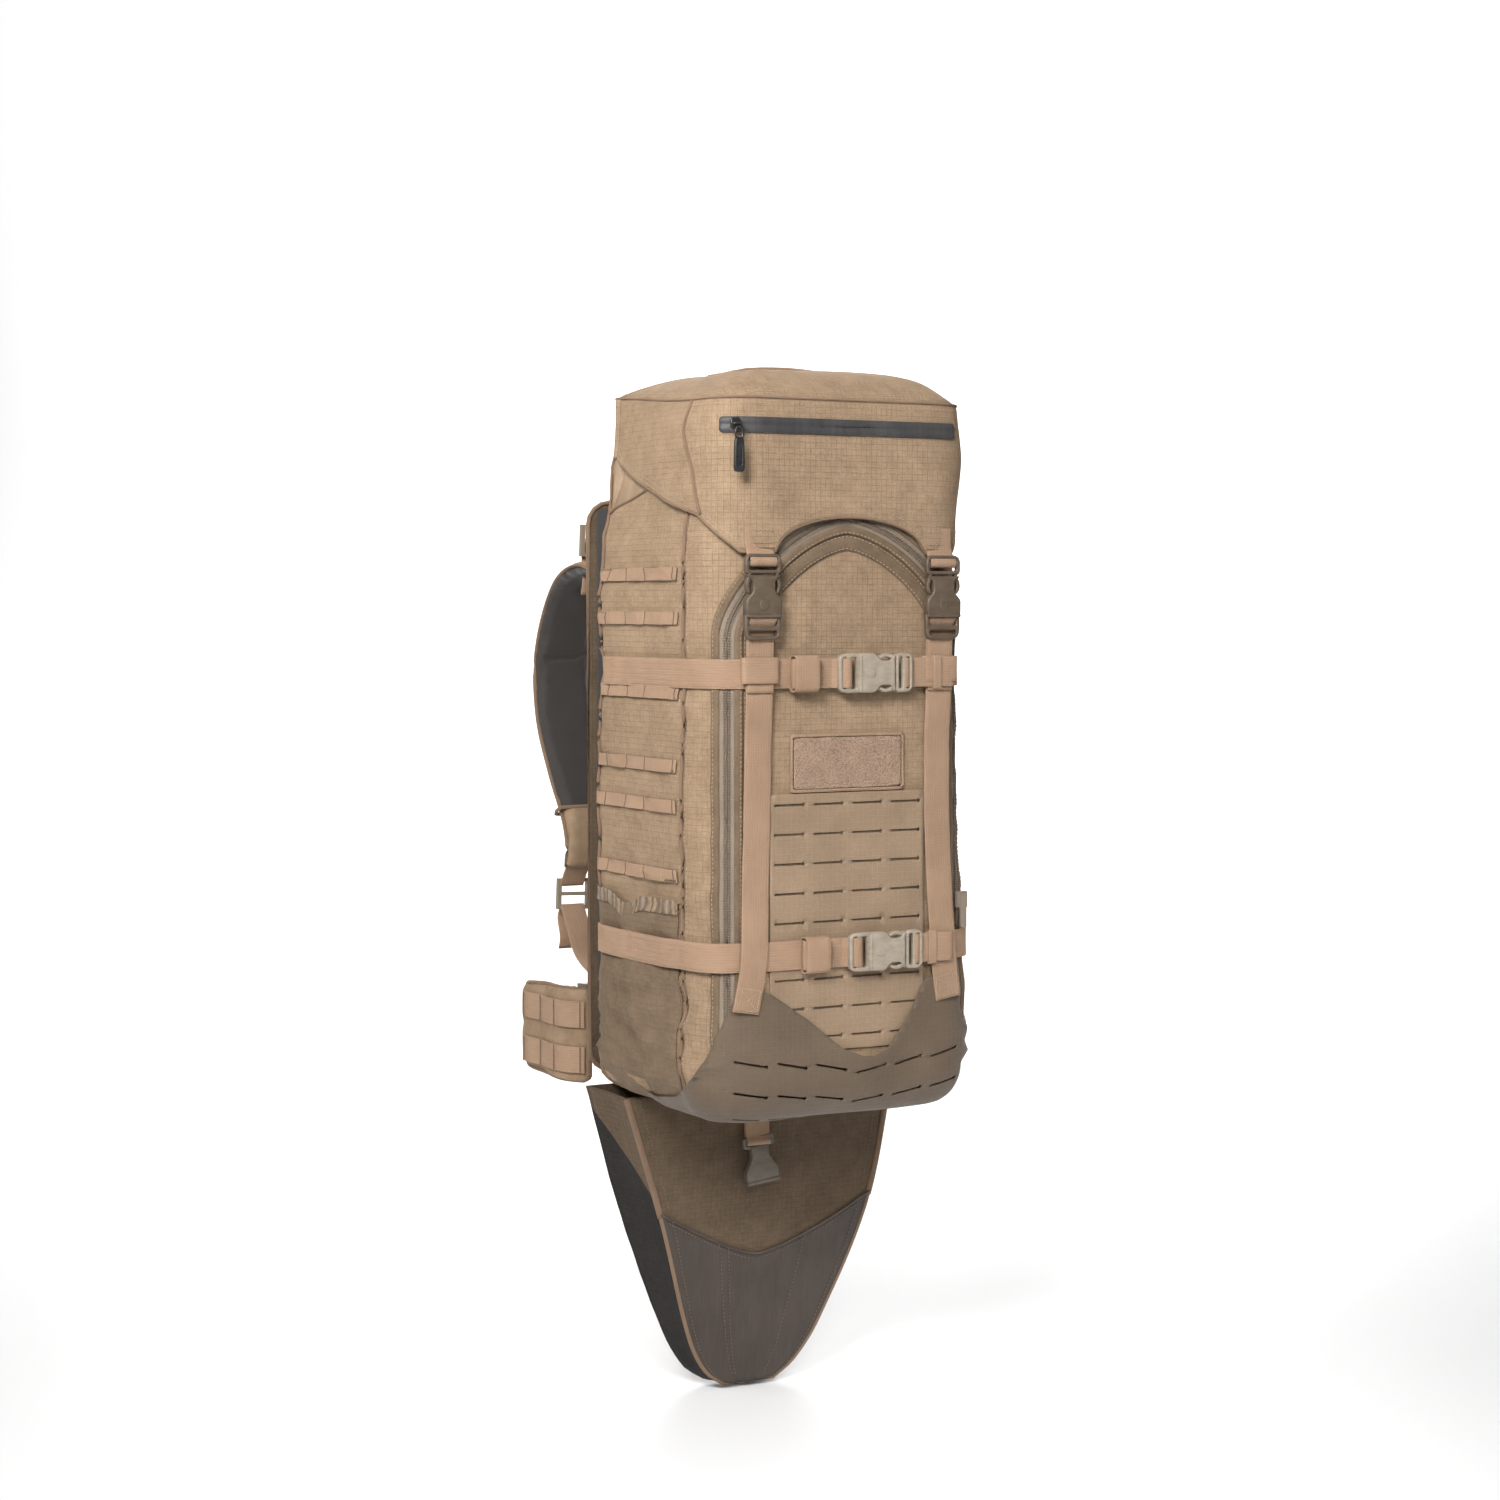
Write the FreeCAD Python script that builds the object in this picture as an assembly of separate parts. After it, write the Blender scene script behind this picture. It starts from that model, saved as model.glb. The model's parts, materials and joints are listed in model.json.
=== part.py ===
"""Hunting backpack: a tall panel-loading bag with a buckled lid, a rifle scabbard
behind the bag whose lower tail hangs below it, a framed back panel and a harness.

Working frame: X to the wearer's left seen from the front of the bag, Y = 0 at the
bag's back wall (the bag lies at -Y, the wearer at +Y), Z = 0 at the bag's floor.
save() moves every piece so that the origin is the point the hang loop hangs from.
"""
import FreeCAD
import Part
import math
import os

# ---------------------------------------------------------------- overall sizes, mm
bag_height = 588.0
bag_depth = 216.0
front_half_width = 105.0
side_half_width = 134.0
back_half_width = 142.0
corner_run = 50.0
back_corner = 14.0
wall = 5.0
floor_thickness = 6.0
panel_seam_x = 108.0

# ---------------------------------------------------------------- layers over the cloth
trim_gap = 0.3
skin = 1.1
webbing_thickness = 1.5
webbing_width = 25.4
strap_layer = 2.5
layer_step = 2.0

# ---------------------------------------------------------------- front panel
front_zip_half_width = 113.0
front_zip_rise = 100.0
front_zip_bottom = 62.0
zip_tape_width = 26.0
patch_width = 112.0
patch_height = 50.0
patch_centre_z = 307.0
patch_thickness = 2.0
slot_pitch_x = 38.1
slot_pitch_z = 25.4
slot_length = 29.0
slot_height = 2.4
slots_per_row = 4
upper_slot_rows = 5
lower_slot_rows = 3
top_slot_row_z = 271.6
lower_slot_row_z = 121.0
laminate_half_width = 76.0
laminate_top = 281.0
laminate_bottom = 62.0

# ---------------------------------------------------------------- straps and buckles
vertical_strap_outer_x = 100.7
vertical_strap_x = vertical_strap_outer_x - webbing_width / 2.0
vertical_strap_bottom = 100.0
upper_strap_z = 384.0
lower_strap_z = 143.0
buckle_flange = 4.3
buckle_width = webbing_width + 2.0 * buckle_flange
buckle_thickness = 10.0
buckle_body = 32.0
buckle_frame = 23.0
male_frame = 18.0
buckle_wall = 2.0
buckle_side_wall = 3.5
fit_gap = 0.4
release_travel = 12.0
upper_buckle_mouth_x = 40.0
lower_buckle_mouth_x = 51.0
lid_tab_drop = 19.0
keeper_height = 22.0
roll_radius = 3.0
keeper_z = 387.0

# ---------------------------------------------------------------- bottom bucket flap
bucket_side_top = 24.0
bucket_reach = 126.0
bucket_edge_z = 112.0
notch_bottom_z = 54.0
notch_bottom_x = 18.0

# ---------------------------------------------------------------- lid
lid_gap = 3.0
lid_wall = 3.5
lid_seam_above_bag = 28.0
lid_dome_rise = 40.0
lid_skirt = 129.0
lid_arch_half_width = 70.0
lid_arch_rise = 29.0
lid_side_skirt_back = 41.0
lid_side_skirt_front = 93.0
lid_floor_drop = 16.0
lid_zip_drop = 29.0
lid_zip_height = 13.0
lid_zip_left_x = -119.0
lid_zip_right_x = 103.0
puller_length = 38.0

# ---------------------------------------------------------------- sides
side_row_heights = (469.0, 431.0, 367.0, 304.0, 269.0, 209.0)
side_row_width = 11.0
side_row_inset = 58.0
side_row_back_y = -18.0
pocket_top = 188.0
pocket_clear = 1.5
pocket_bulge = 16.0
pocket_cloth = 2.0

# ---------------------------------------------------------------- scabbard
sleeve_half_width = 100.0
sleeve_front_y = 1.0
sleeve_depth = 36.0
sleeve_wall = 2.5
sleeve_below_top = 28.0
tail_length = 284.0
tail_top_z = -8.0
tail_half_width = 145.0
tail_taper = 0.75
tail_cloth = 3.0
tail_tip_z = -132.0
tail_front_y = -42.0
tail_back_y = 34.0

# ---------------------------------------------------------------- frame and back
frame_sheet_half_width = 122.0
frame_sheet_bottom = 20.0
frame_sheet_below_top = 58.0
frame_sheet_thickness = 2.5
stay_x = 55.0
stay_width = 20.0
stay_thickness = 3.0
back_panel_half_width = 130.0
back_panel_bottom = 6.0
back_panel_below_top = 50.0
back_panel_thickness = 2.5
pad_thickness = 14.0

# ---------------------------------------------------------------- harness
harness_lean_deg = 2.0
harness_top_x = 92.0
yoke_drop = 60.0
shoulder_width = 62.0
shoulder_thickness = 14.0
strap_reach = 148.0
belt_radius = 90.0
belt_centre_x = 60.0
belt_centre_y = 130.0
belt_thickness = 12.0
belt_bottom = -10.0
belt_top = 85.0
belt_webbing_width = 38.0
sternum_width = 20.0
hang_loop_half_width = 34.0
hang_loop_rise = 34.0
hang_loop_depth = 16.0
hang_loop_web = 3.0

# ---------------------------------------------------------------- worked out
front_y = -bag_depth
side_row_front_y = front_y + side_row_inset
bucket_back_y = front_y + bucket_reach
lid_seam_z = bag_height + lid_seam_above_bag
lid_hem_z = lid_seam_z - lid_skirt
lid_side_hem_back = lid_seam_z - lid_side_skirt_back
lid_side_hem_front = lid_seam_z - lid_side_skirt_front
lid_floor_z = lid_seam_z - lid_floor_drop
lid_zip_bottom = lid_seam_z - lid_zip_drop
lid_buckle_mouth_z = lid_hem_z - lid_tab_drop
front_zip_apex = lid_hem_z + lid_arch_rise
front_zip_spring = front_zip_apex - front_zip_rise
sleeve_top = bag_height - sleeve_below_top
frame_sheet_top = bag_height - frame_sheet_below_top
back_panel_top = bag_height - back_panel_below_top
yoke_z = back_panel_top - yoke_drop
strap_front_y = front_y - strap_layer
strap_y = strap_front_y - webbing_thickness
vertical_front_y = strap_front_y - layer_step
buckle_back_y = vertical_front_y - layer_step
buckle_y = buckle_back_y - buckle_thickness / 2.0
strap_slot = webbing_width + 0.6
loose_ply_y = buckle_back_y - 2.5 - webbing_thickness
lid_outer = lid_gap + lid_wall
lid_front_y = front_y - lid_outer
zip_tape_front_y = lid_front_y - trim_gap - skin
frame_sheet_y = sleeve_front_y + sleeve_depth + 1.0
stay_y = frame_sheet_y + frame_sheet_thickness + trim_gap
back_panel_y = stay_y + stay_thickness + trim_gap
pad_y = back_panel_y + back_panel_thickness
hang_loop_y = pad_y
hang_point = FreeCAD.Vector(0, hang_loop_y + hang_loop_depth / 2.0,
                            back_panel_top + hang_loop_rise - hang_loop_web)
pocket_bottom = bucket_side_top + pocket_clear
roll_y = strap_y - roll_radius - trim_gap


# ================================================================ helpers
def save(name, shape):
    """Write one piece, moved so that the hang point is the origin."""
    moved = shape.copy()
    moved.translate(hang_point * -1.0)
    moved.exportStep("parts/" + name + ".step")


def block(x0, x1, y0, y1, z0, z1):
    return Part.makeBox(x1 - x0, y1 - y0, z1 - z0, FreeCAD.Vector(x0, y0, z0))


def mirror(shape):
    """The same piece on the other side of the pack."""
    return shape.mirror(FreeCAD.Vector(0, 0, 0), FreeCAD.Vector(1, 0, 0))


def arc(start, middle, end):
    return Part.Arc(start, middle, end).toShape()


def bag_outline(grow, z):
    """The bag's plan outline, grown outwards, as a closed wire at height z."""
    front = front_y - grow
    side = side_half_width + grow
    back = back_half_width + grow
    turn_y = front_y + corner_run
    lean = math.sqrt(0.5)
    flat = front_half_width + min(grow, 0.0)
    mid_x = flat + (side - flat) * lean
    mid_y = turn_y - (corner_run + grow) * lean
    back_mid = back - back_corner * (1.0 - lean)
    back_mid_y = grow - back_corner * (1.0 - lean)

    def at(x, y):
        return FreeCAD.Vector(x, y, z)

    edges = [Part.makeLine(at(-flat, front), at(flat, front))]
    edges.append(arc(at(flat, front), at(mid_x, mid_y), at(side, turn_y)))
    edges.append(Part.makeLine(at(side, turn_y), at(back, grow - back_corner)))
    edges.append(arc(at(back, grow - back_corner), at(back_mid, back_mid_y),
                     at(back - back_corner, grow)))
    edges.append(Part.makeLine(at(back - back_corner, grow), at(back_corner - back, grow)))
    edges.append(arc(at(back_corner - back, grow), at(-back_mid, back_mid_y),
                     at(-back, grow - back_corner)))
    edges.append(Part.makeLine(at(-back, grow - back_corner), at(-side, turn_y)))
    edges.append(arc(at(-side, turn_y), at(-mid_x, mid_y), at(-flat, front)))
    return Part.Wire(edges)


def bag_prism(grow, z0, z1):
    return Part.Face(bag_outline(grow, z0)).extrude(FreeCAD.Vector(0, 0, z1 - z0))


def bag_layer(inner, thickness, z0, z1):
    """A sleeve of cloth round the bag: its inner side stands `inner` off the bag."""
    return bag_prism(inner + thickness, z0, z1).cut(bag_prism(inner, z0, z1))


def front_shape(points):
    """A prism through the bag's front and its rounded corners, with a front view of
    the polygon of (x, z) points."""
    far = bag_depth + 60.0
    corners = [FreeCAD.Vector(x, -far, z) for x, z in points]
    wire = Part.makePolygon(corners + corners[:1])
    return Part.Face(wire).extrude(FreeCAD.Vector(0, far - bag_depth + corner_run, 0))


def arch_shape(half_width, spring, apex, bottom):
    """Front view of a door: straight legs up to `spring`, then half an ellipse."""
    far = bag_depth + 60.0

    def at(x, z):
        return FreeCAD.Vector(x, -far, z)

    rise = apex - spring
    wide = max(half_width, rise)
    slim = min(half_width, rise)
    side_point = at(half_width, spring) if half_width >= rise else at(0, apex)
    slim_point = at(0, apex) if half_width >= rise else at(half_width, spring)
    ellipse = Part.Ellipse(side_point, slim_point, at(0, spring))
    disc = Part.Face(Part.Wire([ellipse.toShape()]))
    reach = FreeCAD.Vector(0, bag_depth, 0)
    legs = block(-half_width, half_width, -far, -far + bag_depth, bottom, spring)
    dome = disc.extrude(reach)
    above = block(-wide, wide, -far, -far + bag_depth, spring, spring + wide + slim)
    return dome.common(above).fuse(legs).removeSplitter()


def band(points, thickness, width, plane="XY", start=0.0):
    """A strip bent along points, `thickness` thick in its plane and `width` across it.

    plane XY: the points are (x, y) and the width runs up from z = start.
    plane YZ: the points are (y, z) and the width runs along X from x = start.
    """
    left = []
    right = []
    for index, point in enumerate(points):
        before = points[max(index - 1, 0)]
        after = points[min(index + 1, len(points) - 1)]
        run_u = after[0] - before[0]
        run_v = after[1] - before[1]
        size = math.hypot(run_u, run_v)
        off_u = -run_v / size * thickness / 2.0
        off_v = run_u / size * thickness / 2.0
        left.append((point[0] + off_u, point[1] + off_v))
        right.append((point[0] - off_u, point[1] - off_v))

    def at(pair):
        if plane == "XY":
            return FreeCAD.Vector(pair[0], pair[1], start)
        return FreeCAD.Vector(start, pair[0], pair[1])

    edges = []
    for side in (left, right[::-1]):
        if len(side) == 2:
            edges.append(Part.makeLine(at(side[0]), at(side[1])))
        else:
            curve = Part.BSplineCurve()
            curve.interpolate([at(pair) for pair in side])
            edges.append(curve.toShape())
    edges.insert(1, Part.makeLine(at(left[-1]), at(right[-1])))
    edges.append(Part.makeLine(at(right[0]), at(left[0])))
    across = FreeCAD.Vector(0, 0, width) if plane == "XY" else FreeCAD.Vector(width, 0, 0)
    return Part.Face(Part.Wire(edges)).extrude(across)


def group(shapes):
    return Part.makeCompound(shapes)


def both_sides(shape):
    return group([shape, mirror(shape)])


# ================================================================ buckle halves
def buckle_female(width, body, frame, thickness, lead):
    """Socket half. Its mouth is at x = 0 and the body runs to -x; width runs along Z."""
    half = width / 2.0
    deep = thickness / 2.0
    shell = block(-body, 0, -deep, deep, -half, half)
    socket = block(buckle_side_wall - body, 1.0, buckle_wall - deep, deep - buckle_wall,
                   buckle_side_wall - half, half - buckle_side_wall)
    shell = shell.cut(socket)
    thumb = block(-body * 0.72, -body * 0.28, -deep, deep, half - buckle_side_wall, half)
    shell = shell.cut(thumb)
    shell = shell.cut(thumb.mirror(FreeCAD.Vector(0, 0, 0), FreeCAD.Vector(0, 0, 1)))
    ladder = block(-body - frame, -body, -deep * 0.4, deep * 0.4, -half, half)
    slot_run = (frame - 3.0 * buckle_side_wall) / 2.0
    for index in range(2):
        near = -body - buckle_side_wall - index * (slot_run + buckle_side_wall)
        ladder = ladder.cut(block(near - slot_run, near, -deep, deep, -lead / 2.0, lead / 2.0))
    return shell.fuse(ladder).removeSplitter()


def buckle_male(width, frame, thickness, lead, tongue):
    """Tongue half. Its shoulder meets the mouth at x = 0 and the frame runs to +x."""
    half = width / 2.0
    deep = thickness / 2.0
    plate = block(fit_gap, frame, -deep * 0.7, deep * 0.7, -half, half)
    plate = plate.cut(block(frame - buckle_side_wall - 5.0, frame - buckle_side_wall,
                            -deep, deep, -lead / 2.0, lead / 2.0))
    inside = half - buckle_side_wall - fit_gap
    thin = deep - buckle_wall - fit_gap
    prongs = block(-tongue, fit_gap, -thin, thin, -inside, inside)
    prongs = prongs.cut(block(-tongue - 1.0, -3.0, -deep, deep, -inside * 0.55, -inside * 0.2))
    prongs = prongs.cut(block(-tongue - 1.0, -3.0, -deep, deep, inside * 0.2, inside * 0.55))
    return plate.fuse(prongs).removeSplitter()


def ladder_lock(width, run, thickness, lead):
    """Three-bar strap adjuster: width along X, run along Z, thin along Y."""
    half = width / 2.0
    lock = block(-half, half, -thickness / 2.0, thickness / 2.0, -run / 2.0, run / 2.0)
    slot = (run - 3.0 * buckle_side_wall) / 2.0
    for side in (-1.0, 1.0):
        middle = side * (slot + buckle_side_wall) / 2.0
        lock = lock.cut(block(-lead / 2.0, lead / 2.0, -thickness, thickness,
                              middle - slot / 2.0, middle + slot / 2.0))
    return lock


def standing(shape):
    """Turn a buckle half so that its +x end points up."""
    turned = shape.copy()
    turned.rotate(FreeCAD.Vector(0, 0, 0), FreeCAD.Vector(0, 1, 0), -90)
    return turned


def placed(shape, x, y, z):
    moved = shape.copy()
    moved.translate(FreeCAD.Vector(x, y, z))
    return moved


# ================================================================ bag
def make_bag():
    shell = bag_layer(-wall, wall, 0.0, bag_height)
    front = shell.common(block(-panel_seam_x, panel_seam_x, front_y - 1, -corner_run,
                               0, bag_height))
    left = shell.common(block(-200, -panel_seam_x, front_y - 1, -back_corner, 0, bag_height))
    back = shell.common(block(-200, 200, -back_corner, 1, 0, bag_height))
    save("bag_front_panel", front)
    save("bag_left_side", left)
    save("bag_right_side", mirror(left))
    save("bag_back_wall", back)
    save("bag_floor", bag_prism(-wall, 0.0, floor_thickness))
    collar = bag_layer(-wall - trim_gap - skin, skin, bag_height - 50.0, bag_height + 4.0)
    save("collar", collar)
    cord_lock_y = front_y + wall + 12.0
    lock = Part.makeCylinder(6.0, 20.0, FreeCAD.Vector(-10.0, cord_lock_y, bag_height - 12.0),
                             FreeCAD.Vector(1, 0, 0))
    save("collar_cord_lock", lock)


def make_front_zip():
    outer = arch_shape(front_zip_half_width + zip_tape_width / 2.0, front_zip_spring,
                       front_zip_apex + zip_tape_width / 2.0, front_zip_bottom)
    inner = arch_shape(front_zip_half_width - zip_tape_width / 2.0, front_zip_spring,
                       front_zip_apex - zip_tape_width / 2.0, front_zip_bottom - 1.0)
    layer = bag_layer(trim_gap, skin, front_zip_bottom, front_zip_apex + zip_tape_width)
    save("front_zip_tape", layer.common(outer.cut(inner)))
    slider_front = strap_front_y - 4.5
    slider = block(front_zip_half_width - 5, front_zip_half_width + 5,
                   slider_front, strap_front_y, 176.0, 190.0)
    tab = block(front_zip_half_width - 3, front_zip_half_width + 3,
                slider_front - 2.0, slider_front, 158.5, 188.0)
    save("front_zip_slider", slider.fuse(tab))


def slot_row(z):
    """One row of laser-cut slots as cutters through the skin."""
    cutters = []
    first = -slot_pitch_x * (slots_per_row - 1) / 2.0
    for index in range(slots_per_row):
        x = first + index * slot_pitch_x
        cutters.append(block(x - slot_length / 2.0, x + slot_length / 2.0,
                             front_y - 10.0, front_y, z - slot_height / 2.0,
                             z + slot_height / 2.0))
    return cutters


def make_front_trim():
    laminate = block(-laminate_half_width, laminate_half_width, front_y - trim_gap - skin,
                     front_y - trim_gap, laminate_bottom, laminate_top)
    for row in range(upper_slot_rows):
        for cutter in slot_row(top_slot_row_z - row * slot_pitch_z):
            laminate = laminate.cut(cutter)
    for row in range(lower_slot_rows):
        for cutter in slot_row(lower_slot_row_z - row * slot_pitch_z):
            laminate = laminate.cut(cutter)
    save("front_laminate", laminate)
    patch_bottom = patch_centre_z - patch_height / 2.0
    patch = block(-patch_width / 2.0, patch_width / 2.0,
                  front_y - trim_gap - patch_thickness, front_y - trim_gap,
                  patch_bottom, patch_bottom + patch_height)
    save("patch_field", patch)


def make_bucket_flap():
    off = trim_gap + skin + 0.4
    top = bucket_edge_z
    outline = [(-vertical_strap_x - 16, top), (-vertical_strap_x + 5, top),
               (notch_bottom_x, notch_bottom_z), (vertical_strap_x - 12, top - 10),
               (vertical_strap_x + 2, top + 8), (vertical_strap_x + 16, top),
               (side_half_width + 9, bucket_side_top), (side_half_width + 9, 0),
               (-side_half_width - 9, 0), (-side_half_width - 9, bucket_side_top)]
    layer = bag_layer(off, 1.8, -off - 1.8, top + 10)
    front = layer.common(front_shape(outline))
    rim_box = block(-200, 200, front_y - 20, bucket_back_y, -off - 1.8, bucket_side_top)
    rim = layer.common(rim_box)
    sole = bag_prism(off + 1.8, -off - 1.8, -off).common(rim_box)
    save("bucket_flap", front.fuse(rim).fuse(sole).removeSplitter())


# ================================================================ straps on the bag
def vertical_strap():
    top = lid_buckle_mouth_z - buckle_body
    return block(vertical_strap_x - webbing_width / 2.0, vertical_strap_outer_x,
                 vertical_front_y - webbing_thickness, vertical_front_y,
                 vertical_strap_bottom, top)


def keeper():
    """A short flat loop that holds the tail of a vertical strap."""
    half = webbing_width / 2.0 + 2.0
    gap = trim_gap
    low = keeper_z - keeper_height / 2.0
    high = keeper_z + keeper_height / 2.0
    back = vertical_front_y + gap
    front = vertical_front_y - webbing_thickness - gap
    outer = block(vertical_strap_x - half, vertical_strap_x + half, front - 1.0, back + 0.1,
                  low, high)
    inner = block(vertical_strap_x - half + 1.0, vertical_strap_x + half - 1.0,
                  front, back + 1.0, low - 1, high + 1)
    return outer.cut(inner)


def make_vertical_straps():
    save("vertical_straps", both_sides(vertical_strap()))
    save("strap_keepers", both_sides(keeper()))
    socket = standing(buckle_female(buckle_width, buckle_body, buckle_frame,
                                    buckle_thickness, strap_slot))
    save("lid_buckle_females",
         both_sides(placed(socket, vertical_strap_x, buckle_y, lid_buckle_mouth_z)))


def upper_strap(x_end):
    """The upper compression strap's left run, from the back seam to x_end."""
    low = upper_strap_z - webbing_width / 2.0
    layer = bag_layer(strap_layer, webbing_thickness, low, low + webbing_width)
    return layer.common(block(-200, x_end, front_y - 10, -back_corner, low,
                              low + webbing_width))


def lower_strap(x_end):
    """The lower strap runs outside the side pocket, then round to the front."""
    low = lower_strap_z - webbing_width / 2.0
    clear = pocket_bulge + pocket_cloth + 1.5
    turn = corner_run * 0.35
    line_y = strap_front_y - webbing_thickness / 2.0
    points = [(-back_half_width - 3.5, -back_corner),
              (-side_half_width - clear - 4.0, -bag_depth * 0.3),
              (-side_half_width - clear, -bag_depth * 0.52),
              (-side_half_width - 5.0, front_y + corner_run * 0.72),
              (-side_half_width + 11.0, front_y + turn * 0.35),
              (-front_half_width, line_y)]
    side = band(points, webbing_thickness, webbing_width, "XY", low)
    front = block(-front_half_width + 2.0, x_end, line_y - webbing_thickness / 2.0,
                  line_y + webbing_thickness / 2.0, low, low + webbing_width)
    return group([side, front])


def rolled_end(x0, x1, z):
    """The strap's spare end, rolled up and held on the strap."""
    roll = Part.makeCylinder(roll_radius, webbing_width, FreeCAD.Vector(0, 0, 0),
                             FreeCAD.Vector(0, 0, 1))
    left = placed(roll, x0 + roll_radius, roll_y, z - webbing_width / 2.0)
    flat = block(x0 + roll_radius, x1, roll_y - roll_radius, roll_y + roll_radius / 2.0,
                 z - webbing_width / 2.0, z + webbing_width / 2.0)
    return left.fuse(flat).removeSplitter()


def make_compression(name, z, mouth_x, left_run):
    frame_end = mouth_x - buckle_body - buckle_frame
    right_run = mirror(left_run(-vertical_strap_outer_x))
    save(name + "_strap", group([left_run(frame_end), right_run]))
    socket = buckle_female(buckle_width, buckle_body, buckle_frame, buckle_thickness,
                           strap_slot)
    tongue = buckle_male(buckle_width, male_frame, buckle_thickness, strap_slot,
                         release_travel)
    save(name + "_buckle_female", placed(socket, mouth_x, buckle_y, z))
    save(name + "_buckle_male", placed(tongue, mouth_x, buckle_y, z))
    ply_start = mouth_x + male_frame + trim_gap
    ply = block(ply_start, vertical_strap_outer_x, loose_ply_y,
                loose_ply_y + webbing_thickness, z - webbing_width / 2.0,
                z + webbing_width / 2.0)
    save(name + "_loose_ply", ply)


# ================================================================ sides
def make_sides():
    rows = []
    for z in side_row_heights:
        low = z - side_row_width / 2.0
        layer = bag_layer(trim_gap, skin, low, low + side_row_width)
        rows.append(layer.common(block(-200, 0, side_row_front_y, side_row_back_y, low,
                                       low + side_row_width)))
    left = group(rows)
    save("side_webbing", both_sides(left))
    x = side_half_width
    points = [(-x - 2.0, front_y + corner_run * 1.15),
              (-x - pocket_bulge * 0.8, -bag_depth * 0.6),
              (-x - pocket_bulge - 2.0, -bag_depth * 0.4),
              (-x - pocket_bulge, -bag_depth * 0.2),
              (-back_half_width - 1.6, -back_corner)]
    pocket = band(points, pocket_cloth, pocket_top - pocket_bottom, "XY", pocket_bottom)
    save("side_pockets", both_sides(pocket))


# ================================================================ lid
def make_lid():
    outer = bag_prism(lid_outer, lid_hem_z, lid_seam_z)
    inner = bag_prism(lid_gap, lid_hem_z, lid_seam_z)
    walls = outer.cut(inner)
    side_cut = [FreeCAD.Vector(-250, 40, lid_side_hem_back),
                FreeCAD.Vector(-250, front_y + corner_run * 0.6, lid_side_hem_front),
                FreeCAD.Vector(-250, front_y + corner_run * 0.4, lid_hem_z - 5),
                FreeCAD.Vector(-250, 40, lid_hem_z - 5)]
    below = Part.Face(Part.makePolygon(side_cut + side_cut[:1]))
    walls = walls.cut(below.extrude(FreeCAD.Vector(500, 0, 0)))
    hem = [(front_half_width - 1, lid_hem_z - 6), (side_half_width + 12, lid_side_hem_front),
           (side_half_width + 12, lid_hem_z - 6)]
    corner = front_shape(hem)
    walls = walls.cut(corner).cut(mirror(corner))
    arch = arch_shape(lid_arch_half_width, lid_hem_z, lid_hem_z + lid_arch_rise,
                      lid_hem_z - 6.0)
    walls = walls.cut(arch)

    def dome(grow):
        wires = [bag_outline(grow, lid_seam_z),
                 bag_outline(grow - lid_dome_rise * 0.35, lid_seam_z + lid_dome_rise * 0.6),
                 bag_outline(grow - lid_dome_rise * 1.2, lid_seam_z + lid_dome_rise)]
        return Part.makeLoft(wires, True, True)

    under = dome(lid_gap)
    under.translate(FreeCAD.Vector(0, 0, -lid_wall))
    top = dome(lid_outer).cut(under)
    shell = walls.fuse(top).removeSplitter()
    save("lid_shell", shell)
    save("lid_pocket_floor", bag_prism(lid_gap - trim_gap, lid_floor_z, lid_floor_z + 1.5))

    tape = bag_layer(lid_outer + trim_gap, skin, lid_zip_bottom,
                     lid_zip_bottom + lid_zip_height)
    tape = tape.common(block(lid_zip_left_x, lid_zip_right_x, front_y - 20, -corner_run,
                             lid_zip_bottom, lid_zip_bottom + lid_zip_height))
    save("lid_zip_tape", tape)
    slider_back = zip_tape_front_y - 0.6
    slider = block(lid_zip_left_x + 1, lid_zip_left_x + 11, slider_back - 5.5, slider_back,
                   lid_zip_bottom + 0.5, lid_zip_bottom + lid_zip_height - 0.5)
    save("lid_zip_slider", slider)
    puller_y = slider_back - 7.0
    pull_top = lid_zip_bottom + 4.0
    pull = block(lid_zip_left_x + 1, lid_zip_left_x + 11, puller_y - 4.0, puller_y,
                 pull_top - puller_length, pull_top)
    save("lid_zip_puller", pull)

    handle_z = lid_seam_z + lid_dome_rise + trim_gap
    handle_points = [(-50, handle_z + 1.2), (-30, handle_z + 5.0), (0, handle_z + 6.5),
                     (30, handle_z + 5.0), (50, handle_z + 1.2)]
    handle = band([(x, z) for x, z in handle_points], 2.0, webbing_width, "XY", 0.0)
    handle.rotate(FreeCAD.Vector(0, 0, 0), FreeCAD.Vector(1, 0, 0), 90)
    save("lid_handle", placed(handle, 0, -bag_depth * 0.32, 0))

    tab_front = lid_front_y - trim_gap - webbing_thickness
    tongue = standing(buckle_male(buckle_width, male_frame, buckle_thickness,
                                  strap_slot, release_travel))
    save("lid_buckle_males",
         both_sides(placed(tongue, vertical_strap_x, buckle_y, lid_buckle_mouth_z)))
    tab = block(vertical_strap_x - webbing_width / 2.0, vertical_strap_outer_x,
                tab_front, tab_front + webbing_thickness,
                lid_buckle_mouth_z + male_frame + trim_gap, lid_hem_z + 22.0)
    save("lid_tabs", both_sides(tab))


# ================================================================ scabbard
def tail_section(share, inset, z):
    """Plan outline of the hanging tail: share 0 at its mouth and 1 at its end."""
    half = tail_half_width * (1.0 - tail_taper * share ** 1.8) - inset
    front = tail_front_y * (1.0 - share * 0.8) + inset
    back = tail_back_y - (tail_back_y - 16.0) * share - inset
    corners = [FreeCAD.Vector(-half, front, z), FreeCAD.Vector(half, front, z),
               FreeCAD.Vector(half, back, z), FreeCAD.Vector(-half, back, z)]
    return Part.makePolygon(corners + corners[:1])


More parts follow.
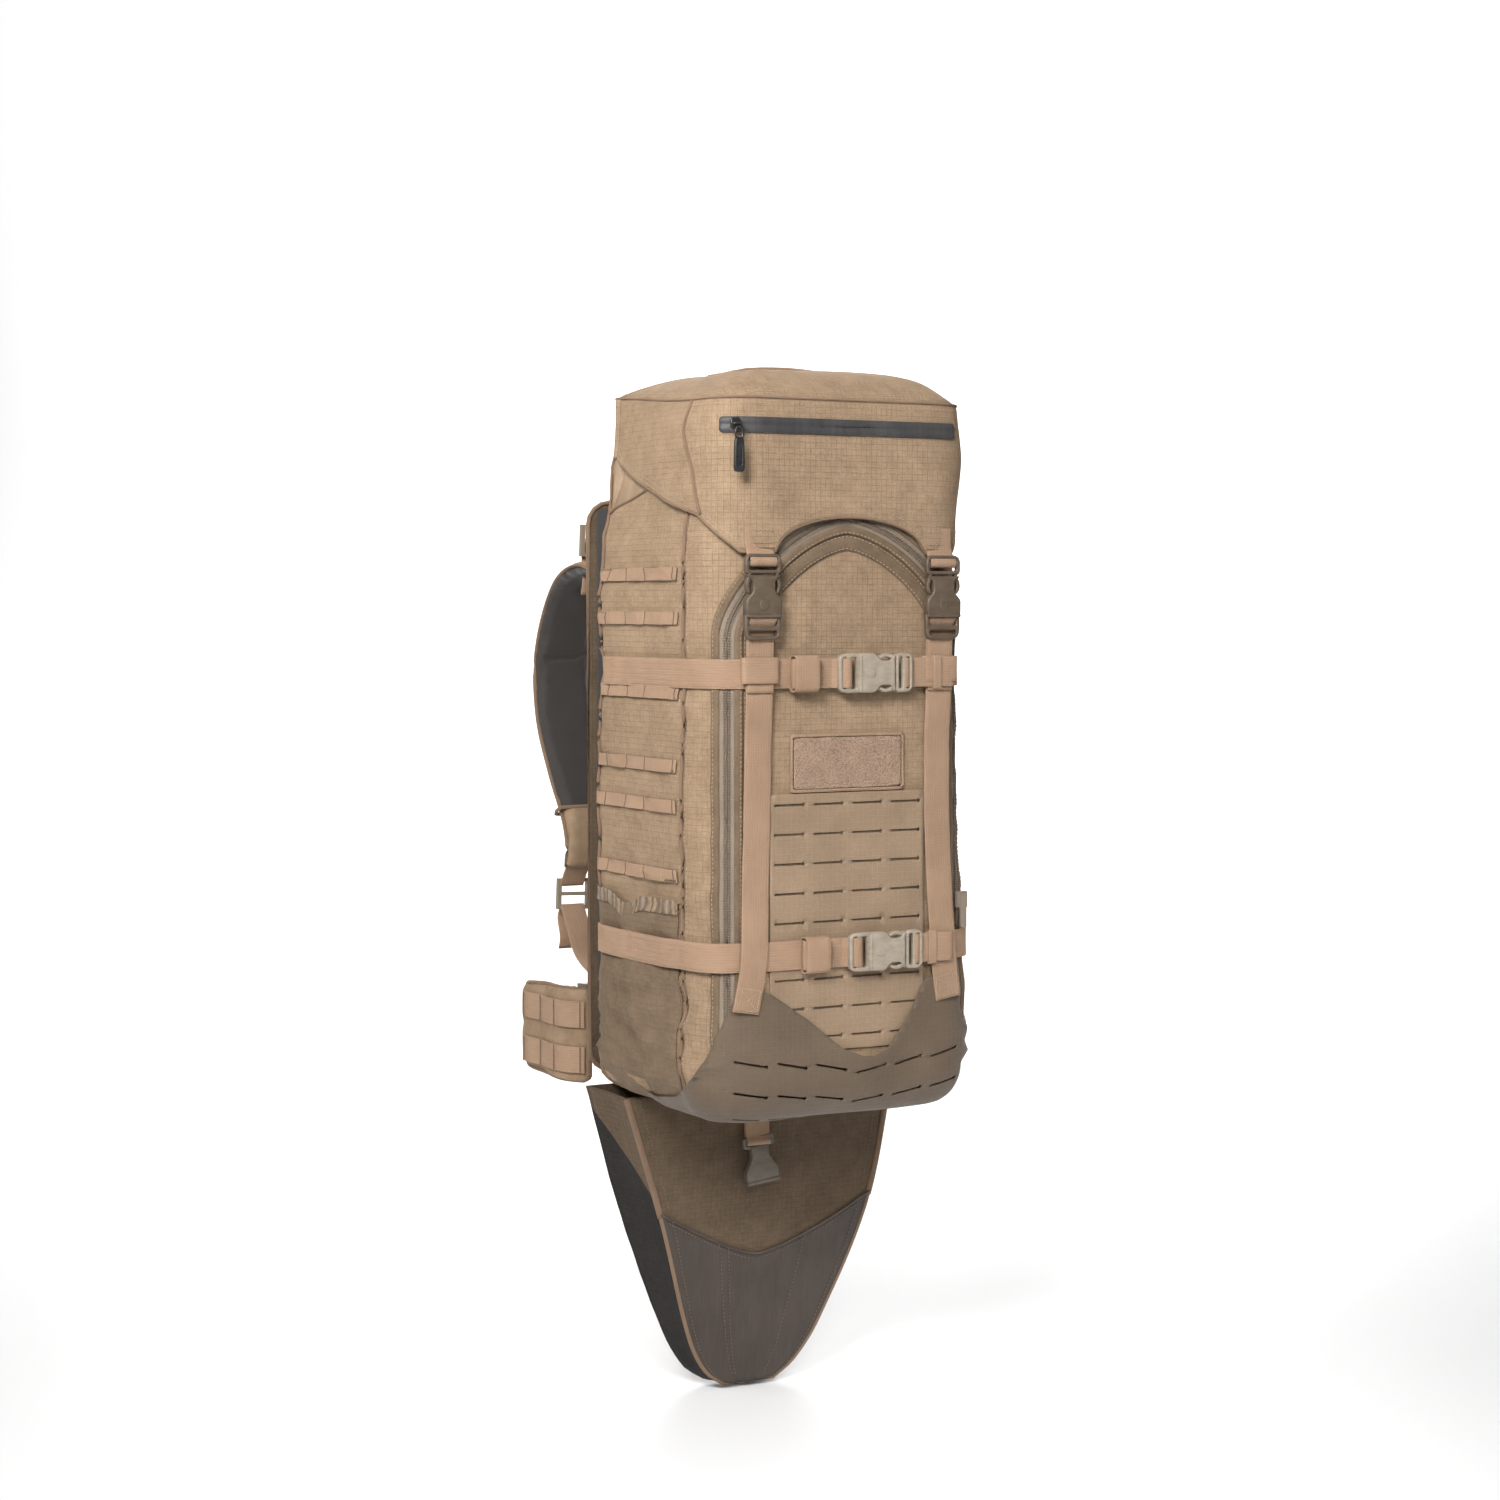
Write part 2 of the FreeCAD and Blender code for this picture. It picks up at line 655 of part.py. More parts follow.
def tail_solid(inset, lift):
    shares = (0.0, 0.36, 0.66, 0.87, 1.0)
    wires = []
    for share in shares:
        z = tail_top_z - share * tail_length
        wires.append(tail_section(share, inset, z + (lift if share == 1.0 else 0.0)))
    return Part.makeLoft(wires, True, True)


def make_scabbard():
    back = sleeve_front_y + sleeve_depth
    sleeve = block(-sleeve_half_width, sleeve_half_width, sleeve_front_y, back,
                   0, sleeve_top)
    bore = block(sleeve_wall - sleeve_half_width, sleeve_half_width - sleeve_wall,
                 sleeve_front_y + sleeve_wall, back - sleeve_wall, -1, sleeve_top + 1)
    save("scabbard_sleeve", sleeve.cut(bore))

    shell = tail_solid(0.0, 0.0).cut(tail_solid(tail_cloth, tail_cloth))
    far = tail_half_width + 20.0
    low = tail_top_z - tail_length - 10.0
    upper = shell.common(block(-far, far, -80, 80, tail_tip_z, tail_top_z + 1))
    tip = shell.common(block(-far, far, -80, 80, low, tail_tip_z))
    save("tail_upper", upper)
    save("tail_tip", tip)
    web_y = tail_front_y - 5.0
    web = block(-webbing_width / 2.0, webbing_width / 2.0, web_y, web_y + webbing_thickness,
                -48.0, -14.0)
    save("tail_webbing", web)
    half = standing(buckle_female(buckle_width, buckle_body, buckle_frame * 0.6,
                                  buckle_thickness, strap_slot))
    half.rotate(FreeCAD.Vector(0, 0, 0), FreeCAD.Vector(0, 1, 0), 180)
    save("tail_buckle_half", placed(half, 0, web_y + webbing_thickness / 2.0,
                                    -48.5 - buckle_body - buckle_frame * 0.6))


# ================================================================ frame and back panel
def make_frame():
    save("frame_sheet", block(-frame_sheet_half_width, frame_sheet_half_width, frame_sheet_y,
                              frame_sheet_y + frame_sheet_thickness,
                              frame_sheet_bottom, frame_sheet_top))
    stay = block(stay_x - stay_width / 2.0, stay_x + stay_width / 2.0, stay_y,
                 stay_y + stay_thickness, frame_sheet_bottom, frame_sheet_top - 10.0)
    save("frame_stays", both_sides(stay))
    panel = block(-back_panel_half_width, back_panel_half_width, back_panel_y,
                  back_panel_y + back_panel_thickness, back_panel_bottom, back_panel_top)
    save("back_panel", panel)
    front = pad_y + trim_gap
    pad = block(16.0, 108.0, front, front + pad_thickness, yoke_z - 228.0, yoke_z - 38.0)
    save("back_pads", both_sides(pad))
    save("lumbar_pad", block(-86.0, 86.0, front, front + pad_thickness + 6.0, 20.0, 190.0))
    outer = arch_shape(hang_loop_half_width, back_panel_top + 4.0,
                       back_panel_top + hang_loop_rise, back_panel_top - 18.0)
    inner = arch_shape(hang_loop_half_width - hang_loop_web, back_panel_top + 4.0,
                       back_panel_top + hang_loop_rise - hang_loop_web,
                       back_panel_top - 19.0)
    ring = outer.cut(inner)
    slab = block(-60, 60, front_y, front_y + hang_loop_depth, 0, bag_height * 1.5)
    save("hang_loop", placed(ring.common(slab), 0, hang_loop_y - front_y, 0))


# ================================================================ harness
def leaned(shape, side):
    """Carry a piece made about X = 0 to one side's leaning shoulder strap."""
    moved = shape.copy()
    pivot = FreeCAD.Vector(0, 0, yoke_z)
    moved.rotate(pivot, FreeCAD.Vector(0, 1, 0), side * -harness_lean_deg)
    moved.translate(FreeCAD.Vector(side * harness_top_x, 0, 0))
    return moved


def make_harness():
    start = pad_y + 4.0
    strap_path = [(start, yoke_z - 16.0), (start + 54.0, yoke_z),
                  (start + 110.0, yoke_z - 18.0), (start + strap_reach, yoke_z - 80.0),
                  (start + 143.0, yoke_z - 138.0), (start + 110.0, yoke_z - 198.0),
                  (start + 79.0, yoke_z - 243.0), (start + 70.0, yoke_z - 270.0),
                  (start + 76.0, yoke_z - 291.0)]
    half = shoulder_width / 2.0
    strap = band(strap_path, shoulder_thickness, shoulder_width, "YZ", -half)
    lifter_path = [(start, yoke_z + 51.0), (start + 28.0, yoke_z + 43.0),
                   (start + 54.0, yoke_z + 33.0)]
    lifter = band(lifter_path, webbing_thickness, webbing_width, "YZ", -webbing_width / 2.0)
    top_lock = placed(ladder_lock(34.0, 30.0, 5.0, strap_slot),
                      0, start + 61.0, yoke_z + 25.0)
    lower_path = [(start + 58.0, yoke_z - 370.0), (start + 72.0, yoke_z - 354.0),
                  (start + 84.0, yoke_z - 336.0)]
    lower = band(lower_path, webbing_thickness, webbing_width, "YZ", -webbing_width / 2.0)
    lower_lock = placed(ladder_lock(34.0, 30.0, 5.0, strap_slot),
                        0, start + 93.0, yoke_z - 315.0)
    web_y = start + strap_reach + shoulder_thickness / 2.0 + 4.0
    slide_bar = block(-half * 0.5, half * 0.5, web_y, web_y + 3.0, yoke_z - 110.0,
                      yoke_z - 110.0 + sternum_width)
    save("shoulder_strap_left", leaned(strap, -1.0))
    save("shoulder_strap_right", leaned(strap, 1.0))
    pairs = (("load_lifters", lifter), ("load_lifter_locks", top_lock),
             ("lower_webbing", lower), ("lower_locks", lower_lock),
             ("sternum_slides", slide_bar))
    for name, shape in pairs:
        save(name, group([leaned(shape, -1.0), leaned(shape, 1.0)]))


def belt_point(radius, degrees):
    angle = math.radians(degrees)
    return (-belt_centre_x + radius * math.cos(angle), belt_centre_y + radius * math.sin(angle))


def make_belt():
    path = [belt_point(belt_radius, degrees) for degrees in (231, 208, 185, 162, 140)]
    wing = band(path, belt_thickness, belt_top - belt_bottom, "XY", belt_bottom)
    save("belt_wing_left", wing)
    save("belt_wing_right", mirror(wing))
    outside = belt_radius + belt_thickness / 2.0 + trim_gap + skin / 2.0
    row_path = [belt_point(outside, degrees) for degrees in (215, 198, 180, 164, 148)]
    rows = [band(row_path, skin, webbing_width, "XY", low) for low in (2.0, 45.0)]
    save("belt_rows_left", group(rows))
    save("belt_rows_right", mirror(group(rows)))
    middle = (belt_bottom + belt_top) / 2.0
    low = middle - belt_webbing_width / 2.0
    web_path = [belt_point(belt_radius, degrees) for degrees in (139.4, 128, 116)]
    web = band(web_path, 2.0, belt_webbing_width, "XY", low)
    width = belt_webbing_width + 9.0
    belt_slot = belt_webbing_width + 0.6
    socket = buckle_female(width, 36.0, 20.0, 12.0, belt_slot)
    tongue = buckle_male(width, 20.0, 12.0, belt_slot, 18.0)
    end_x, end_y = belt_point(belt_radius, 115.4)
    turn = 115.4 - 90.0
    female = placed(socket, 36.0 + 20.0 + 0.5, 0, 0)
    female.rotate(FreeCAD.Vector(0, 0, 0), FreeCAD.Vector(0, 0, 1), turn)
    male = placed(tongue, -20.0 - 0.5, 0, 0)
    male.rotate(FreeCAD.Vector(0, 0, 0), FreeCAD.Vector(0, 0, 1), -turn)
    save("belt_webbing_left", web)
    save("belt_webbing_right", mirror(web))
    save("belt_buckle_female", placed(female, end_x, end_y, middle))
    save("belt_buckle_male", placed(male, -end_x, end_y, middle))


def make_rolled_ends():
    rolls = []
    for z, mouth_x in ((upper_strap_z, upper_buckle_mouth_x),
                       (lower_strap_z, lower_buckle_mouth_x)):
        frame_end = mouth_x - buckle_body - buckle_frame
        rolls.append(rolled_end(frame_end - 44.0, frame_end - 3.0, z))
    save("rolled_strap_ends", group(rolls))


def main():
    os.makedirs("parts", exist_ok=True)
    make_bag()
    make_front_zip()
    make_front_trim()
    make_bucket_flap()
    make_vertical_straps()
    make_compression("upper", upper_strap_z, upper_buckle_mouth_x, upper_strap)
    make_compression("lower", lower_strap_z, lower_buckle_mouth_x, lower_strap)
    make_rolled_ends()
    make_sides()
    make_lid()
    make_scabbard()
    make_frame()
    make_harness()
    make_belt()


main()
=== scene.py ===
import json
import math
import bmesh
import bpy
import numpy as np
from mathutils import Matrix, Vector, noise

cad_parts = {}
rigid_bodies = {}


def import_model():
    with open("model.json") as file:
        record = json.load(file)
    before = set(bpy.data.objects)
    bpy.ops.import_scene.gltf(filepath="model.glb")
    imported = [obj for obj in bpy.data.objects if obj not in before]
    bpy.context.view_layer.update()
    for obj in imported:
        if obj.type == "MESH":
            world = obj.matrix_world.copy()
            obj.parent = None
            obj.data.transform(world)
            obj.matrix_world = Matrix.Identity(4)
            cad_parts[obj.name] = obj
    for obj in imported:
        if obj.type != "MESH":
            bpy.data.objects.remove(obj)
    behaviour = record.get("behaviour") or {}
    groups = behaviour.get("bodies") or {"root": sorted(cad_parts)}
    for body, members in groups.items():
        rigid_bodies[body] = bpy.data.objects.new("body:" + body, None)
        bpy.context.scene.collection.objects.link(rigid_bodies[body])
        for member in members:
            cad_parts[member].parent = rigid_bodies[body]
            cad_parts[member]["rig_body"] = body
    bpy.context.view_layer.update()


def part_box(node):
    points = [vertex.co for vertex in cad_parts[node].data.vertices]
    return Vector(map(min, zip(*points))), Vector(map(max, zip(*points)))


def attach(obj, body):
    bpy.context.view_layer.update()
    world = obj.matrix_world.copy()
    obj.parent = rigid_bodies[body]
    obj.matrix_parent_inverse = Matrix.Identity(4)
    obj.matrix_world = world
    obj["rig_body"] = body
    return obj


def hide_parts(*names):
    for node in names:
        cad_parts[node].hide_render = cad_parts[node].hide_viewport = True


bl_info = {
    "name": "Hunting Backpack",
    "version": (1, 0, 0),
    "blender": (4, 5, 0),
    "location": "View3D > Sidebar > Backpack",
    "description": "Builds the cloth, webbing, buckles and harness of a hunting backpack",
    "category": "Add Mesh",
}

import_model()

# Every shape below is worked out in millimetres from the bag: X to the right seen from
# the front, Y = 0 at the bag's back wall with the front at -Y, Z = 0 at the bag's floor.
BAG_BACK_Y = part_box("bag_back_wall")[1][1]
BAG_FLOOR_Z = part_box("bag_floor")[0][2]
BAG_TOP = (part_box("bag_front_panel")[1][2] - BAG_FLOOR_Z) * 1000.0
FRONT = (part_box("bag_front_panel")[0][1] - BAG_BACK_Y) * 1000.0
DATUM = np.array([0.0, BAG_BACK_Y, BAG_FLOOR_Z])
MERGE_DISTANCE = 0.00001


def node_box(name):
    """A CAD node's lowest and highest corners in bag millimetres."""
    low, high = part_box(name)
    return (np.array(low) - DATUM) * 1000.0, (np.array(high) - DATUM) * 1000.0


# ================================================================ settings
class PackSizes(bpy.types.PropertyGroup):
    """Sizes a user would change, in metres."""

    webbing: bpy.props.FloatProperty(
        name="Webbing width", description="Width of the straps", default=0.0254,
        subtype="DISTANCE", unit="LENGTH")
    webbing_thick: bpy.props.FloatProperty(
        name="Webbing thickness", description="Thickness of one ply", default=0.0017,
        subtype="DISTANCE", unit="LENGTH")
    piping: bpy.props.FloatProperty(
        name="Piping radius", description="Radius of the bound seams", default=0.0019,
        subtype="DISTANCE", unit="LENGTH")
    stitch: bpy.props.FloatProperty(
        name="Stitch length", description="Length of one visible stitch", default=0.0028,
        subtype="DISTANCE", unit="LENGTH")
    slot_pitch: bpy.props.FloatProperty(
        name="Slot pitch", description="Distance between laser-cut slots in a row",
        default=0.0381, subtype="DISTANCE", unit="LENGTH")
    row_pitch: bpy.props.FloatProperty(
        name="Row pitch", description="Distance between rows of slots", default=0.0254,
        subtype="DISTANCE", unit="LENGTH")
    tooth_pitch: bpy.props.FloatProperty(
        name="Zip tooth pitch", description="Distance between coils of the front zip",
        default=0.0022, subtype="DISTANCE", unit="LENGTH")
    wrinkle: bpy.props.FloatProperty(
        name="Wrinkle height", description="Height of the folds in the bag's cloth",
        default=0.0022, subtype="DISTANCE", unit="LENGTH")


def colour_property(name, description, default):
    return bpy.props.FloatVectorProperty(
        name=name, description=description, size=4, subtype="COLOR", min=0.0, max=1.0,
        default=default)


class PackColours(bpy.types.PropertyGroup):
    """Linear base colours of the pack's finishes."""

    cloth: colour_property("Cloth", "Ripstop bag cloth", (0.300, 0.208, 0.130, 1.0))
    laminate: colour_property("Laminate", "Stiff laser-cut sheet", (0.262, 0.182, 0.115, 1.0))
    webbing: colour_property("Webbing", "Straps and loops", (0.345, 0.226, 0.148, 1.0))
    lid_buckle: colour_property("Lid buckle", "Olive buckles", (0.098, 0.070, 0.047, 1.0))
    pale_buckle: colour_property("Strap buckle", "Grey-tan buckles", (0.310, 0.262, 0.205, 1.0))
    coated: colour_property("Coated cloth", "Scabbard tip", (0.048, 0.035, 0.027, 1.0))
    pile: colour_property("Pile", "Loop field", (0.330, 0.230, 0.166, 1.0))
    mesh: colour_property("Mesh", "Black spacer mesh", (0.020, 0.017, 0.015, 1.0))
    zip_black: colour_property("Lid zip", "Black zip parts", (0.018, 0.017, 0.017, 1.0))
    zip_tan: colour_property("Front zip", "Tan-grey zip coil", (0.250, 0.195, 0.145, 1.0))
    thread: colour_property("Thread", "Seam thread", (0.360, 0.255, 0.165, 1.0))


def sizes():
    return bpy.context.scene.pack_sizes


def colours():
    return bpy.context.scene.pack_colours


# ================================================================ mesh helpers
def to_row(points):
    """Bag millimetres to the row frame in metres."""
    points = np.asarray(points, float).reshape(-1, 3) / 1000.0
    return points + DATUM


def new_piece(name, points, faces, uvs=None, smooth=True):
    """A mesh object from points in bag millimetres; uvs are one pair per point, in mm."""
    mesh = bpy.data.meshes.new(name)
    mesh.from_pydata(to_row(points).tolist(), [], faces)
    mesh.update()
    if uvs is not None:
        layer = mesh.uv_layers.new(name="cloth")
        flat = np.asarray(uvs, float)[[loop.vertex_index for loop in mesh.loops]] / 1000.0
        layer.data.foreach_set("uv", flat.astype(np.float32).ravel())
    obj = bpy.data.objects.new(name, mesh)
    bpy.context.scene.collection.objects.link(obj)
    if smooth:
        mesh.shade_smooth()
    return obj


def grid_faces(rows, columns, closed=False):
    """Quads of a grid whose points run along each row; closed joins the last column."""
    faces = []
    across = columns if closed else columns - 1
    for r in range(rows - 1):
        for c in range(across):
            d = (c + 1) % columns
            faces.append((r * columns + c, r * columns + d,
                          (r + 1) * columns + d, (r + 1) * columns + c))
    return faces


def capped_faces(rows, columns):
    """Faces of a closed tube of rings, with a cap at each end."""
    last = (rows - 1) * columns
    return grid_faces(rows, columns, closed=True) + [
        tuple(range(columns))[::-1], tuple(range(last, last + columns))]


def baked(obj):
    """Apply every modifier and leave a plain mesh."""
    graph = bpy.context.evaluated_depsgraph_get()
    graph.update()
    mesh = bpy.data.meshes.new_from_object(obj.evaluated_get(graph), depsgraph=graph)
    if obj.type == "MESH":
        obj.modifiers.clear()
        old = obj.data
        obj.data = mesh
        bpy.data.meshes.remove(old)
        return obj
    made = bpy.data.objects.new(obj.name + "_made", mesh)
    bpy.context.scene.collection.objects.link(made)
    name = obj.name
    bpy.data.objects.remove(obj)
    made.name = name
    return made


def thicken(obj, millimetres, offset=-1.0):
    """Give a sheet its thickness; offset -1 grows it inwards and 1 outwards."""
    modifier = obj.modifiers.new("thickness", "SOLIDIFY")
    modifier.thickness = millimetres / 1000.0
    modifier.offset = offset
    modifier.use_even_offset = False
    return baked(obj)


def subdivide(obj, levels=1):
    """Smooth a mesh by subdivision."""
    modifier = obj.modifiers.new("smooth", "SUBSURF")
    modifier.levels = levels
    modifier.render_levels = levels
    return baked(obj)


def outward(obj, merge=True):
    """Turn every face of a closed mesh outwards; merging doubles costs it its UVs."""
    work = bmesh.new()
    work.from_mesh(obj.data)
    if merge:
        bmesh.ops.remove_doubles(work, verts=work.verts, dist=MERGE_DISTANCE)
    bmesh.ops.recalc_face_normals(work, faces=work.faces)
    work.to_mesh(obj.data)
    work.free()
    return obj


def join(name, parts):
    """Join mesh objects into one, keeping their UVs and materials."""
    for part in bpy.context.selected_objects:
        part.select_set(False)
    for part in parts:
        part.select_set(True)
    bpy.context.view_layer.objects.active = parts[0]
    bpy.ops.object.join()
    made = bpy.context.view_layer.objects.active
    made.name = name
    made.data.name = name
    return made


def dress(obj, material, body="pack", replaced=()):
    """Give a finished piece its material, its body and what it stands for."""
    if material is not None:
        obj.data.materials.clear()
        obj.data.materials.append(material)
    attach(obj, body)
    if replaced:
        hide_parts(*replaced)
    return obj


def unit(vectors):
    """Each vector at length one."""
    vectors = np.asarray(vectors, float)
    size = np.linalg.norm(vectors, axis=-1, keepdims=True)
    return vectors / np.maximum(size, 1e-9)


def run_lengths(path):
    """Distance along a path to each of its points."""
    legs = np.linalg.norm(np.diff(np.asarray(path, float), axis=0), axis=1)
    return np.concatenate([[0.0], np.cumsum(legs)])


def smooth_path(points, step=4.0):
    """Points along a smooth line through the given ones, about `step` mm apart."""
    points = np.asarray(points, float)
    knots = run_lengths(points)
    runs = np.diff(knots)
    if len(points) == 2:
        count = max(int(knots[-1] / step), 1) + 1
        t = np.linspace(0.0, 1.0, count)[:, None]
        return points[0] * (1 - t) + points[1] * t
    slopes = np.zeros_like(points)
    slopes[1:-1] = (points[2:] - points[:-2]) / (knots[2:] - knots[:-2])[:, None]
    slopes[0] = (points[1] - points[0]) / runs[0]
    slopes[-1] = (points[-1] - points[-2]) / runs[-1]
    out = []
    for i, run in enumerate(runs):
        count = max(int(round(run / step)), 1)
        t = np.linspace(0.0, 1.0, count, endpoint=False)[:, None]
        h00 = 2 * t ** 3 - 3 * t ** 2 + 1
        h10 = t ** 3 - 2 * t ** 2 + t
        h01 = 3 * t ** 2 - 2 * t ** 3
        h11 = t ** 3 - t ** 2
        out.append(h00 * points[i] + h10 * run * slopes[i]
                   + h01 * points[i + 1] + h11 * run * slopes[i + 1])
    out.append(points[-1:])
    return np.concatenate(out)


def path_normals(path, hint):
    """Unit tangents along a path, and normals as near to the hints as they can be."""
    tangent = unit(np.gradient(path, axis=0))
    hint = np.broadcast_to(np.asarray(hint, float), path.shape)
    normal = hint - tangent * np.sum(hint * tangent, axis=1, keepdims=True)
    return tangent, unit(normal)


def ribbon(name, path, hint, width=25.4, thick=1.7, rounding=0.35, ripple=0.0, seed=0):
    """A strip of webbing along a path; hint points out of its face."""
    path = np.asarray(path, float)
    tangent, normal = path_normals(path, hint)
    side = np.cross(tangent, normal)
    half = width / 2.0
    deep = thick / 2.0
    edge = min(rounding, deep * 0.9)
    across = np.linspace(-half + edge, half - edge, 7)
    outline = [(x, deep) for x in across]
    outline += [(half - edge * 0.3, deep - edge * 0.4), (half, 0.0),
                (half - edge * 0.3, edge * 0.4 - deep)]
    outline += [(x, -deep) for x in across[::-1]]
    outline += [(edge * 0.3 - half, edge * 0.4 - deep), (-half, 0.0),
                (edge * 0.3 - half, deep - edge * 0.4)]
    runs = run_lengths(path)
    points = []
    uvs = []
    for i, centre in enumerate(path):
        lift = 0.0
        if ripple:
            lift = ripple * noise.noise(Vector((runs[i] / 38.0, seed * 7.3, 0.4)))
        for x, y in outline:
            cup = ripple * 0.5 * noise.noise(Vector((runs[i] / 24.0, x / 14.0, seed * 3.1)))
            points.append(centre + side[i] * x + normal[i] * (y + lift + cup))
            uvs.append((x, runs[i]))
    return outward(new_piece(name, points, capped_faces(len(path), len(outline)), uvs), False)


def tube(name, path, radius=1.0, sides=8, flat=1.0, hint=(0, 0, 1)):
    """A closed round or flattened tube along a path."""
    path = np.asarray(path, float)
    tangent, normal = path_normals(path, hint)
    side = np.cross(tangent, normal)
    runs = run_lengths(path)
    points = []
    uvs = []
    for i, centre in enumerate(path):
        for k in range(sides):
            angle = 2.0 * math.pi * k / sides
            points.append(centre + side[i] * math.cos(angle) * radius
                          + normal[i] * math.sin(angle) * radius * flat)
            uvs.append((k * radius, runs[i]))
    return outward(new_piece(name, points, capped_faces(len(path), sides), uvs), False)


def flat_curve(name, loops):
    """A filled flat curve: an outline, then its holes."""
    curve = bpy.data.curves.new(name, "CURVE")
    curve.dimensions = "2D"
    curve.fill_mode = "BOTH"
    for loop in loops:
        spline = curve.splines.new("POLY")
        spline.points.add(len(loop) - 1)
        for point, (x, y) in zip(spline.points, loop):
            point.co = (x, y, 0.0, 1.0)
        spline.use_cyclic_u = True
    holder = bpy.data.objects.new(name, curve)
    bpy.context.scene.collection.objects.link(holder)
    return holder


def plate(name, outline, holes, thick, bevel=0.6, to_place=None):
    """A moulded plate: an outline with holes, in its own x-y plane, with eased edges.

    to_place maps its (x, y, z) points to bag millimetres; z is the thickness.
    """
    holder = flat_curve(name, [outline] + list(holes))
    curve = holder.data
    curve.extrude = max(thick / 2.0 - bevel, 0.05)
    curve.bevel_depth = bevel
    curve.bevel_resolution = 2
    curve.offset = -bevel
    obj = baked(holder)
    points = np.array([v.co for v in obj.data.vertices], float)
    placed = to_row(to_place(points) if to_place else points)
    obj.data.vertices.foreach_set("co", placed.ravel().astype(np.float32))
    outward(obj)
    obj.data.shade_smooth()
    obj.data.set_sharp_from_angle(angle=math.radians(50))
    return obj


def rounded(x0, x1, y0, y1, radius, steps=4):
    """Points of a rectangle with rounded corners."""
    radius = min(radius, (x1 - x0) / 2.0 - 0.01, (y1 - y0) / 2.0 - 0.01)
    points = []
    for cx, cy, start in ((x1 - radius, y1 - radius, 0), (x0 + radius, y1 - radius, 90),
                          (x0 + radius, y0 + radius, 180), (x1 - radius, y0 + radius, 270)):
        for k in range(steps + 1):
            angle = math.radians(start + 90.0 * k / steps)
            points.append((cx + radius * math.cos(angle), cy + radius * math.sin(angle)))
    return points


def flow(x, y, z, seed=0.0):
    """Smooth noise between about -1 and 1."""
    return noise.noise(Vector((x, y, z + seed * 17.17)))


# ================================================================ the bag's shape
SECTION = ((0.0, 1.5), (52.0, 0.6), (92.0, 1.6), (112.0, 7.5), (125.0, 22.0),
           (132.0, 44.0), (136.5, 84.0), (140.0, 138.0), (142.5, 186.0), (139.0, 206.0),
           (126.0, 213.5), (64.0, 215.0), (0.0, 215.0))


def section_line():
    """Half of the bag's plan outline, from the front's middle to the back's middle."""
    points = np.array([(x, FRONT + y, 0.0) for x, y in SECTION])
    path = smooth_path(points, 1.5)
    runs = run_lengths(path)
    tangent = unit(np.gradient(path, axis=0))
    normal = np.stack([-tangent[:, 1], tangent[:, 0], tangent[:, 2]], axis=1)
    return runs, path, normal * -1.0


S_RUN, S_PATH, S_NORMAL = section_line()
HALF_ROUND = S_RUN[-1]


def s_of_front_x(x):
    """Distance round the bag from the front's middle to where the front is at x."""
    count = int(np.argmax(S_PATH[:, 0]))
    return math.copysign(np.interp(abs(x), S_PATH[:count, 0], S_RUN[:count]), x)


def s_of_side_y(y):
    """Distance round the bag to where the right side is at y."""
    return float(np.interp(y, S_PATH[:, 1], S_RUN))


S_ZIP = s_of_front_x(112.0)
S_PIPING = s_of_side_y(-170.0)
S_BACK_SEAM = s_of_side_y(-18.0)
BOTTOM_ROUND = 34.0
STRAP_HIGH = 384.0
STRAP_LOW = 143.0


def on_table(table, x):
    """Straight-line reading of a table of (x, value) pairs."""
    return float(np.interp(x, [pair[0] for pair in table], [pair[1] for pair in table]))


def ease(x, low, high):
    """0 below low, 1 above high, smooth between."""
    t = min(max((x - low) / (high - low), 0.0), 1.0)
    return t * t * (3.0 - 2.0 * t)


def side_share(s):
    """0 at the front corner's seam and 1 at the back seam of either side."""
    return min(max((abs(s) - S_PIPING) / (S_BACK_SEAM - S_PIPING), 0.0), 1.0)


def right_corner_set(z):
    """How far the right front corner bulges at the load and draws in above it."""
    bulge = 8.0 * math.exp(-((z - 92.0) / 34.0) ** 2)
    drawn = 17.0 * ease(z, 100.0, 370.0) - 5.0 * ease(z, 535.0, 588.0)
    return bulge - drawn - 9.0 * (1.0 - ease(z, 22.0, 44.0))


def bag_swell(s, z):
    """How far the filled cloth stands out of, or sinks under, its plain outline."""
    side = ease(abs(s), S_ZIP - 8.0, S_ZIP + 34.0)
    back = ease(abs(s), S_BACK_SEAM, S_BACK_SEAM + 26.0)
    belly = math.sin(min(max((z - 20.0) / 520.0, 0.0), 1.0) * math.pi) * 2.2
    high = -3.4 * math.exp(-((z - STRAP_HIGH) / 20.0) ** 2)
    low = -1.6 * math.exp(-((z - STRAP_LOW) / 22.0) ** 2)
    share = side_share(s)
    up = min(max((z - 430.0) / 158.0, 0.0), 1.0)
    neck = -9.0 * up ** 3 * (1.0 - share) - 24.0 * up ** 2 * share
    right = 0.0
    if s > 0.0:
        right = ease(s, S_ZIP - 14.0, S_PIPING) * (1.0 - ease(share, 0.3, 0.85))
        right *= right_corner_set(z)
    return (side * (belly + high + low) + neck) * (1.0 - 0.8 * back) + right


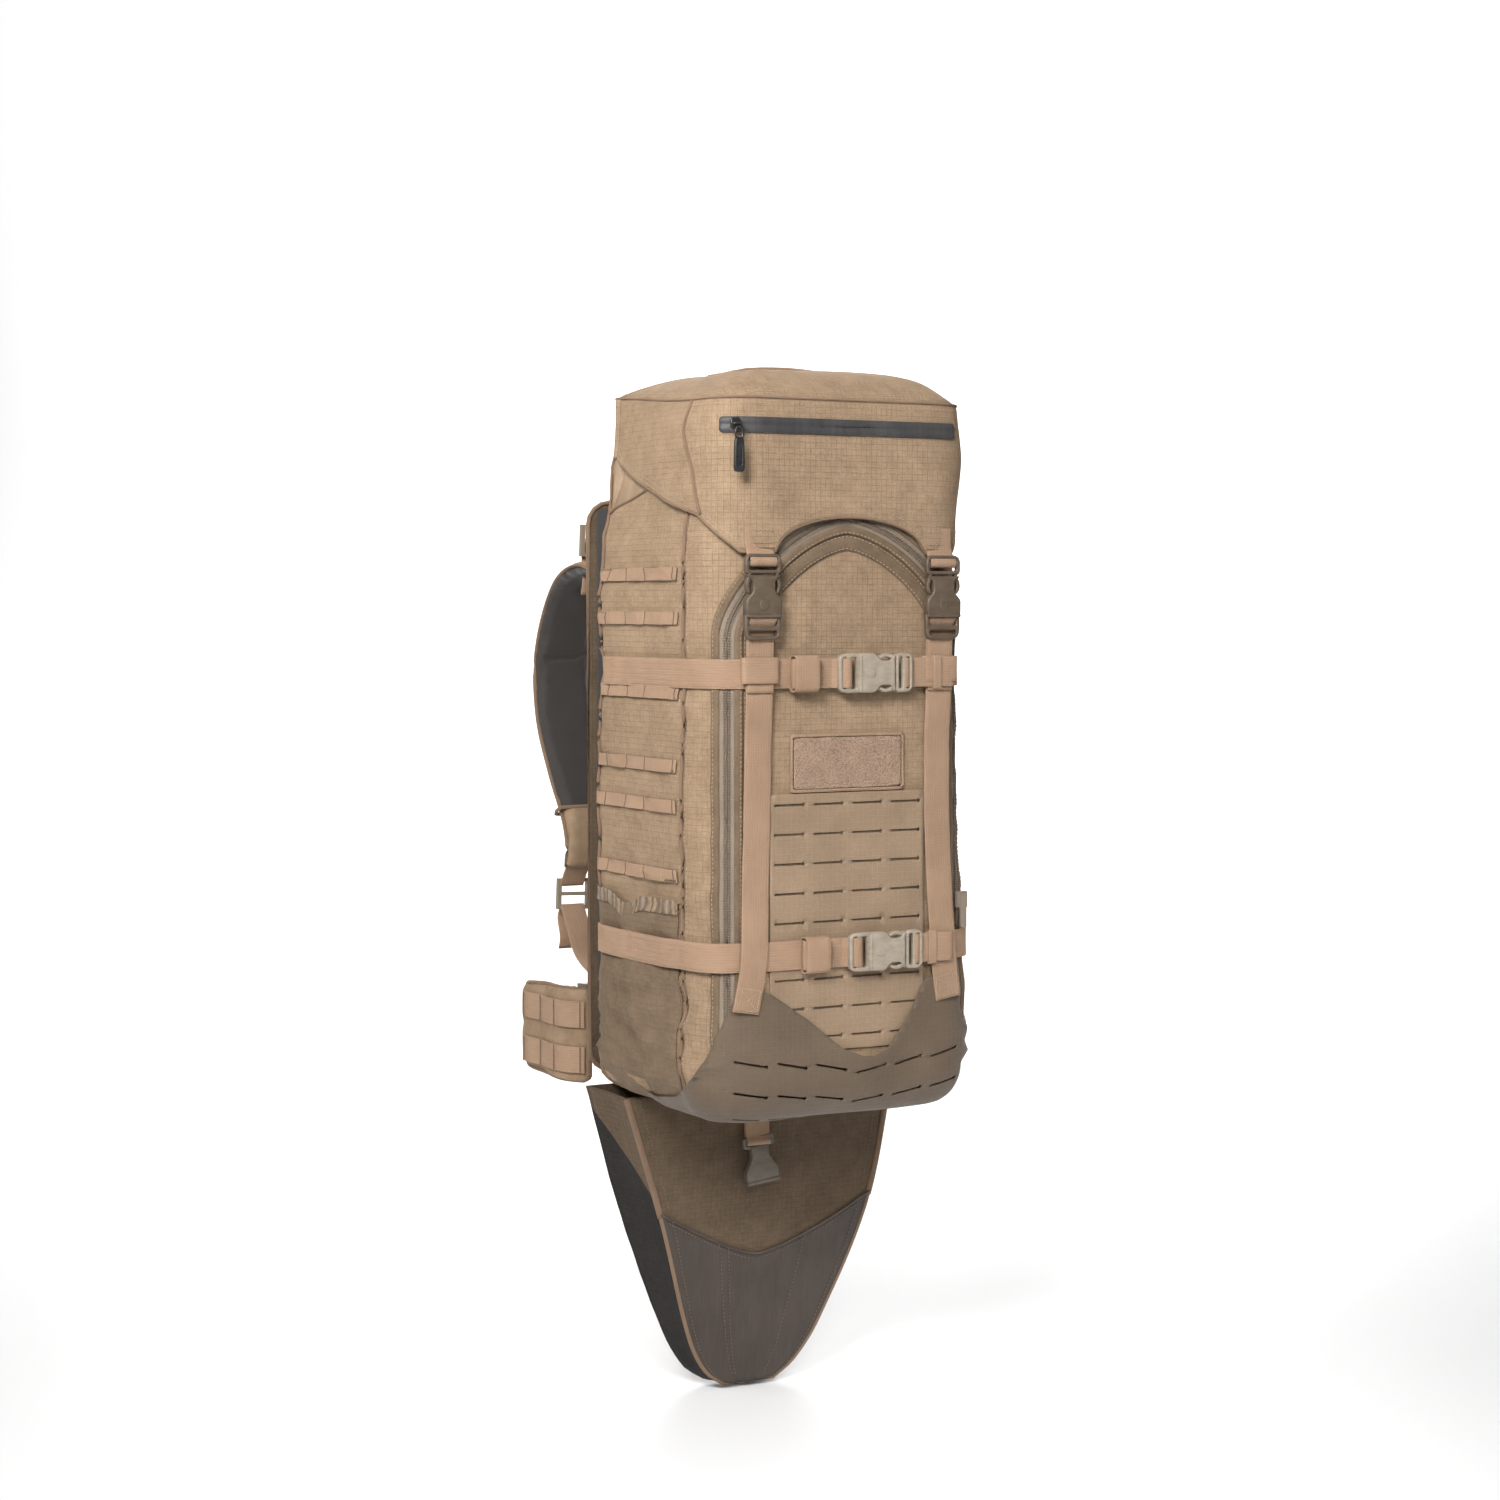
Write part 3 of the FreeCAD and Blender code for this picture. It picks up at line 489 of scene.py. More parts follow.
def bag_wrinkle(s, z):
    """Folds in the bag's cloth: long slack ones on the sides, few on the stiff front."""
    height = sizes().wrinkle * 1000.0
    side = min(max((abs(s) - S_ZIP + 2.0) / 22.0, 0.0), 1.0)
    back = min(max((abs(s) - S_BACK_SEAM) / 25.0, 0.0), 1.0)
    ridge = abs(flow(s / 62.0 + z / 90.0, z / 34.0, 0.0, 1.0))
    fold = 1.0 - min(ridge * 3.2, 1.0)
    soft = flow(s / 46.0, z / 30.0, 0.0, 2.0) * 0.9 + flow(s / 19.0, z / 15.0, 0.0, 3.0) * 0.3
    slack = 1.0 + 1.3 * math.exp(-((z - 70.0) / 55.0) ** 2)
    crease = 1.0 - min(abs(flow(s / 44.0 - z / 150.0, z / 64.0, 0.0, 5.0)) * 4.0, 1.0)
    front = flow(s / 70.0, z / 60.0, 0.0, 4.0) * 0.45 + crease * 0.32
    return height * ((soft * 1.3 + fold * 0.9) * side * slack * (1.0 - back) + front * (1 - side))


def section_at(s):
    """The section at a distance round it: its side, its point and its outward normal."""
    run = min(abs(s), HALF_ROUND)
    sign = -1.0 if s < 0 else 1.0
    base = np.array([np.interp(run, S_RUN, S_PATH[:, k]) for k in range(3)])
    normal = np.array([np.interp(run, S_RUN, S_NORMAL[:, k]) for k in range(3)])
    return sign, base, normal / np.linalg.norm(normal)


def pushed(section, push, z):
    """The section's point moved out by push and set at level z, and its normal."""
    sign, base, normal = section
    point = base + normal * push
    point[2] = z
    return point * (sign, 1.0, 1.0), normal * (sign, 1.0, 1.0)


def bag_point(s, z, lift=0.0, wrinkled=True):
    """A point of the bag's cloth and its outward normal, lifted off it by `lift` mm."""
    push = float(bag_swell(s, z)) + lift
    if wrinkled:
        push += bag_wrinkle(s, z)
    low = BOTTOM_ROUND - z
    if low > 0:
        push -= BOTTOM_ROUND - math.sqrt(max(BOTTOM_ROUND ** 2 - min(low, BOTTOM_ROUND) ** 2, 0))
    return pushed(section_at(s), push, z)


def curtain(name, s_values, rows, low, top, place):
    """A sheet between the levels low(s) and top(s); place(s, z, share) sets its points."""
    points = []
    uvs = []
    for share in np.linspace(0.0, 1.0, rows):
        for s in s_values:
            z = low(s) + (top(s) - low(s)) * share
            points.append(place(s, z, share))
            uvs.append((s, z))
    return new_piece(name, points, grid_faces(rows, len(s_values)), uvs)


def bag_sheet(name, s_values, top, lift=0.0, low=3.0, step=6.0):
    """A sheet on the bag from a low level up to top(s), over distances s round it."""
    rows = int(round((BAG_TOP - low) / step)) + 1
    return curtain(name, s_values, rows, lambda s: low, top,
                   lambda s, z, share: bag_point(s, z, lift)[0])


def bag_path(pairs, lift, step=5.0, wrinkled=True):
    """A smooth line on the bag through (s, z) pairs, with its outward normals."""
    flat = smooth_path([(s, z, 0.0) for s, z in pairs], step)
    found = [bag_point(s, z, lift, wrinkled) for s, z, unused in flat]
    return np.array([f[0] for f in found]), np.array([f[1] for f in found])


# ================================================================ finishes
class Finish:
    """A procedural material; its patterns are worked out in millimetres."""

    def __init__(self, name, use_uv=True):
        self.material = bpy.data.materials.new(name)
        self.material.use_nodes = True
        self.tree = self.material.node_tree
        self.tree.nodes.clear()
        self.shader = self.tree.nodes.new("ShaderNodeBsdfPrincipled")
        output = self.tree.nodes.new("ShaderNodeOutputMaterial")
        self.link(self.shader.outputs[0], output.inputs["Surface"])
        place = self.tree.nodes.new("ShaderNodeTexCoord")
        self.space = self.vector("SCALE", place.outputs["Object"], scale=1000.0)
        self.cloth = self.space
        if use_uv:
            self.cloth = self.vector("SCALE", place.outputs["UV"], scale=1000.0)
        split = self.tree.nodes.new("ShaderNodeSeparateXYZ")
        self.link(self.cloth, split.inputs[0])
        self.across = split.outputs[0]
        self.along = split.outputs[1]

    def link(self, value, socket):
        if isinstance(value, bpy.types.NodeSocket):
            self.tree.links.new(value, socket)
        else:
            socket.default_value = value

    def vector(self, operation, value, other=None, scale=None):
        node = self.tree.nodes.new("ShaderNodeVectorMath")
        node.operation = operation
        self.link(value, node.inputs[0])
        if other is not None:
            self.link(other, node.inputs[1])
        if scale is not None:
            node.inputs["Scale"].default_value = scale
        return node.outputs[0]

    def math(self, operation, *values):
        node = self.tree.nodes.new("ShaderNodeMath")
        node.operation = operation
        for value, socket in zip(values, node.inputs):
            self.link(value, socket)
        return node.outputs[0]

    def fit(self, value, low, high, to_low=0.0, to_high=1.0):
        """The value eased from low..high to to_low..to_high."""
        node = self.tree.nodes.new("ShaderNodeMapRange")
        node.interpolation_type = "SMOOTHSTEP"
        for socket, given in zip(node.inputs, (value, low, high, to_low, to_high)):
            self.link(given, socket)
        return node.outputs[0]

    def noise(self, size, detail=2.0, stretch=(1.0, 1.0, 1.0), where=None, rough=0.55):
        """Noise whose lumps are about `size` mm, stretched along each axis."""
        node = self.tree.nodes.new("ShaderNodeTexNoise")
        scaled = self.vector("MULTIPLY", self.space if where is None else where,
                             tuple(1.0 / (size * k) for k in stretch))
        self.link(scaled, node.inputs["Vector"])
        node.inputs["Scale"].default_value = 1.0
        node.inputs["Detail"].default_value = detail
        node.inputs["Roughness"].default_value = rough
        return node.outputs[0]

    def cells(self, size, where=None, feature="F1", output="Distance"):
        node = self.tree.nodes.new("ShaderNodeTexVoronoi")
        node.feature = feature
        scaled = self.vector("SCALE", self.space if where is None else where, scale=1.0 / size)
        self.link(scaled, node.inputs["Vector"])
        node.inputs["Scale"].default_value = 1.0
        return node.outputs[output]

    def wave(self, value, pitch, shift=0.0):
        """A smooth ridge every `pitch` mm of value, from 0 to 1."""
        turn = self.math("MULTIPLY_ADD", value, 2.0 * math.pi / pitch, shift)
        return self.math("MULTIPLY_ADD", self.math("SINE", turn), 0.5, 0.5)

    def lines(self, value, pitch, width):
        """1 on a line `width` mm wide every `pitch` mm of value, else 0."""
        part = self.math("PINGPONG", value, pitch / 2.0)
        return self.fit(part, width, width * 0.3)

    def total(self, *pairs):
        """The weighted sum of (value, weight) pairs."""
        found = None
        for value, weight in pairs:
            part = self.math("MULTIPLY", value, weight)
            found = part if found is None else self.math("ADD", found, part)
        return found

    def mix(self, factor, first, second):
        node = self.tree.nodes.new("ShaderNodeMix")
        node.data_type = "RGBA"
        self.link(factor, node.inputs[0])
        self.link(first, node.inputs[6])
        self.link(second, node.inputs[7])
        return node.outputs[2]

    def bump(self, height, depth, strength=1.0):
        """Relief from a height between 0 and 1, `depth` mm deep."""
        node = self.tree.nodes.new("ShaderNodeBump")
        node.inputs["Strength"].default_value = strength
        node.inputs["Distance"].default_value = depth / 1000.0
        self.link(height, node.inputs["Height"])
        self.link(node.outputs[0], self.shader.inputs["Normal"])

    def done(self, colour, roughness=0.8, **constants):
        """Set the surface; sockets named in constants take plain numbers or colours."""
        self.link(colour, self.shader.inputs["Base Color"])
        self.link(roughness, self.shader.inputs["Roughness"])
        for name, value in constants.items():
            self.shader.inputs[name.replace("_", " ")].default_value = value
        self.material.diffuse_color = self.shade_colour(colour)
        return self.material

    @staticmethod
    def shade_colour(colour):
        return (0.3, 0.22, 0.15, 1.0) if isinstance(colour, bpy.types.NodeSocket) else colour


def shade(colour, times, warm=0.0):
    """A colour made lighter or darker, and warmer if warm is above 0."""
    r, g, b = (channel * times for channel in tuple(colour)[:3])
    return (min(r * (1.0 + warm), 1.0), min(g, 1.0), min(b * (1.0 - warm), 1.0), 1.0)


def cloth_finish(name, colour, grid=5.0, grid_mark=0.55, fine=1.0, gloss=0.82, sheen=0.25):
    """Ripstop cloth: a raised square grid over a fine heathered weave."""
    f = Finish(name)
    net = f.math("MAXIMUM", f.lines(f.across, grid, 0.34), f.lines(f.along, grid, 0.34))
    weave = f.math("MULTIPLY", f.wave(f.across, 0.62), f.wave(f.along, 0.62))
    warp = f.noise(1.0, 3.0, (0.7, 9.0, 1.0), f.cloth, 0.7)
    weft = f.noise(1.0, 3.0, (9.0, 0.7, 1.0), f.cloth, 0.7)
    slub = f.math("ADD", warp, weft)
    cloud = f.noise(62.0, 3.0)
    wear = f.noise(13.0, 4.0, rough=0.65)
    tone = f.total((slub, 0.62), (cloud, 0.46), (wear, 0.52), (weave, 0.10 * fine))
    tone = f.math("MULTIPLY_ADD", net, -grid_mark * 0.24, tone)
    level = f.fit(tone, 0.72, 1.52)
    tint = f.mix(level, shade(colour, 0.62, 0.03), shade(colour, 1.30, -0.01))
    height = f.total((net, 0.55), (weave, 0.30 * fine), (slub, 0.35), (cloud, 0.8), (wear, 1.6))
    f.bump(height, 0.50, 0.85)
    rough = f.fit(tone, 0.8, 1.8, gloss + 0.06, gloss - 0.06)
    return f.done(tint, rough, Sheen_Weight=sheen, Sheen_Roughness=0.45,
                  Sheen_Tint=shade(colour, 1.9), Specular_IOR_Level=0.28)


def webbing_finish(name, colour, rib=1.35):
    """Woven strap: cross ribs, lengthwise yarn columns and a firm edge."""
    f = Finish(name)
    ribs = f.wave(f.along, rib)
    column = f.wave(f.across, 2.3)
    twill = f.wave(f.math("ADD", f.along, f.math("PINGPONG", f.across, 2.3)), rib)
    fuzz = f.noise(0.7, 2.0, (1.0, 1.0, 1.0), f.cloth)
    streak = f.noise(1.0, 3.0, (0.8, 22.0, 1.0), f.cloth, 0.7)
    cloud = f.noise(34.0, 3.0)
    tone = f.total((ribs, 0.10), (twill, 0.24), (column, 0.08), (streak, 0.42),
                   (fuzz, 0.28), (cloud, 0.34))
    level = f.fit(tone, 0.42, 1.02)
    tint = f.mix(level, shade(colour, 0.66, 0.03), shade(colour, 1.20))
    height = f.total((twill, 0.6), (ribs, 0.25), (column, 0.15), (fuzz, 0.3))
    f.bump(height, 0.5, 0.8)
    return f.done(tint, 0.78, Sheen_Weight=0.35, Sheen_Roughness=0.4,
                  Sheen_Tint=shade(colour, 1.6), Specular_IOR_Level=0.3)


def laminate_finish(name, colour):
    """Two cloths bonded into a stiff sheet: flat ripstop that takes a little light."""
    f = Finish(name)
    net = f.math("MAXIMUM", f.lines(f.across, 5.0, 0.3), f.lines(f.along, 5.0, 0.3))
    weave = f.math("MULTIPLY", f.wave(f.across, 0.7), f.wave(f.along, 0.7))
    warp = f.noise(1.0, 3.0, (0.7, 7.0, 1.0), f.cloth, 0.7)
    weft = f.noise(1.0, 3.0, (7.0, 0.7, 1.0), f.cloth, 0.7)
    cloud = f.noise(48.0, 3.0)
    tone = f.total((warp, 0.36), (weft, 0.36), (cloud, 0.5), (weave, 0.08), (net, 0.10))
    level = f.fit(tone, 0.42, 0.96)
    tint = f.mix(level, shade(colour, 0.76, 0.02), shade(colour, 1.22))
    f.bump(f.total((net, 0.5), (weave, 0.3), (warp, 0.3), (weft, 0.3)), 0.3, 0.6)
    return f.done(tint, 0.66, Sheen_Weight=0.12, Specular_IOR_Level=0.4)


def coated_finish(name, colour):
    """Rubber-coated cloth: a soft shine, scuffs and faint yarn lines."""
    f = Finish(name)
    weave = f.math("MULTIPLY", f.wave(f.across, 1.1), f.wave(f.along, 1.1))
    scuff = f.noise(20.0, 5.0, (1.0, 1.0, 2.2), rough=0.7)
    drag = f.noise(3.0, 3.0, (0.5, 12.0, 1.0), f.cloth)
    tone = f.total((scuff, 0.8), (drag, 0.4), (weave, 0.12))
    tint = f.mix(f.fit(tone, 0.42, 0.92), shade(colour, 0.72), shade(colour, 1.34))
    f.bump(f.total((weave, 0.4), (drag, 0.3), (scuff, 0.6)), 0.35, 0.5)
    rough = f.fit(scuff, 0.3, 0.7, 0.44, 0.62)
    return f.done(tint, rough, Specular_IOR_Level=0.42, Coat_Weight=0.06, Coat_Roughness=0.4)


def pile_finish(name, colour):
    """Loop pile: short fuzzy tufts."""
    f = Finish(name)
    tufts = f.cells(1.25, f.cloth)
    fuzz = f.noise(1.4, 4.0, where=f.cloth, rough=0.75)
    cloud = f.noise(18.0, 3.0, where=f.cloth)
    tone = f.total((tufts, -0.55), (fuzz, 0.9), (cloud, 0.4))
    tint = f.mix(f.fit(tone, 0.0, 0.75), shade(colour, 0.6, 0.03), shade(colour, 1.3))
    f.bump(f.total((tufts, -0.8), (fuzz, 0.8)), 1.1, 1.0)
    return f.done(tint, 0.95, Sheen_Weight=0.6, Sheen_Roughness=0.5,
                  Sheen_Tint=shade(colour, 1.5), Specular_IOR_Level=0.1)


def mesh_finish(name, colour):
    """Spacer mesh: staggered open cells in a knitted net."""
    f = Finish(name)
    pores = f.cells(3.1, f.cloth)
    knit = f.math("MULTIPLY", f.wave(f.across, 1.0), f.wave(f.along, 1.0))
    cloud = f.noise(30.0, 3.0)
    net = f.fit(pores, 0.28, 0.52)
    tone = f.total((net, 0.7), (knit, 0.2), (cloud, 0.3))
    tint = f.mix(f.fit(tone, 0.1, 1.0), shade(colour, 0.4), shade(colour, 2.2))
    f.bump(f.total((net, 0.9), (knit, 0.3)), 1.3, 0.9)
    return f.done(tint, 0.8, Sheen_Weight=0.3, Sheen_Roughness=0.4, Specular_IOR_Level=0.3)


def plastic_finish(name, colour, gloss=0.42):
    """Moulded plastic: a fine grain, flow marks, handling shine and small nicks."""
    f = Finish(name, use_uv=False)
    grain = f.noise(0.55, 3.0, rough=0.7)
    marks = f.noise(11.0, 4.0, (1.0, 1.0, 0.4))
    nick = f.fit(f.cells(3.7), 0.10, 0.03)
    tone = f.total((grain, 0.3), (marks, 0.7), (nick, 0.25))
    tint = f.mix(f.fit(tone, 0.3, 0.8), shade(colour, 0.82), shade(colour, 1.22))
    f.bump(f.total((grain, 0.7), (marks, 0.2), (nick, -0.5)), 0.12, 0.55)
    rough = f.fit(marks, 0.3, 0.7, gloss - 0.08, gloss + 0.12)
    return f.done(tint, rough, Specular_IOR_Level=0.5)


def metal_finish(name, colour, gloss=0.3):
    """Drawn aluminium: lengthwise polish lines and dull patches."""
    f = Finish(name, use_uv=False)
    drawn = f.noise(1.0, 3.0, (0.4, 0.4, 40.0), rough=0.7)
    dull = f.noise(24.0, 3.0)
    tint = f.mix(f.fit(drawn, 0.3, 0.7), shade(colour, 0.8), shade(colour, 1.1))
    f.bump(drawn, 0.05, 0.4)
    return f.done(tint, f.fit(dull, 0.3, 0.7, gloss, gloss + 0.2), Metallic=1.0)


def thread_finish(name, colour):
    """Twisted polyester thread."""
    f = Finish(name, use_uv=False)
    twist = f.noise(0.5, 2.0, (1.0, 1.0, 1.0))
    cloud = f.noise(15.0, 2.0)
    tint = f.mix(f.fit(f.total((twist, 0.5), (cloud, 0.5)), 0.3, 0.7),
                 shade(colour, 0.75), shade(colour, 1.2))
    f.bump(twist, 0.15, 0.6)
    return f.done(tint, 0.6, Sheen_Weight=0.2, Specular_IOR_Level=0.35)


def elastic_finish(name, colour):
    """Gathered elastic: close pleats over the cloth's colour, darker in the pleats' troughs as
    painted shade.
    """
    f = Finish(name)
    pleat = f.wave(f.math("ADD", f.across, f.math("MULTIPLY", f.noise(6.0, 2.0), 3.0)), 3.4)
    fuzz = f.noise(0.9, 3.0, where=f.cloth)
    tint = f.mix(f.fit(f.total((pleat, 0.7), (fuzz, 0.4)), 0.2, 1.0),
                 shade(colour, 0.55), shade(colour, 1.15))
    f.bump(f.total((pleat, 1.0), (fuzz, 0.2)), 1.0, 0.8)
    return f.done(tint, 0.8, Sheen_Weight=0.2, Specular_IOR_Level=0.3)


def floor_finish(name):
    """Matt studio paper."""
    f = Finish(name, use_uv=False)
    tooth = f.noise(2.5, 3.0)
    cloud = f.noise(900.0, 2.0)
    tint = f.mix(cloud, (0.90, 0.90, 0.90, 1.0), (0.93, 0.93, 0.93, 1.0))
    f.bump(tooth, 0.1, 0.1)
    return f.done(tint, 0.9, Specular_IOR_Level=0.1)


FINISHES = {}


def make_finishes():
    """Every material of the pack, from the colours in the panel."""
    c = colours()
    FINISHES.update(
        cloth=cloth_finish("ripstop_cloth", c.cloth),
        # The bag cloth darkened to 0.55 as painted shade: laid behind the slots, on the zip flies,
        # in the side pockets and inside the lid.
        lining=cloth_finish("lining_cloth", shade(c.cloth, 0.55), grid_mark=0.2, gloss=0.75),
        laminate=laminate_finish("laminate_sheet", c.laminate),
        # The bucket flap's laminate, darkened to 0.42 as painted shade for the light falling off
        # towards the bottom.
        flap=laminate_finish("laminate_shaded", shade(c.laminate, 0.42)),
        webbing=webbing_finish("webbing_tan", c.webbing),
        binding=webbing_finish("binding_tape", shade(c.webbing, 0.70), rib=0.9),
        dark_webbing=webbing_finish("webbing_black", shade(c.mesh, 1.4)),
        coated=coated_finish("coated_cloth", c.coated),
        # The bag cloth darkened to 0.36 as painted shade, for the tail, its gussets and the back
        # cover.
        dark_cloth=cloth_finish("shaded_ripstop", shade(c.cloth, 0.36)),
        black_cloth=cloth_finish("black_lining", shade(c.mesh, 0.9), grid_mark=0.2),
        coated_edge=coated_finish("coated_edge", shade(c.coated, 1.45)),
        grey_buckle=plastic_finish("buckle_grey", shade(c.pale_buckle, 0.42), 0.4),
        pile=pile_finish("loop_pile", c.pile),
        collar=coated_finish("collar_cloth", shade(c.cloth, 1.1)),
        mesh=mesh_finish("spacer_mesh", c.mesh),
        lid_buckle=plastic_finish("buckle_olive", c.lid_buckle),
        pale_buckle=plastic_finish("buckle_pale", c.pale_buckle, 0.36),
        zip_black=plastic_finish("zip_black", c.zip_black, 0.34),
        zip_tape=laminate_finish("zip_tape", shade(c.zip_tan, 0.9)),
        zip_rubber=coated_finish("zip_rubber", shade(c.zip_black, 2.6)),
        coil=plastic_finish("zip_coil", shade(c.zip_tan, 1.0), 0.3),
        frame_plastic=plastic_finish("frame_black", shade(c.zip_black, 1.2), 0.5),
        aluminium=metal_finish("stay_aluminium", (0.62, 0.62, 0.63, 1.0)),
        thread=thread_finish("seam_thread", c.thread),
        dark_thread=thread_finish("dark_thread", shade(c.thread, 0.35)),
        elastic=elastic_finish("gathered_elastic", shade(c.cloth, 0.8)),
        floor=floor_finish("studio_floor"),
    )


# ================================================================ repeats by node trees
SOCKETS = {"Seed": "NodeSocketInt", "Finish": "NodeSocketMaterial",
           "Geometry": "NodeSocketGeometry"}


class CurveGrower:
    """A node tree that sets one small form at every pitch along each curve."""

    def __init__(self, name, inputs):
        self.tree = bpy.data.node_groups.new(name, "GeometryNodeTree")
        for title in ("Geometry", *inputs, "Finish"):
            self.tree.interface.new_socket(
                title, in_out="INPUT", socket_type=SOCKETS.get(title, "NodeSocketFloat"))
        self.tree.interface.new_socket(
            "Geometry", in_out="OUTPUT", socket_type=SOCKETS["Geometry"])
        given = self.make("NodeGroupInput")
        self.given = given.outputs
        spread = self.make("GeometryNodeResampleCurve", self.given["Geometry"])
        spread.mode = "LENGTH"
        self.join(self.given["Pitch"], spread.inputs["Length"])
        self.points = self.make("GeometryNodeCurveToPoints", spread.outputs[0])
        self.points.mode = "EVALUATED"

    def make(self, kind, *feeds):
        """A new node with its first inputs joined to the given outputs."""
        node = self.tree.nodes.new(kind)
        for feed, socket in zip(feeds, node.inputs):
            self.join(feed, socket)
        return node

    def join(self, output, socket):
        self.tree.links.new(output, socket)

    def math(self, operation, first, second):
        """One arithmetic node; the second value is an output or a number."""
        node = self.make("ShaderNodeMath", first)
        node.operation = operation
        if isinstance(second, float):
            node.inputs[1].default_value = second
        else:
            self.join(second, node.inputs[1])
        return node.outputs[0]

    def plant(self, form, rotation, scale=None):
        """Put the form on every point, make it real and give it the finish."""
        place = self.make("GeometryNodeInstanceOnPoints")
        self.join(self.points.outputs["Points"], place.inputs["Points"])
        self.join(form, place.inputs["Instance"])
        self.join(rotation, place.inputs["Rotation"])
        if scale is not None:
            self.join(scale, place.inputs["Scale"])
        real = self.make("GeometryNodeRealizeInstances", place.outputs[0])
        paint = self.make("GeometryNodeSetMaterial", real.outputs[0])
        self.join(self.given["Finish"], paint.inputs["Material"])
        self.make("NodeGroupOutput", paint.outputs[0])
        return self.tree


def stitch_tree():
    """Short rounded dashes of thread set along every curve it is given."""
    tree = CurveGrower("stitches", ("Pitch", "Length", "Radius", "Seed"))
    dash = tree.make("GeometryNodeMeshUVSphere")
    dash.inputs["Segments"].default_value = 6
    dash.inputs["Rings"].default_value = 4
    tree.join(tree.given["Radius"], dash.inputs["Radius"])
    stretch = tree.math("DIVIDE", tree.given["Length"], tree.given["Radius"])
    vary = tree.make("FunctionNodeRandomValue")
    vary.data_type = "FLOAT"
    vary.inputs[2].default_value = 0.82
    vary.inputs[3].default_value = 1.12
    tree.join(tree.given["Seed"], vary.inputs["Seed"])
    size = tree.make("ShaderNodeCombineXYZ")
    size.inputs[0].default_value = 1.0
    size.inputs[1].default_value = 1.0
    tree.join(tree.math("MULTIPLY", tree.math("MULTIPLY", stretch, 0.5), vary.outputs[1]),
              size.inputs[2])
    turn = tree.make("FunctionNodeAlignEulerToVector")
    turn.axis = "Z"
    tree.join(tree.points.outputs["Tangent"], turn.inputs["Vector"])
    return tree.plant(dash.outputs["Mesh"], turn.outputs[0], size.outputs[0])


def coil_tree():
    """Zip coils: a flat tooth across every curve at each pitch."""
    tree = CurveGrower("zip_coils", ("Pitch", "Width", "Rise"))
    size = tree.make("ShaderNodeCombineXYZ", tree.given["Width"], tree.given["Rise"],
                     tree.math("MULTIPLY", tree.given["Pitch"], 0.2))
    tooth = tree.make("GeometryNodeMeshIcoSphere")
    tooth.inputs["Radius"].default_value = 0.5
    tooth.inputs["Subdivisions"].default_value = 1
    form = tree.make("GeometryNodeTransform", tooth.outputs[0])
    tree.join(size.outputs[0], form.inputs["Scale"])
    return tree.plant(form.outputs[0], tree.points.outputs["Rotation"])


def grown(name, paths, tree, values, normals=None):
    """Run a node tree over smooth paths (bag mm) and return the plain mesh it makes."""
    curve = bpy.data.curves.new(name, "CURVE")
    curve.dimensions = "3D"
    for index, path in enumerate(paths):
        spline = curve.splines.new("POLY")
        spline.points.add(len(path) - 1)
        placed = to_row(path)
        tilts = tilt_of(path, normals[index]) if normals is not None else None
        for k, point in enumerate(spline.points):
            point.co = (*placed[k], 1.0)
            if tilts is not None:
                point.tilt = tilts[k]
    curve.twist_mode = "Z_UP"
    holder = bpy.data.objects.new(name, curve)
    bpy.context.scene.collection.objects.link(holder)
    modifier = holder.modifiers.new("grow", "NODES")
    modifier.node_group = tree
    for item in tree.interface.items_tree:
        if item.item_type == "SOCKET" and item.in_out == "INPUT" and item.name in values:
            modifier[item.identifier] = values[item.name]
    return baked(holder)


def tilt_of(path, normals):
    """Tilt of each point so that a Z-up curve's normal turns to the wanted one."""
    tangent, wanted = path_normals(np.asarray(path, float), normals)
    up = np.array([0.0, 0.0, 1.0])
    level = np.cross(tangent, up)
    level = unit(np.where(np.abs(level) < 1e-6, [1.0, 0.0, 0.0], level))
    other = np.cross(level, tangent)
    return np.arctan2(np.sum(wanted * other, axis=1), np.sum(wanted * level, axis=1))


TREES = {}


def shared_tree(build):
    """The tree that build makes, made once."""
    if build not in TREES:
        TREES[build] = build()
    return TREES[build]


def stitches(name, paths, body="pack", finish="thread", pitch=None, radius=0.42, seed=1):
    """Rows of stitches along paths, as one plain mesh that rides on a body."""
    length = sizes().stitch
    tree = shared_tree(stitch_tree)
    made = grown(name, paths, tree, {
        "Pitch": (pitch or length * 1380.0) / 1000.0, "Length": length,
        "Radius": radius / 1000.0, "Seed": seed, "Finish": FINISHES[finish]})
    made.data.shade_smooth()
    return dress(made, None, body)


def coils(name, paths, normals, width, rise, body="pack", finish="coil", pitch=None):
    """Zip coils along paths, with their teeth facing the given normals."""
    tree = shared_tree(coil_tree)
    made = grown(name, paths, tree, {
        "Pitch": pitch / 1000.0 if pitch else sizes().tooth_pitch, "Width": width / 1000.0,
        "Rise": rise / 1000.0, "Finish": FINISHES[finish]}, normals)
    return dress(made, None, body)


# ================================================================ bag
def bag_rim(s):
    """Height of the bag's upper seam, which drops towards the back."""
    share = side_share(s)
    back = ease(abs(s), S_BACK_SEAM, S_BACK_SEAM + 30.0)
    return BAG_TOP - 6.0 - (20.0 * ease(share, 0.0, 0.3) + 38.0 * share) * (1.0 - back)


def z_run(low, high, step=7.0):
    """Even levels from low to high."""
    return np.linspace(low, high, max(int(round((high - low) / step)), 1) + 1)


def s_run(start, stop, step=7.0):
    """Even distances round the bag."""
    return np.linspace(start, stop, max(int(round(abs(stop - start) / step)), 1) + 1)


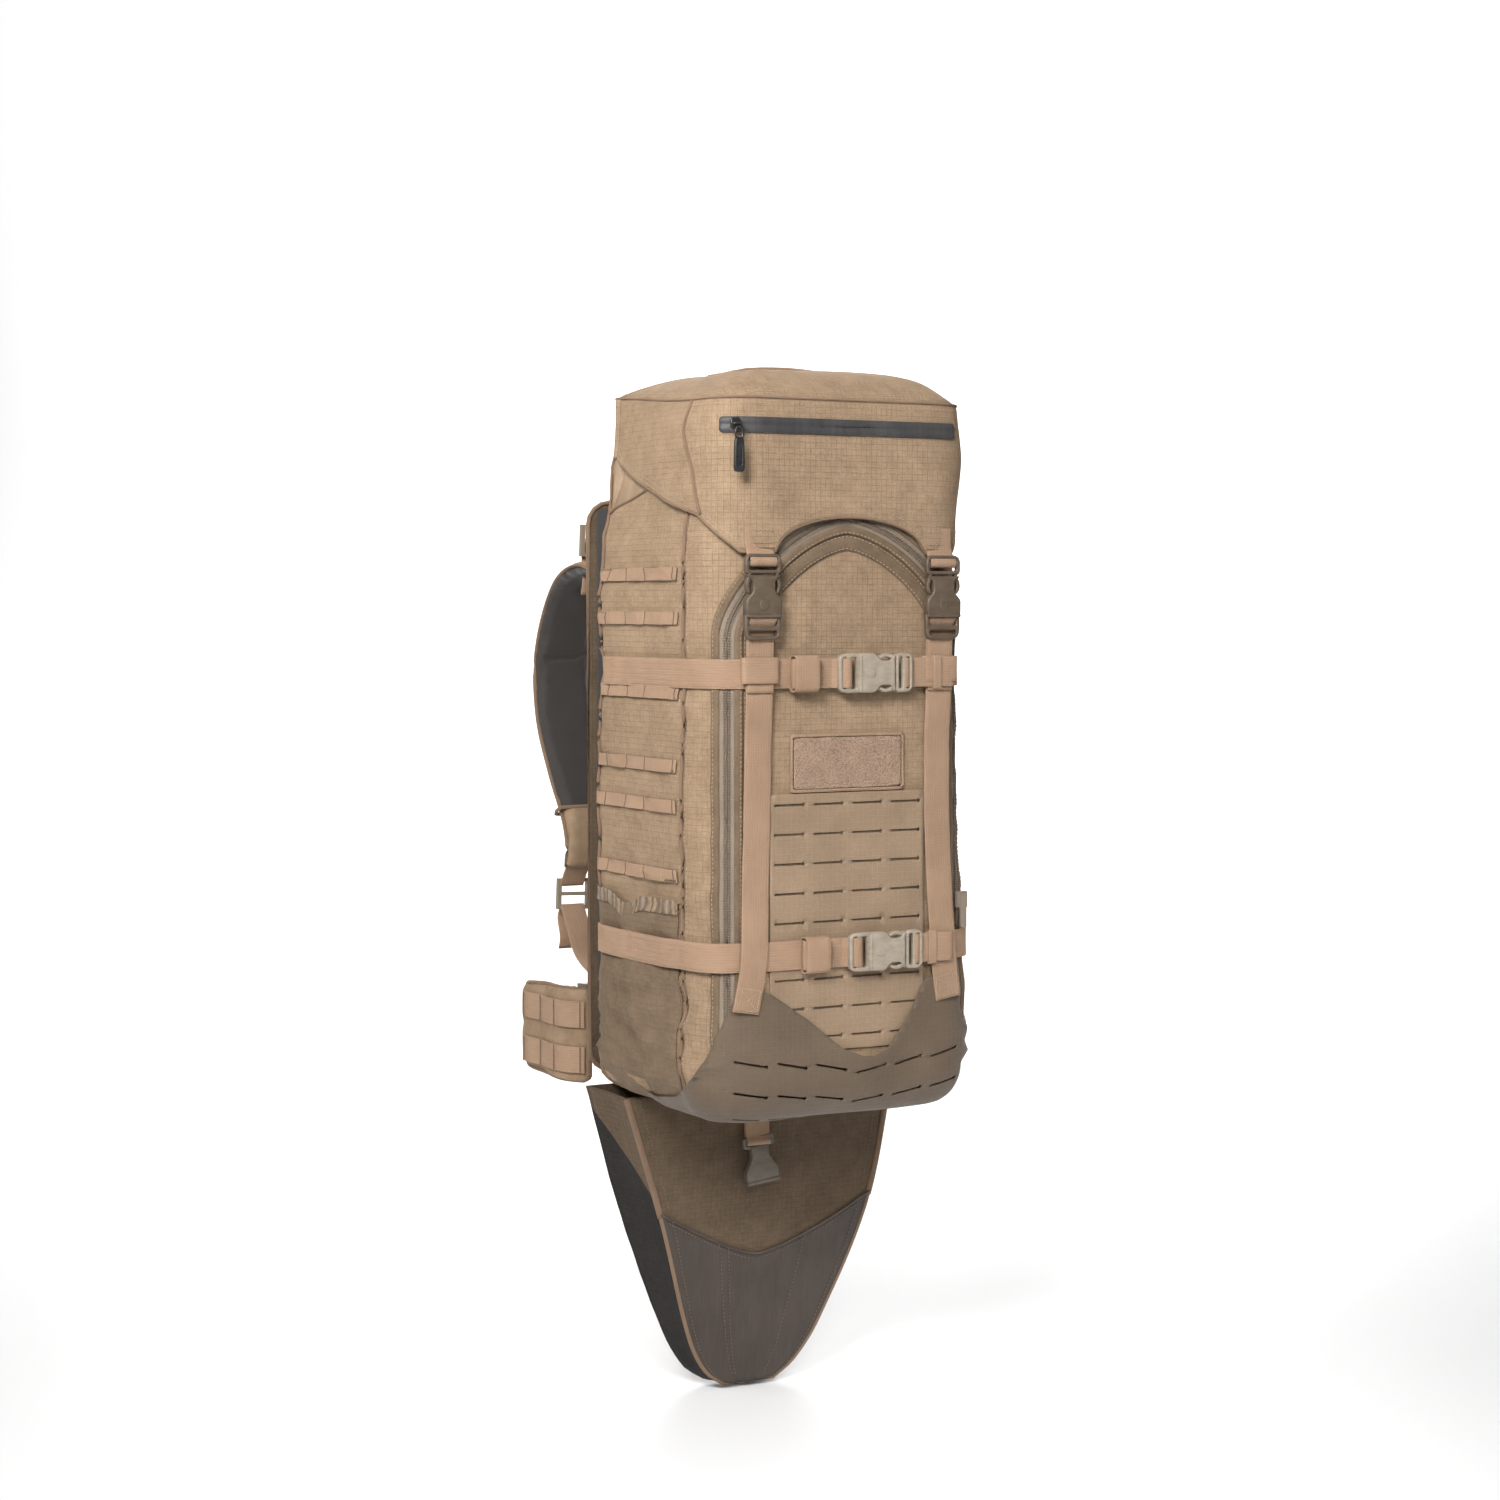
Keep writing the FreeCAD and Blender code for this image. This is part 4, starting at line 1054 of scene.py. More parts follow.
def closed_floor(name):
    """The bag's floor: a sagging sheet inside the rounded bottom edge."""
    ring = [bag_point(s, 1.0, 0.0, False)[0] for s in s_run(-HALF_ROUND, HALF_ROUND, 9.0)[:-1]]
    middle = np.array([0.0, FRONT / 2.0, 0.4])
    points = []
    uvs = []
    steps = 14
    for k in range(steps):
        share = 1.0 - k / steps
        for point in ring:
            sag = 1.2 * flow(point[0] * share / 40.0, point[1] * share / 40.0, 0.3)
            place = middle + (point - middle) * share
            points.append((place[0], place[1], 0.9 + sag * min((1 - share) * 3.0, 1.0)))
            uvs.append((place[0], place[1]))
    points.append(tuple(middle))
    uvs.append((middle[0], middle[1]))
    count = len(ring)
    faces = grid_faces(steps, count, closed=True)
    last = (steps - 1) * count
    faces += [(last + k, last + (k + 1) % count, steps * count) for k in range(count)]
    return new_piece(name, points, faces, uvs)


class PACK_OT_bag(bpy.types.Operator):
    """Lay the bag's panels: stiff front, slack sides, flat back and floor"""

    bl_idname = "pack.bag"
    bl_label = "Bag"

    def execute(self, context):
        front = bag_sheet("bag_front_cloth", s_run(-S_PIPING, S_PIPING, 6.0), bag_rim)
        dress(thicken(front, 1.2), FINISHES["cloth"], "pack",
              ["bag_front_panel"])
        for name, sign in (("left", -1.0), ("right", 1.0)):
            line = s_run(sign * S_PIPING, sign * S_BACK_SEAM, 5.0)[::int(sign)]
            side = bag_sheet(f"bag_{name}_cloth", line, bag_rim)
            dress(thicken(side, 1.2), FINISHES["cloth"], "pack",
                  [f"bag_{name}_side"])
        for name, sign in (("left", -1.0), ("right", 1.0)):
            line = s_run(sign * S_BACK_SEAM, sign * HALF_ROUND, 9.0)[::int(sign)]
            half = bag_sheet(f"bag_back_{name}", line, bag_rim, step=14.0)
            dress(thicken(half, 1.2), FINISHES["cloth"], "pack",
                  ["bag_back_wall"])
        floor = thicken(closed_floor("bag_floor_cloth"), 1.0, 1.0)
        dress(floor, FINISHES["cloth"], "pack", ["bag_floor"])
        seams = []
        for sign in (-1.0, 1.0):
            for s, low in ((S_PIPING, 20.0), (S_BACK_SEAM, 6.0)):
                high = bag_rim(s)
                path, unused = bag_path([(sign * s, z) for z in z_run(low, high, 12.0)], 0.6)
                radius = sizes().piping * 1000.0
                seams.append(tube("seam", path, radius, 8))
        dress(join("bag_piping", seams), FINISHES["binding"], "pack")
        rows = []
        for sign in (-1.0, 1.0):
            for shift in (-5.0, 6.0):
                line = [(sign * (S_PIPING + shift), z) for z in z_run(24.0, 560.0, 10.0)]
                rows.append(bag_path(line, 0.25)[0])
        stitches("bag_seam_stitches", rows)
        return {"FINISHED"}


# ================================================================ sheets cut flat and laid on
def flat_cut(outline, holes=(), step=6.0):
    """A flat sheet cut to an outline with holes, sliced fine enough to bend.

    Returns its points as (across, along) pairs in mm, and its faces.
    """
    sheet = baked(flat_curve("cut", [outline] + list(holes)))
    work = bmesh.new()
    work.from_mesh(sheet.data)
    bmesh.ops.remove_doubles(work, verts=work.verts, dist=0.001)
    corners = np.array([v.co for v in work.verts], float)
    low, high = corners.min(axis=0), corners.max(axis=0)
    for axis in (0, 1):
        count = int((high[axis] - low[axis]) / step)
        for k in range(1, count + 1):
            where = [0.0, 0.0, 0.0]
            where[axis] = low[axis] + (high[axis] - low[axis]) * k / (count + 1)
            facing = [0.0, 0.0, 0.0]
            facing[axis] = 1.0
            bmesh.ops.bisect_plane(work, geom=work.verts[:] + work.edges[:] + work.faces[:],
                                   plane_co=where, plane_no=facing)
    bmesh.ops.recalc_face_normals(work, faces=work.faces)
    work.verts.index_update()
    points = [(v.co.x, v.co.y) for v in work.verts]
    faces = []
    for f in work.faces:
        ring = [v.index for v in f.verts]
        faces.append(ring if f.normal.z > 0 else ring[::-1])
    work.free()
    mesh = sheet.data
    bpy.data.objects.remove(sheet)
    bpy.data.meshes.remove(mesh)
    return points, faces


def lay(name, outline, place, thick, holes=(), step=6.0, offset=1.0):
    """Cut a sheet flat, put each point where place(across, along) says, and thicken it."""
    points, faces = flat_cut(outline, holes, step)
    obj = new_piece(name, [place(*p) for p in points], faces, points)
    return outward(thicken(obj, thick, offset), False)


def cut_sheet(obj):
    """Read the flat-pattern corners of each face of a laid or hung piece; nothing is set or kept.
    """
    corners = np.zeros(len(obj.data.loops) * 2)
    obj.data.uv_layers["cloth"].data.foreach_get("uv", corners)
    corners = corners.reshape(-1, 2)
    for face in obj.data.polygons:
        ring = corners[face.loop_start:face.loop_start + face.loop_total]
        ahead = np.roll(ring, -1, axis=0)


def shifted(line, by):
    """A flat line moved sideways; to its right where by is above 0."""
    line = np.asarray(line, float)[:, :2]
    tangent = unit(np.gradient(line, axis=0))
    return line + np.stack([tangent[:, 1], -tangent[:, 0]], axis=1) * by


def strip_on(name, line, half_width, place, thick, columns=5, offset=1.0):
    """A flat strip that follows a line on a surface."""
    line = np.asarray(line, float)
    runs = run_lengths(line)
    shares = np.linspace(-half_width, half_width, columns)
    edges = [shifted(line, share) for share in shares]
    points = []
    uvs = []
    for k in range(len(line)):
        for share, edge in zip(shares, edges):
            points.append(place(*edge[k]))
            uvs.append((share, runs[k]))
    obj = new_piece(name, points, grid_faces(len(line), columns), uvs)
    return outward(thicken(obj, thick, offset), False)


def on_bag(lift, wrinkled=True):
    """Where a point of a sheet goes when it is laid on the bag."""
    return lambda s, z: bag_point(s, z, lift, wrinkled)[0]


def flat_line(points, step=5.0):
    """A path in the plane cut into short even steps."""
    return smooth_path([(x, y, 0.0) for x, y in points], step)[:, :2]


# ================================================================ front panel
ZIP_SPRING = 416.0
ZIP_APEX = 516.0
ZIP_BOTTOM = 58.0


def arch_line(half, rise, spring, bottom, power=1.6):
    """Half an arch as flat points, from the bottom left up to the middle."""
    points = [(-half, z) for z in np.linspace(bottom, spring, 30)]
    for angle in np.linspace(0.0, 90.0, 31)[1:]:
        c, s = math.cos(math.radians(angle)), math.sin(math.radians(angle))
        points.append((-half * max(c, 0.0) ** (2.0 / power), spring + rise * s ** (2.0 / power)))
    return points


def zip_line(inset=0.0):
    """The front zip's line in (s, z), from its left end over the arch to its right end."""
    half = arch_line(S_ZIP - inset, ZIP_APEX - ZIP_SPRING - inset, ZIP_SPRING, ZIP_BOTTOM)
    full = half + [(-x, z) for x, z in half[-2::-1]]
    return flat_line(full, 5.0)


def slot_hole(x, z, slope=0.0):
    """A thin slot with a round relief at its right end."""
    points = [(x - 14.0, z - 1.0), (x + 11.8, z - 1.0)]
    for angle in range(-120, 121, 40):
        points.append((x + 13.2 + 1.7 * math.cos(math.radians(angle)),
                       z + 1.7 * math.sin(math.radians(angle))))
    points += [(x + 11.8, z + 1.0), (x - 14.0, z + 1.0), (x - 14.8, z)]
    return [(px, pz + (px - x) * slope) for px, pz in points]


def flap_top(s):
    """Height of the bucket flap's upper edge at a distance round the bag."""
    marks = [(-260.0, 10.0), (-205.0, 12.0), (-172.0, 18.0), (-148.0, 30.0), (-131.0, 52.0),
             (-119.0, 80.0), (-108.0, 106.0), (-99.0, 116.0), (-76.0, 111.0), (-40.0, 86.0),
             (-8.0, 60.0), (12.0, 51.5), (24.0, 51.0), (38.0, 58.0), (60.0, 84.0),
             (72.0, 108.0), (79.0, 117.0), (100.0, 112.0), (110.0, 98.0), (121.0, 74.0),
             (134.0, 48.0), (150.0, 28.0), (174.0, 17.0), (205.0, 12.0), (260.0, 10.0)]
    return on_table(marks, s)


def under_point(s, z, lift):
    """A point of a sheet that wraps under the bag; below its curve z counts along it."""
    if z >= BOTTOM_ROUND:
        return bag_point(s, z, lift)[0]
    angle = (BOTTOM_ROUND - z) / BOTTOM_ROUND
    flat = max(angle - math.pi / 2.0, 0.0) * BOTTOM_ROUND
    angle = min(angle, math.pi / 2.0)
    base, normal = bag_point(s, BOTTOM_ROUND, 0.0)
    inward = BOTTOM_ROUND - (BOTTOM_ROUND + lift) * math.cos(angle) + flat
    point = base - normal * inward
    point[2] = BOTTOM_ROUND - (BOTTOM_ROUND + lift) * math.sin(angle)
    return point


def flap_place(s, z):
    """The bucket flap's own stance: loose at the notch, snug round the bottom."""
    edge = math.exp(-((flap_top(s) - z) / 22.0) ** 2)
    mid = math.exp(-((s - 18.0) / 42.0) ** 2)
    curl = 6.5 * edge * mid
    give = 0.8 * flow(s / 60.0, z / 45.0, 0.0, 8.0)
    sag = 2.6 * math.exp(-((z - 16.0) / 34.0) ** 2) * (1.0 - min(abs(s) / 190.0, 1.0) ** 3)
    return under_point(s, z, 2.6 + curl + give + sag)


class PACK_OT_front(bpy.types.Operator):
    """Lay the slotted front sheet, the loop field, the bucket flap and the front zip"""

    bl_idname = "pack.front"
    bl_label = "Front panel"

    def execute(self, context):
        pitch = sizes().slot_pitch * 1000.0
        row = sizes().row_pitch * 1000.0
        low, high = node_box("front_laminate")
        across = [(k - 1.5) * pitch for k in range(4)]
        levels = [271.6 - row * k for k in range(5)] + [121.0 - row * k for k in range(3)]
        holes = [slot_hole(x, z) for z in levels for x in across if z > low[2] + 4.0]
        outline = rounded(low[0], high[0], low[2] - 4.0, high[2], 3.0)
        sheet = lay("slotted_sheet", outline, on_bag(1.5), 1.0, holes, 8.0)
        dress(sheet, FINISHES["laminate"], "pack", ["front_laminate"])
        cut_sheet(sheet)
        # A sheet of the darkened cloth under the slots, so that they show as dark lines: painted
        # shade.
        slot_shade_sheet = lay("slot_backing", rounded(low[0] + 2, high[0] - 2, low[2], high[2] - 3, 3.0),
                     on_bag(0.35), 0.5, (), 12.0)
        dress(slot_shade_sheet, FINISHES["lining"], "pack")

        self.patch()
        self.flap(pitch, row)
        self.zip()
        return {"FINISHED"}

    def patch(self):
        low, high = node_box("patch_field")
        edge = 3.2
        x0, x1, z0, z1 = low[0], high[0], low[2], high[2]

        def pile(s, z):
            tuft = 0.5 * flow(s / 1.9, z / 1.9, 0.0, 11.0)
            return bag_point(s, z, 1.9 + tuft, False)[0]

        field = lay("loop_field", rounded(x0 + edge, x1 - edge, z0 + edge, z1 - edge, 2.0),
                    pile, 0.8, (), 2.1)
        dress(field, FINISHES["pile"], "pack", ["patch_field"])
        rim = lay("loop_field_rim", rounded(x0, x1, z0, z1, 2.5), on_bag(1.5, False), 0.7,
                  [rounded(x0 + edge - 0.6, x1 - edge + 0.6, z0 + edge - 0.6, z1 - edge + 0.6,
                           2.0)[::-1]], 8.0)
        dress(rim, FINISHES["webbing"], "pack")
        ring = rounded(x0 + 1.6, x1 - 1.6, z0 + 1.6, z1 - 1.6, 2.0)
        ring.append(ring[0])
        stitches("loop_field_stitches",
                 [np.array([bag_point(x, z, 2.35, False)[0] for x, z in ring])])

    def flap(self, pitch, row):
        under = -64.0
        reach = s_of_side_y(-92.0)
        top = [(s, flap_top(s)) for s in np.arange(reach, -reach - 0.1, -3.0)]
        outline = [(-reach, under), (reach, under)] + top
        holes = []
        for number, z in enumerate((44.0, 44.0 - row, 44.0 - 2 * row)):
            for k in (-3, -2, -1, 0, 1, 2):
                x = (k + 0.55) * pitch
                lean = -0.22 if x < 18.0 else 0.20
                drop = abs(x - 18.0) * 0.10 - 4.0
                if flap_top(x) - (z + drop) > 7.0:
                    holes.append(slot_hole(x, z + drop, lean * (1.0 - 0.25 * number)))
        flap = lay("bucket_flap_sheet", outline, flap_place, 1.2, holes, 7.0)
        # The flap takes the laminate darkened as painted shade.
        dress(flap, FINISHES["flap"], "pack", ["bucket_flap"])
        cut_sheet(flap)

    def zip(self):
        line = zip_line()
        tape = strip_on("front_zip_cloth", line, 12.5, on_bag(0.6), 0.9, 9)
        dress(tape, FINISHES["zip_tape"], "pack", ["front_zip_tape"])
        paths = []
        normals = []
        for shift in (-1.9, 1.9):
            found = [bag_point(s, z, 2.3) for s, z in shifted(line, shift)]
            paths.append(np.array([f[0] for f in found]))
            normals.append(np.array([f[1] for f in found]))
        coils("front_zip_coils", paths, normals, 3.5, 2.3)
        # A dark tube between the coil rows: painted shade in the zip's groove.
        zip_shade_line = tube("front_zip_groove",
                      [bag_point(s, z, 1.9)[0] for s, z in line], 0.9, 6)
        dress(zip_shade_line, FINISHES["dark_thread"], "pack")
        flies = []
        for shift in (-9.5, 9.5):
            flies.append(strip_on("fly", shifted(line, shift), 3.4, on_bag(1.7), 0.9, 4))
        flies.append(strip_on("facing", shifted(line, 20.0), 7.0, on_bag(0.35), 0.8, 4))
        # The flies and the facing beside the zip take the cloth darkened as painted shade.
        dress(join("front_zip_flies", flies), FINISHES["lining"], "pack")
        rows = []
        for shift, lift in ((-11.3, 2.8), (11.3, 2.8), (14.8, 1.4), (25.2, 1.4)):
            rows.append(np.array([bag_point(s, z, lift)[0] for s, z in shifted(line, shift)]))
        stitches("front_zip_stitches", rows)


# ================================================================ buckles
def oval_bump(x, centre, half):
    """1 at the centre falling smoothly to 0 at `half` away."""
    t = min(abs(x - centre) / half, 1.0)
    return (1.0 - t * t) ** 2


def mirrored(points):
    """An outline's upper half followed by the same points below its middle line."""
    return points + [(x, -y) for x, y in points[::-1] if abs(y) > 1e-6]


def buckle_socket(name, half, to_place):
    """Female half: a waisted body and a two-slot ladder; its mouth is at u = 0."""
    body = mirrored([(-35.5, half - 2.0), (-34.0, half - 0.2), (-23.0, half), (-20.5, half - 0.8),
                     (-16.0, half - 5.2), (-13.5, half - 6.4), (-6.5, half - 6.4),
                     (-4.6, half - 5.4), (-2.2, half - 2.0), (-0.6, half - 1.2)])
    parts = [plate(name, body, [], 8.6, 1.5, to_place)]
    rim = rounded(-36.4, -33.6, -half + 0.6, half - 0.6, 1.2)
    parts.append(plate(name, rim, [], 9.8, 0.7, to_place))
    rib = rounded(-30.5, -20.5, -4.5, 4.5, 4.0)
    parts.append(plate(name, rib, [], 9.3, 0.5, to_place))
    ladder = mirrored([(-55.0, half - 5.0), (-54.0, half - 2.4), (-51.0, half - 0.6),
                       (-46.0, half), (-34.0, half)])
    wide = half - 3.6
    slots = [rounded(-51.6, -47.4, -wide, wide, 1.6)[::-1],
             rounded(-43.6, -37.6, -wide, wide, 1.6)[::-1]]

    def lower(points):
        moved = points.copy()
        moved[:, 2] += -1.0 + 0.6 * np.cos((points[:, 0] + 45.0) / 9.0)
        return to_place(moved)

    parts.append(plate(name, ladder, slots, 5.2, 1.2, lower))
    teeth = rounded(-37.4, -36.2, -wide + 1.0, wide - 1.0, 0.4)
    parts.append(plate(name, teeth, [], 7.0, 0.3, to_place))
    return join(name, parts)


def buckle_prongs(name, half, to_place):
    """Male half: two sprung arms, their release pads, and a two-slot frame."""
    frame_line = mirrored([(0.6, half - 2.4), (1.6, half - 0.8), (4.0, half), (12.0, half),
                           (15.6, half - 1.6), (17.4, half - 5.0)])
    wide = half - 3.4
    slots = [rounded(3.8, 7.6, -wide, wide, 1.5)[::-1],
             rounded(11.0, 14.6, -wide, wide, 1.5)[::-1]]
    parts = [plate(name, frame_line, slots, 5.6, 1.2, to_place)]
    for side in (-1.0, 1.0):
        arm = [(1.0, half - 5.6), (-5.0, half - 4.6), (-9.0, half - 3.2), (-12.6, half - 4.0),
               (-15.4, half - 5.0), (-16.0, half - 3.2), (-13.0, half - 1.0),
               (-9.6, half - 0.2), (-6.0, half - 0.6), (-2.0, half - 2.4), (1.0, half - 3.0)]
        arm = [(x, y * side) for x, y in arm]
        parts.append(plate(name, arm if side < 0 else arm[::-1], [], 5.4, 0.8, to_place))
    return join(name, parts)


def across_front(mouth, middle_y, level):
    """Places a buckle lying across the front, its male half to the right."""
    def place(points):
        return np.stack([mouth + points[:, 0], middle_y - points[:, 2],
                         level + points[:, 1]], axis=1)
    return place


def down_front(x, middle_y, mouth):
    """Places a buckle standing on the front, its male half above."""
    def place(points):
        return np.stack([x - points[:, 1], middle_y - points[:, 2],
                         mouth + points[:, 0]], axis=1)
    return place


class PACK_OT_buckles(bpy.types.Operator):
    """Mould the side-release buckles of the lid and the two straps; the scabbard's buckle half is
    made with the scabbard
    """

    bl_idname = "pack.buckles"
    bl_label = "Buckles"

    def execute(self, context):
        for level in ("upper", "lower"):
            low, high = node_box(f"{level}_buckle_female")
            half = (high[2] - low[2]) / 2.0
            spot = across_front(high[0], (low[1] + high[1]) / 2.0, (low[2] + high[2]) / 2.0)
            dress(buckle_socket(f"{level}_strap_socket", half, spot), FINISHES["pale_buckle"],
                  "pack", [f"{level}_buckle_female"])
            dress(buckle_prongs(f"{level}_strap_prongs", half, spot), FINISHES["pale_buckle"],
                  f"{level}_buckle", [f"{level}_buckle_male"])
        low, high = node_box("lid_buckle_females")
        x = high[0] - 17.0
        sockets = []
        prongs = []
        for side in (-1.0, 1.0):
            spot = down_front(side * x, (low[1] + high[1]) / 2.0, high[2])
            sockets.append(buckle_socket("socket", 17.0, spot))
            prongs.append(buckle_prongs("prongs", 17.0, spot))
        dress(join("lid_sockets", sockets), FINISHES["lid_buckle"], "pack",
              ["lid_buckle_females"])
        dress(join("lid_prongs", prongs), FINISHES["lid_buckle"], "lid",
              ["lid_buckle_males"])
        return {"FINISHED"}


# ================================================================ webbing
def pocket_swell(s, z):
    """How far a side pocket's cloth stands off the bag."""
    run = (abs(s) - S_PIPING - 4.0) / (S_BACK_SEAM - S_PIPING - 4.0)
    if run <= 0.0 or run >= 1.0:
        return 0.0
    along = math.sin(math.pi * run) ** 0.55
    low, high = 26.0, 188.0
    t = (z - low) / (high - low)
    if t <= 0.0 or t >= 1.15:
        return 0.0
    up = math.sin(math.pi * min(t * 0.86 + 0.06, 1.0)) ** 0.6
    cinch = 1.0 - 0.34 * math.exp(-((z - STRAP_LOW) / 15.0) ** 2)
    return 11.5 * along * up * cinch


def spiral_roll(name, x0, x1, level, middle_y, width, thick=1.4, turns=3):
    """The spare end of a strap rolled flat."""
    middle = (x0 + x1) / 2.0
    half = (x1 - x0) / 2.0
    path = []
    for angle in np.arange(0.0, turns * 360.0 + 1.0, 20.0):
        share = 1.0 - angle / (turns * 360.0) * 0.72
        turn = math.radians(angle)
        deep = (1.2 + 3.4 * share) * math.sin(turn)
        wide = (half - 4.0 * (1.0 - share)) * math.copysign(abs(math.cos(turn)) ** 0.6,
                                                            math.cos(turn))
        path.append((middle + wide, middle_y - deep, level))
    path = np.array(path)
    middle_point = np.array([middle, middle_y, level])
    return ribbon(name, path, path - middle_point, width, thick)


class PACK_OT_straps(bpy.types.Operator):
    """Run the compression straps, the front straps, their keepers and rolled ends"""

    bl_idname = "pack.straps"
    bl_label = "Straps"

    def execute(self, context):
        width = sizes().webbing * 1000.0
        thick = sizes().webbing_thick * 1000.0
        for level, height in (("upper", STRAP_HIGH), ("lower", STRAP_LOW)):
            self.compression(level, height, width, thick)
        self.front_straps(width, thick)
        return {"FINISHED"}

    def side_path(self, level, height, side):
        """The strap's run round one side, from the back seam to the front corner."""
        points = []
        for s in np.linspace(S_BACK_SEAM - 1.0, S_ZIP - 4.0, 26):
            ridge = max(bag_wrinkle(s + ds, height + dz) for ds in (-14.0, 0.0, 14.0)
                        for dz in (-10.0, 0.0, 10.0))
            over = 2.4 if level == "upper" else 3.6 + pocket_swell(s, height)
            over += max(ridge, 0.0) * (1.0 - ease(s, S_BACK_SEAM - 12.0, S_BACK_SEAM))
            points.append(bag_point(side * s, height, over, False)[0])
        points[0] = points[0] * np.array([0.985, 1.0, 1.0])
        return np.array(points)

    def compression(self, level, height, width, thick):
        low, high = node_box(f"{level}_buckle_female")
        frame_end = low[0]
        mouth = high[0]
        under = FRONT - 4.2
        face = np.array([0.0, -1.0, 0.0])
        left = list(self.side_path(level, height, -1.0))
        left += [(-92.0, FRONT - 3.4, height), (-70.0, under, height),
                 (frame_end - 12.0, under - 0.3, height), (frame_end - 1.5, -223.2, height),
                 (frame_end + 5.5, -228.4, height), (frame_end + 8.0, -230.0, height),
                 (frame_end + 11.2, -229.4, height), (frame_end + 12.6, -226.6, height),
                 (frame_end + 9.5, -224.6, height), (frame_end + 1.0, -222.2, height),
                 (frame_end - 8.0, -222.3, height), (frame_end - 30.0, -222.4, height)]
        path = smooth_path(left, 3.0)
        tangent = unit(np.gradient(path, axis=0))
        out = np.stack([tangent[:, 1], -tangent[:, 0], tangent[:, 2] * 0.0], axis=1)
        parts = [ribbon("run", path, out, width, thick, 0.5, 0.5, 3)]
        right = [p for p in self.side_path(level, height, 1.0)]
        right += [(92.0, FRONT - 3.4, height), (77.0, under, height)]
        path = smooth_path(right, 3.0)
        tangent = unit(np.gradient(path, axis=0))
        out = np.stack([-tangent[:, 1], tangent[:, 0], tangent[:, 2] * 0.0], axis=1)
        parts.append(ribbon("run", path, out, width, thick, 0.5, 0.5, 4))
        strap = join(f"{level}_compression_strap", parts)
        dress(strap, FINISHES["webbing"], "pack", [f"{level}_strap"])

        path = smooth_path([(mouth + 9.4, -226.2, height), (mouth + 9.2, -228.6, height),
                            (mouth + 10.6, -230.2, height), (mouth + 13.2, -228.8, height),
                            (mouth + 17.5, -225.6, height), (mouth + 21.0, -225.0, height),
                            (80.0, -225.2, height), (96.0, -226.0, height),
                            (100.6, -225.0, height), (101.6, -223.6, height)], 2.0)
        ply = ribbon("ply", path, face, width, thick, 0.5, 0.3, 5)
        loop_x = 84.0 if level == "upper" else 80.0
        loop = self.keeper(loop_x, height, 8.0, width + 3.0, -225.9, 1.4, False)
        dress(join(f"{level}_strap_tail", [ply, loop]), FINISHES["webbing"],
              f"{level}_buckle", [f"{level}_loose_ply"])

        x1 = frame_end - 20.0 if level == "upper" else frame_end - 20.0
        roll = spiral_roll("roll", x1 - 24.0, x1, height, -225.8, width)
        band = self.keeper(x1 - 12.0, height, 23.0, width + 5.0, -225.8, 6.2, False)
        dress(join(f"{level}_rolled_end", [roll, band]), FINISHES["webbing"], "pack",
              ["rolled_strap_ends"] if level == "upper" else [])
        rows = []
        for x in (frame_end - 16.5, frame_end - 13.5):
            rows.append(np.array([(x, -223.35, z) for z in
                                  np.linspace(height - 10.5, height + 10.5, 10)]))
        stitches(f"{level}_strap_stitches", rows)

    def keeper(self, x, z, wide, tall, y, deep, upright):
        """A loop of narrow webbing round a strap; upright loops lie across it."""
        path = []
        for angle in np.arange(0.0, 360.0, 15.0):
            c, s = math.cos(math.radians(angle)), math.sin(math.radians(angle))
            a = math.copysign(abs(c) ** 0.35, c) * tall / 2.0
            b = math.copysign(abs(s) ** 0.6, s) * deep
            path.append((x + a, y - b, z) if upright else (x, y - b, z + a))
        path.append(path[0])
        path = np.array(path)
        middle = np.array([x, y, z])
        return ribbon("loop", path, path - middle, wide, 1.3)

    def front_straps(self, width, thick):
        straps = []
        keepers = []
        rows = []
        for side in (-1.0, 1.0):
            x = side * 88.0
            run = [(x, -224.2, 434.5), (x, -227.0, 438.5), (x, -229.8, 437.0),
                   (x, -230.4, 433.0), (x, -228.0, 428.5), (x, -224.6, 424.0),
                   (x, -222.6, 415.0), (x, -221.6, 400.0), (x, -221.2, 360.0),
                   (x, -219.2, 330.0), (x + side * 0.8, -218.4, 260.0),
                   (x + side * 2.6, -219.4, 205.0), (x + side * 4.2, -221.6, 165.0),
                   (x + side * 5.2, -222.2, 143.0), (x + side * 7.4, -221.4, 124.0),
                   (x + side * 12.4, -220.0, 96.0)]
            path = smooth_path(run, 3.0)
            tangent = unit(np.gradient(path, axis=0))
            out = np.stack([tangent[:, 2] * 0.0, tangent[:, 2], -tangent[:, 1]], axis=1)
            straps.append(ribbon("strap", path, out, width, thick, 0.5, 0.7, 6 + side))
            spare = smooth_path([(x, -224.6, 416.0), (x, -223.8, 404.0),
                                 (x, -223.4, 368.0)], 3.0)
            straps.append(ribbon("spare", spare, (0, -1, 0), width - 0.6, thick, 0.5, 0.3, 2))
            keepers.append(self.keeper(x, 387.0, 22.0, width + 8.0, -223.2, 3.0, True))
            end = np.array(run[-1])
            lean = unit(end - np.array(run[-2]))
            cross = np.array([lean[2], 0.0, -lean[0]]) * -1.0
            front = np.array([0.0, -thick / 2.0 - 0.45, 0.0])
            ring = []
            for a, b in ((-10.0, 2.4), (10.0, 2.4), (10.0, 21.0), (-10.0, 21.0), (-10.0, 2.4),
                         (10.0, 21.0), (10.0, 2.4), (-10.0, 21.0)):
                spot = end - lean * b + cross * a + front
                spot[1] = np.interp(spot[2], [96.0, 124.0], [-221.2, -222.6])
                ring.append(spot)
            rows.append(smooth_corners(ring))
        dress(join("front_straps", straps), FINISHES["webbing"], "pack",
              ["vertical_straps"])
        dress(join("front_strap_keepers", keepers), FINISHES["webbing"], "pack",
              ["strap_keepers"])
        stitches("front_strap_stitches", rows, pitch=2.6, radius=0.5)


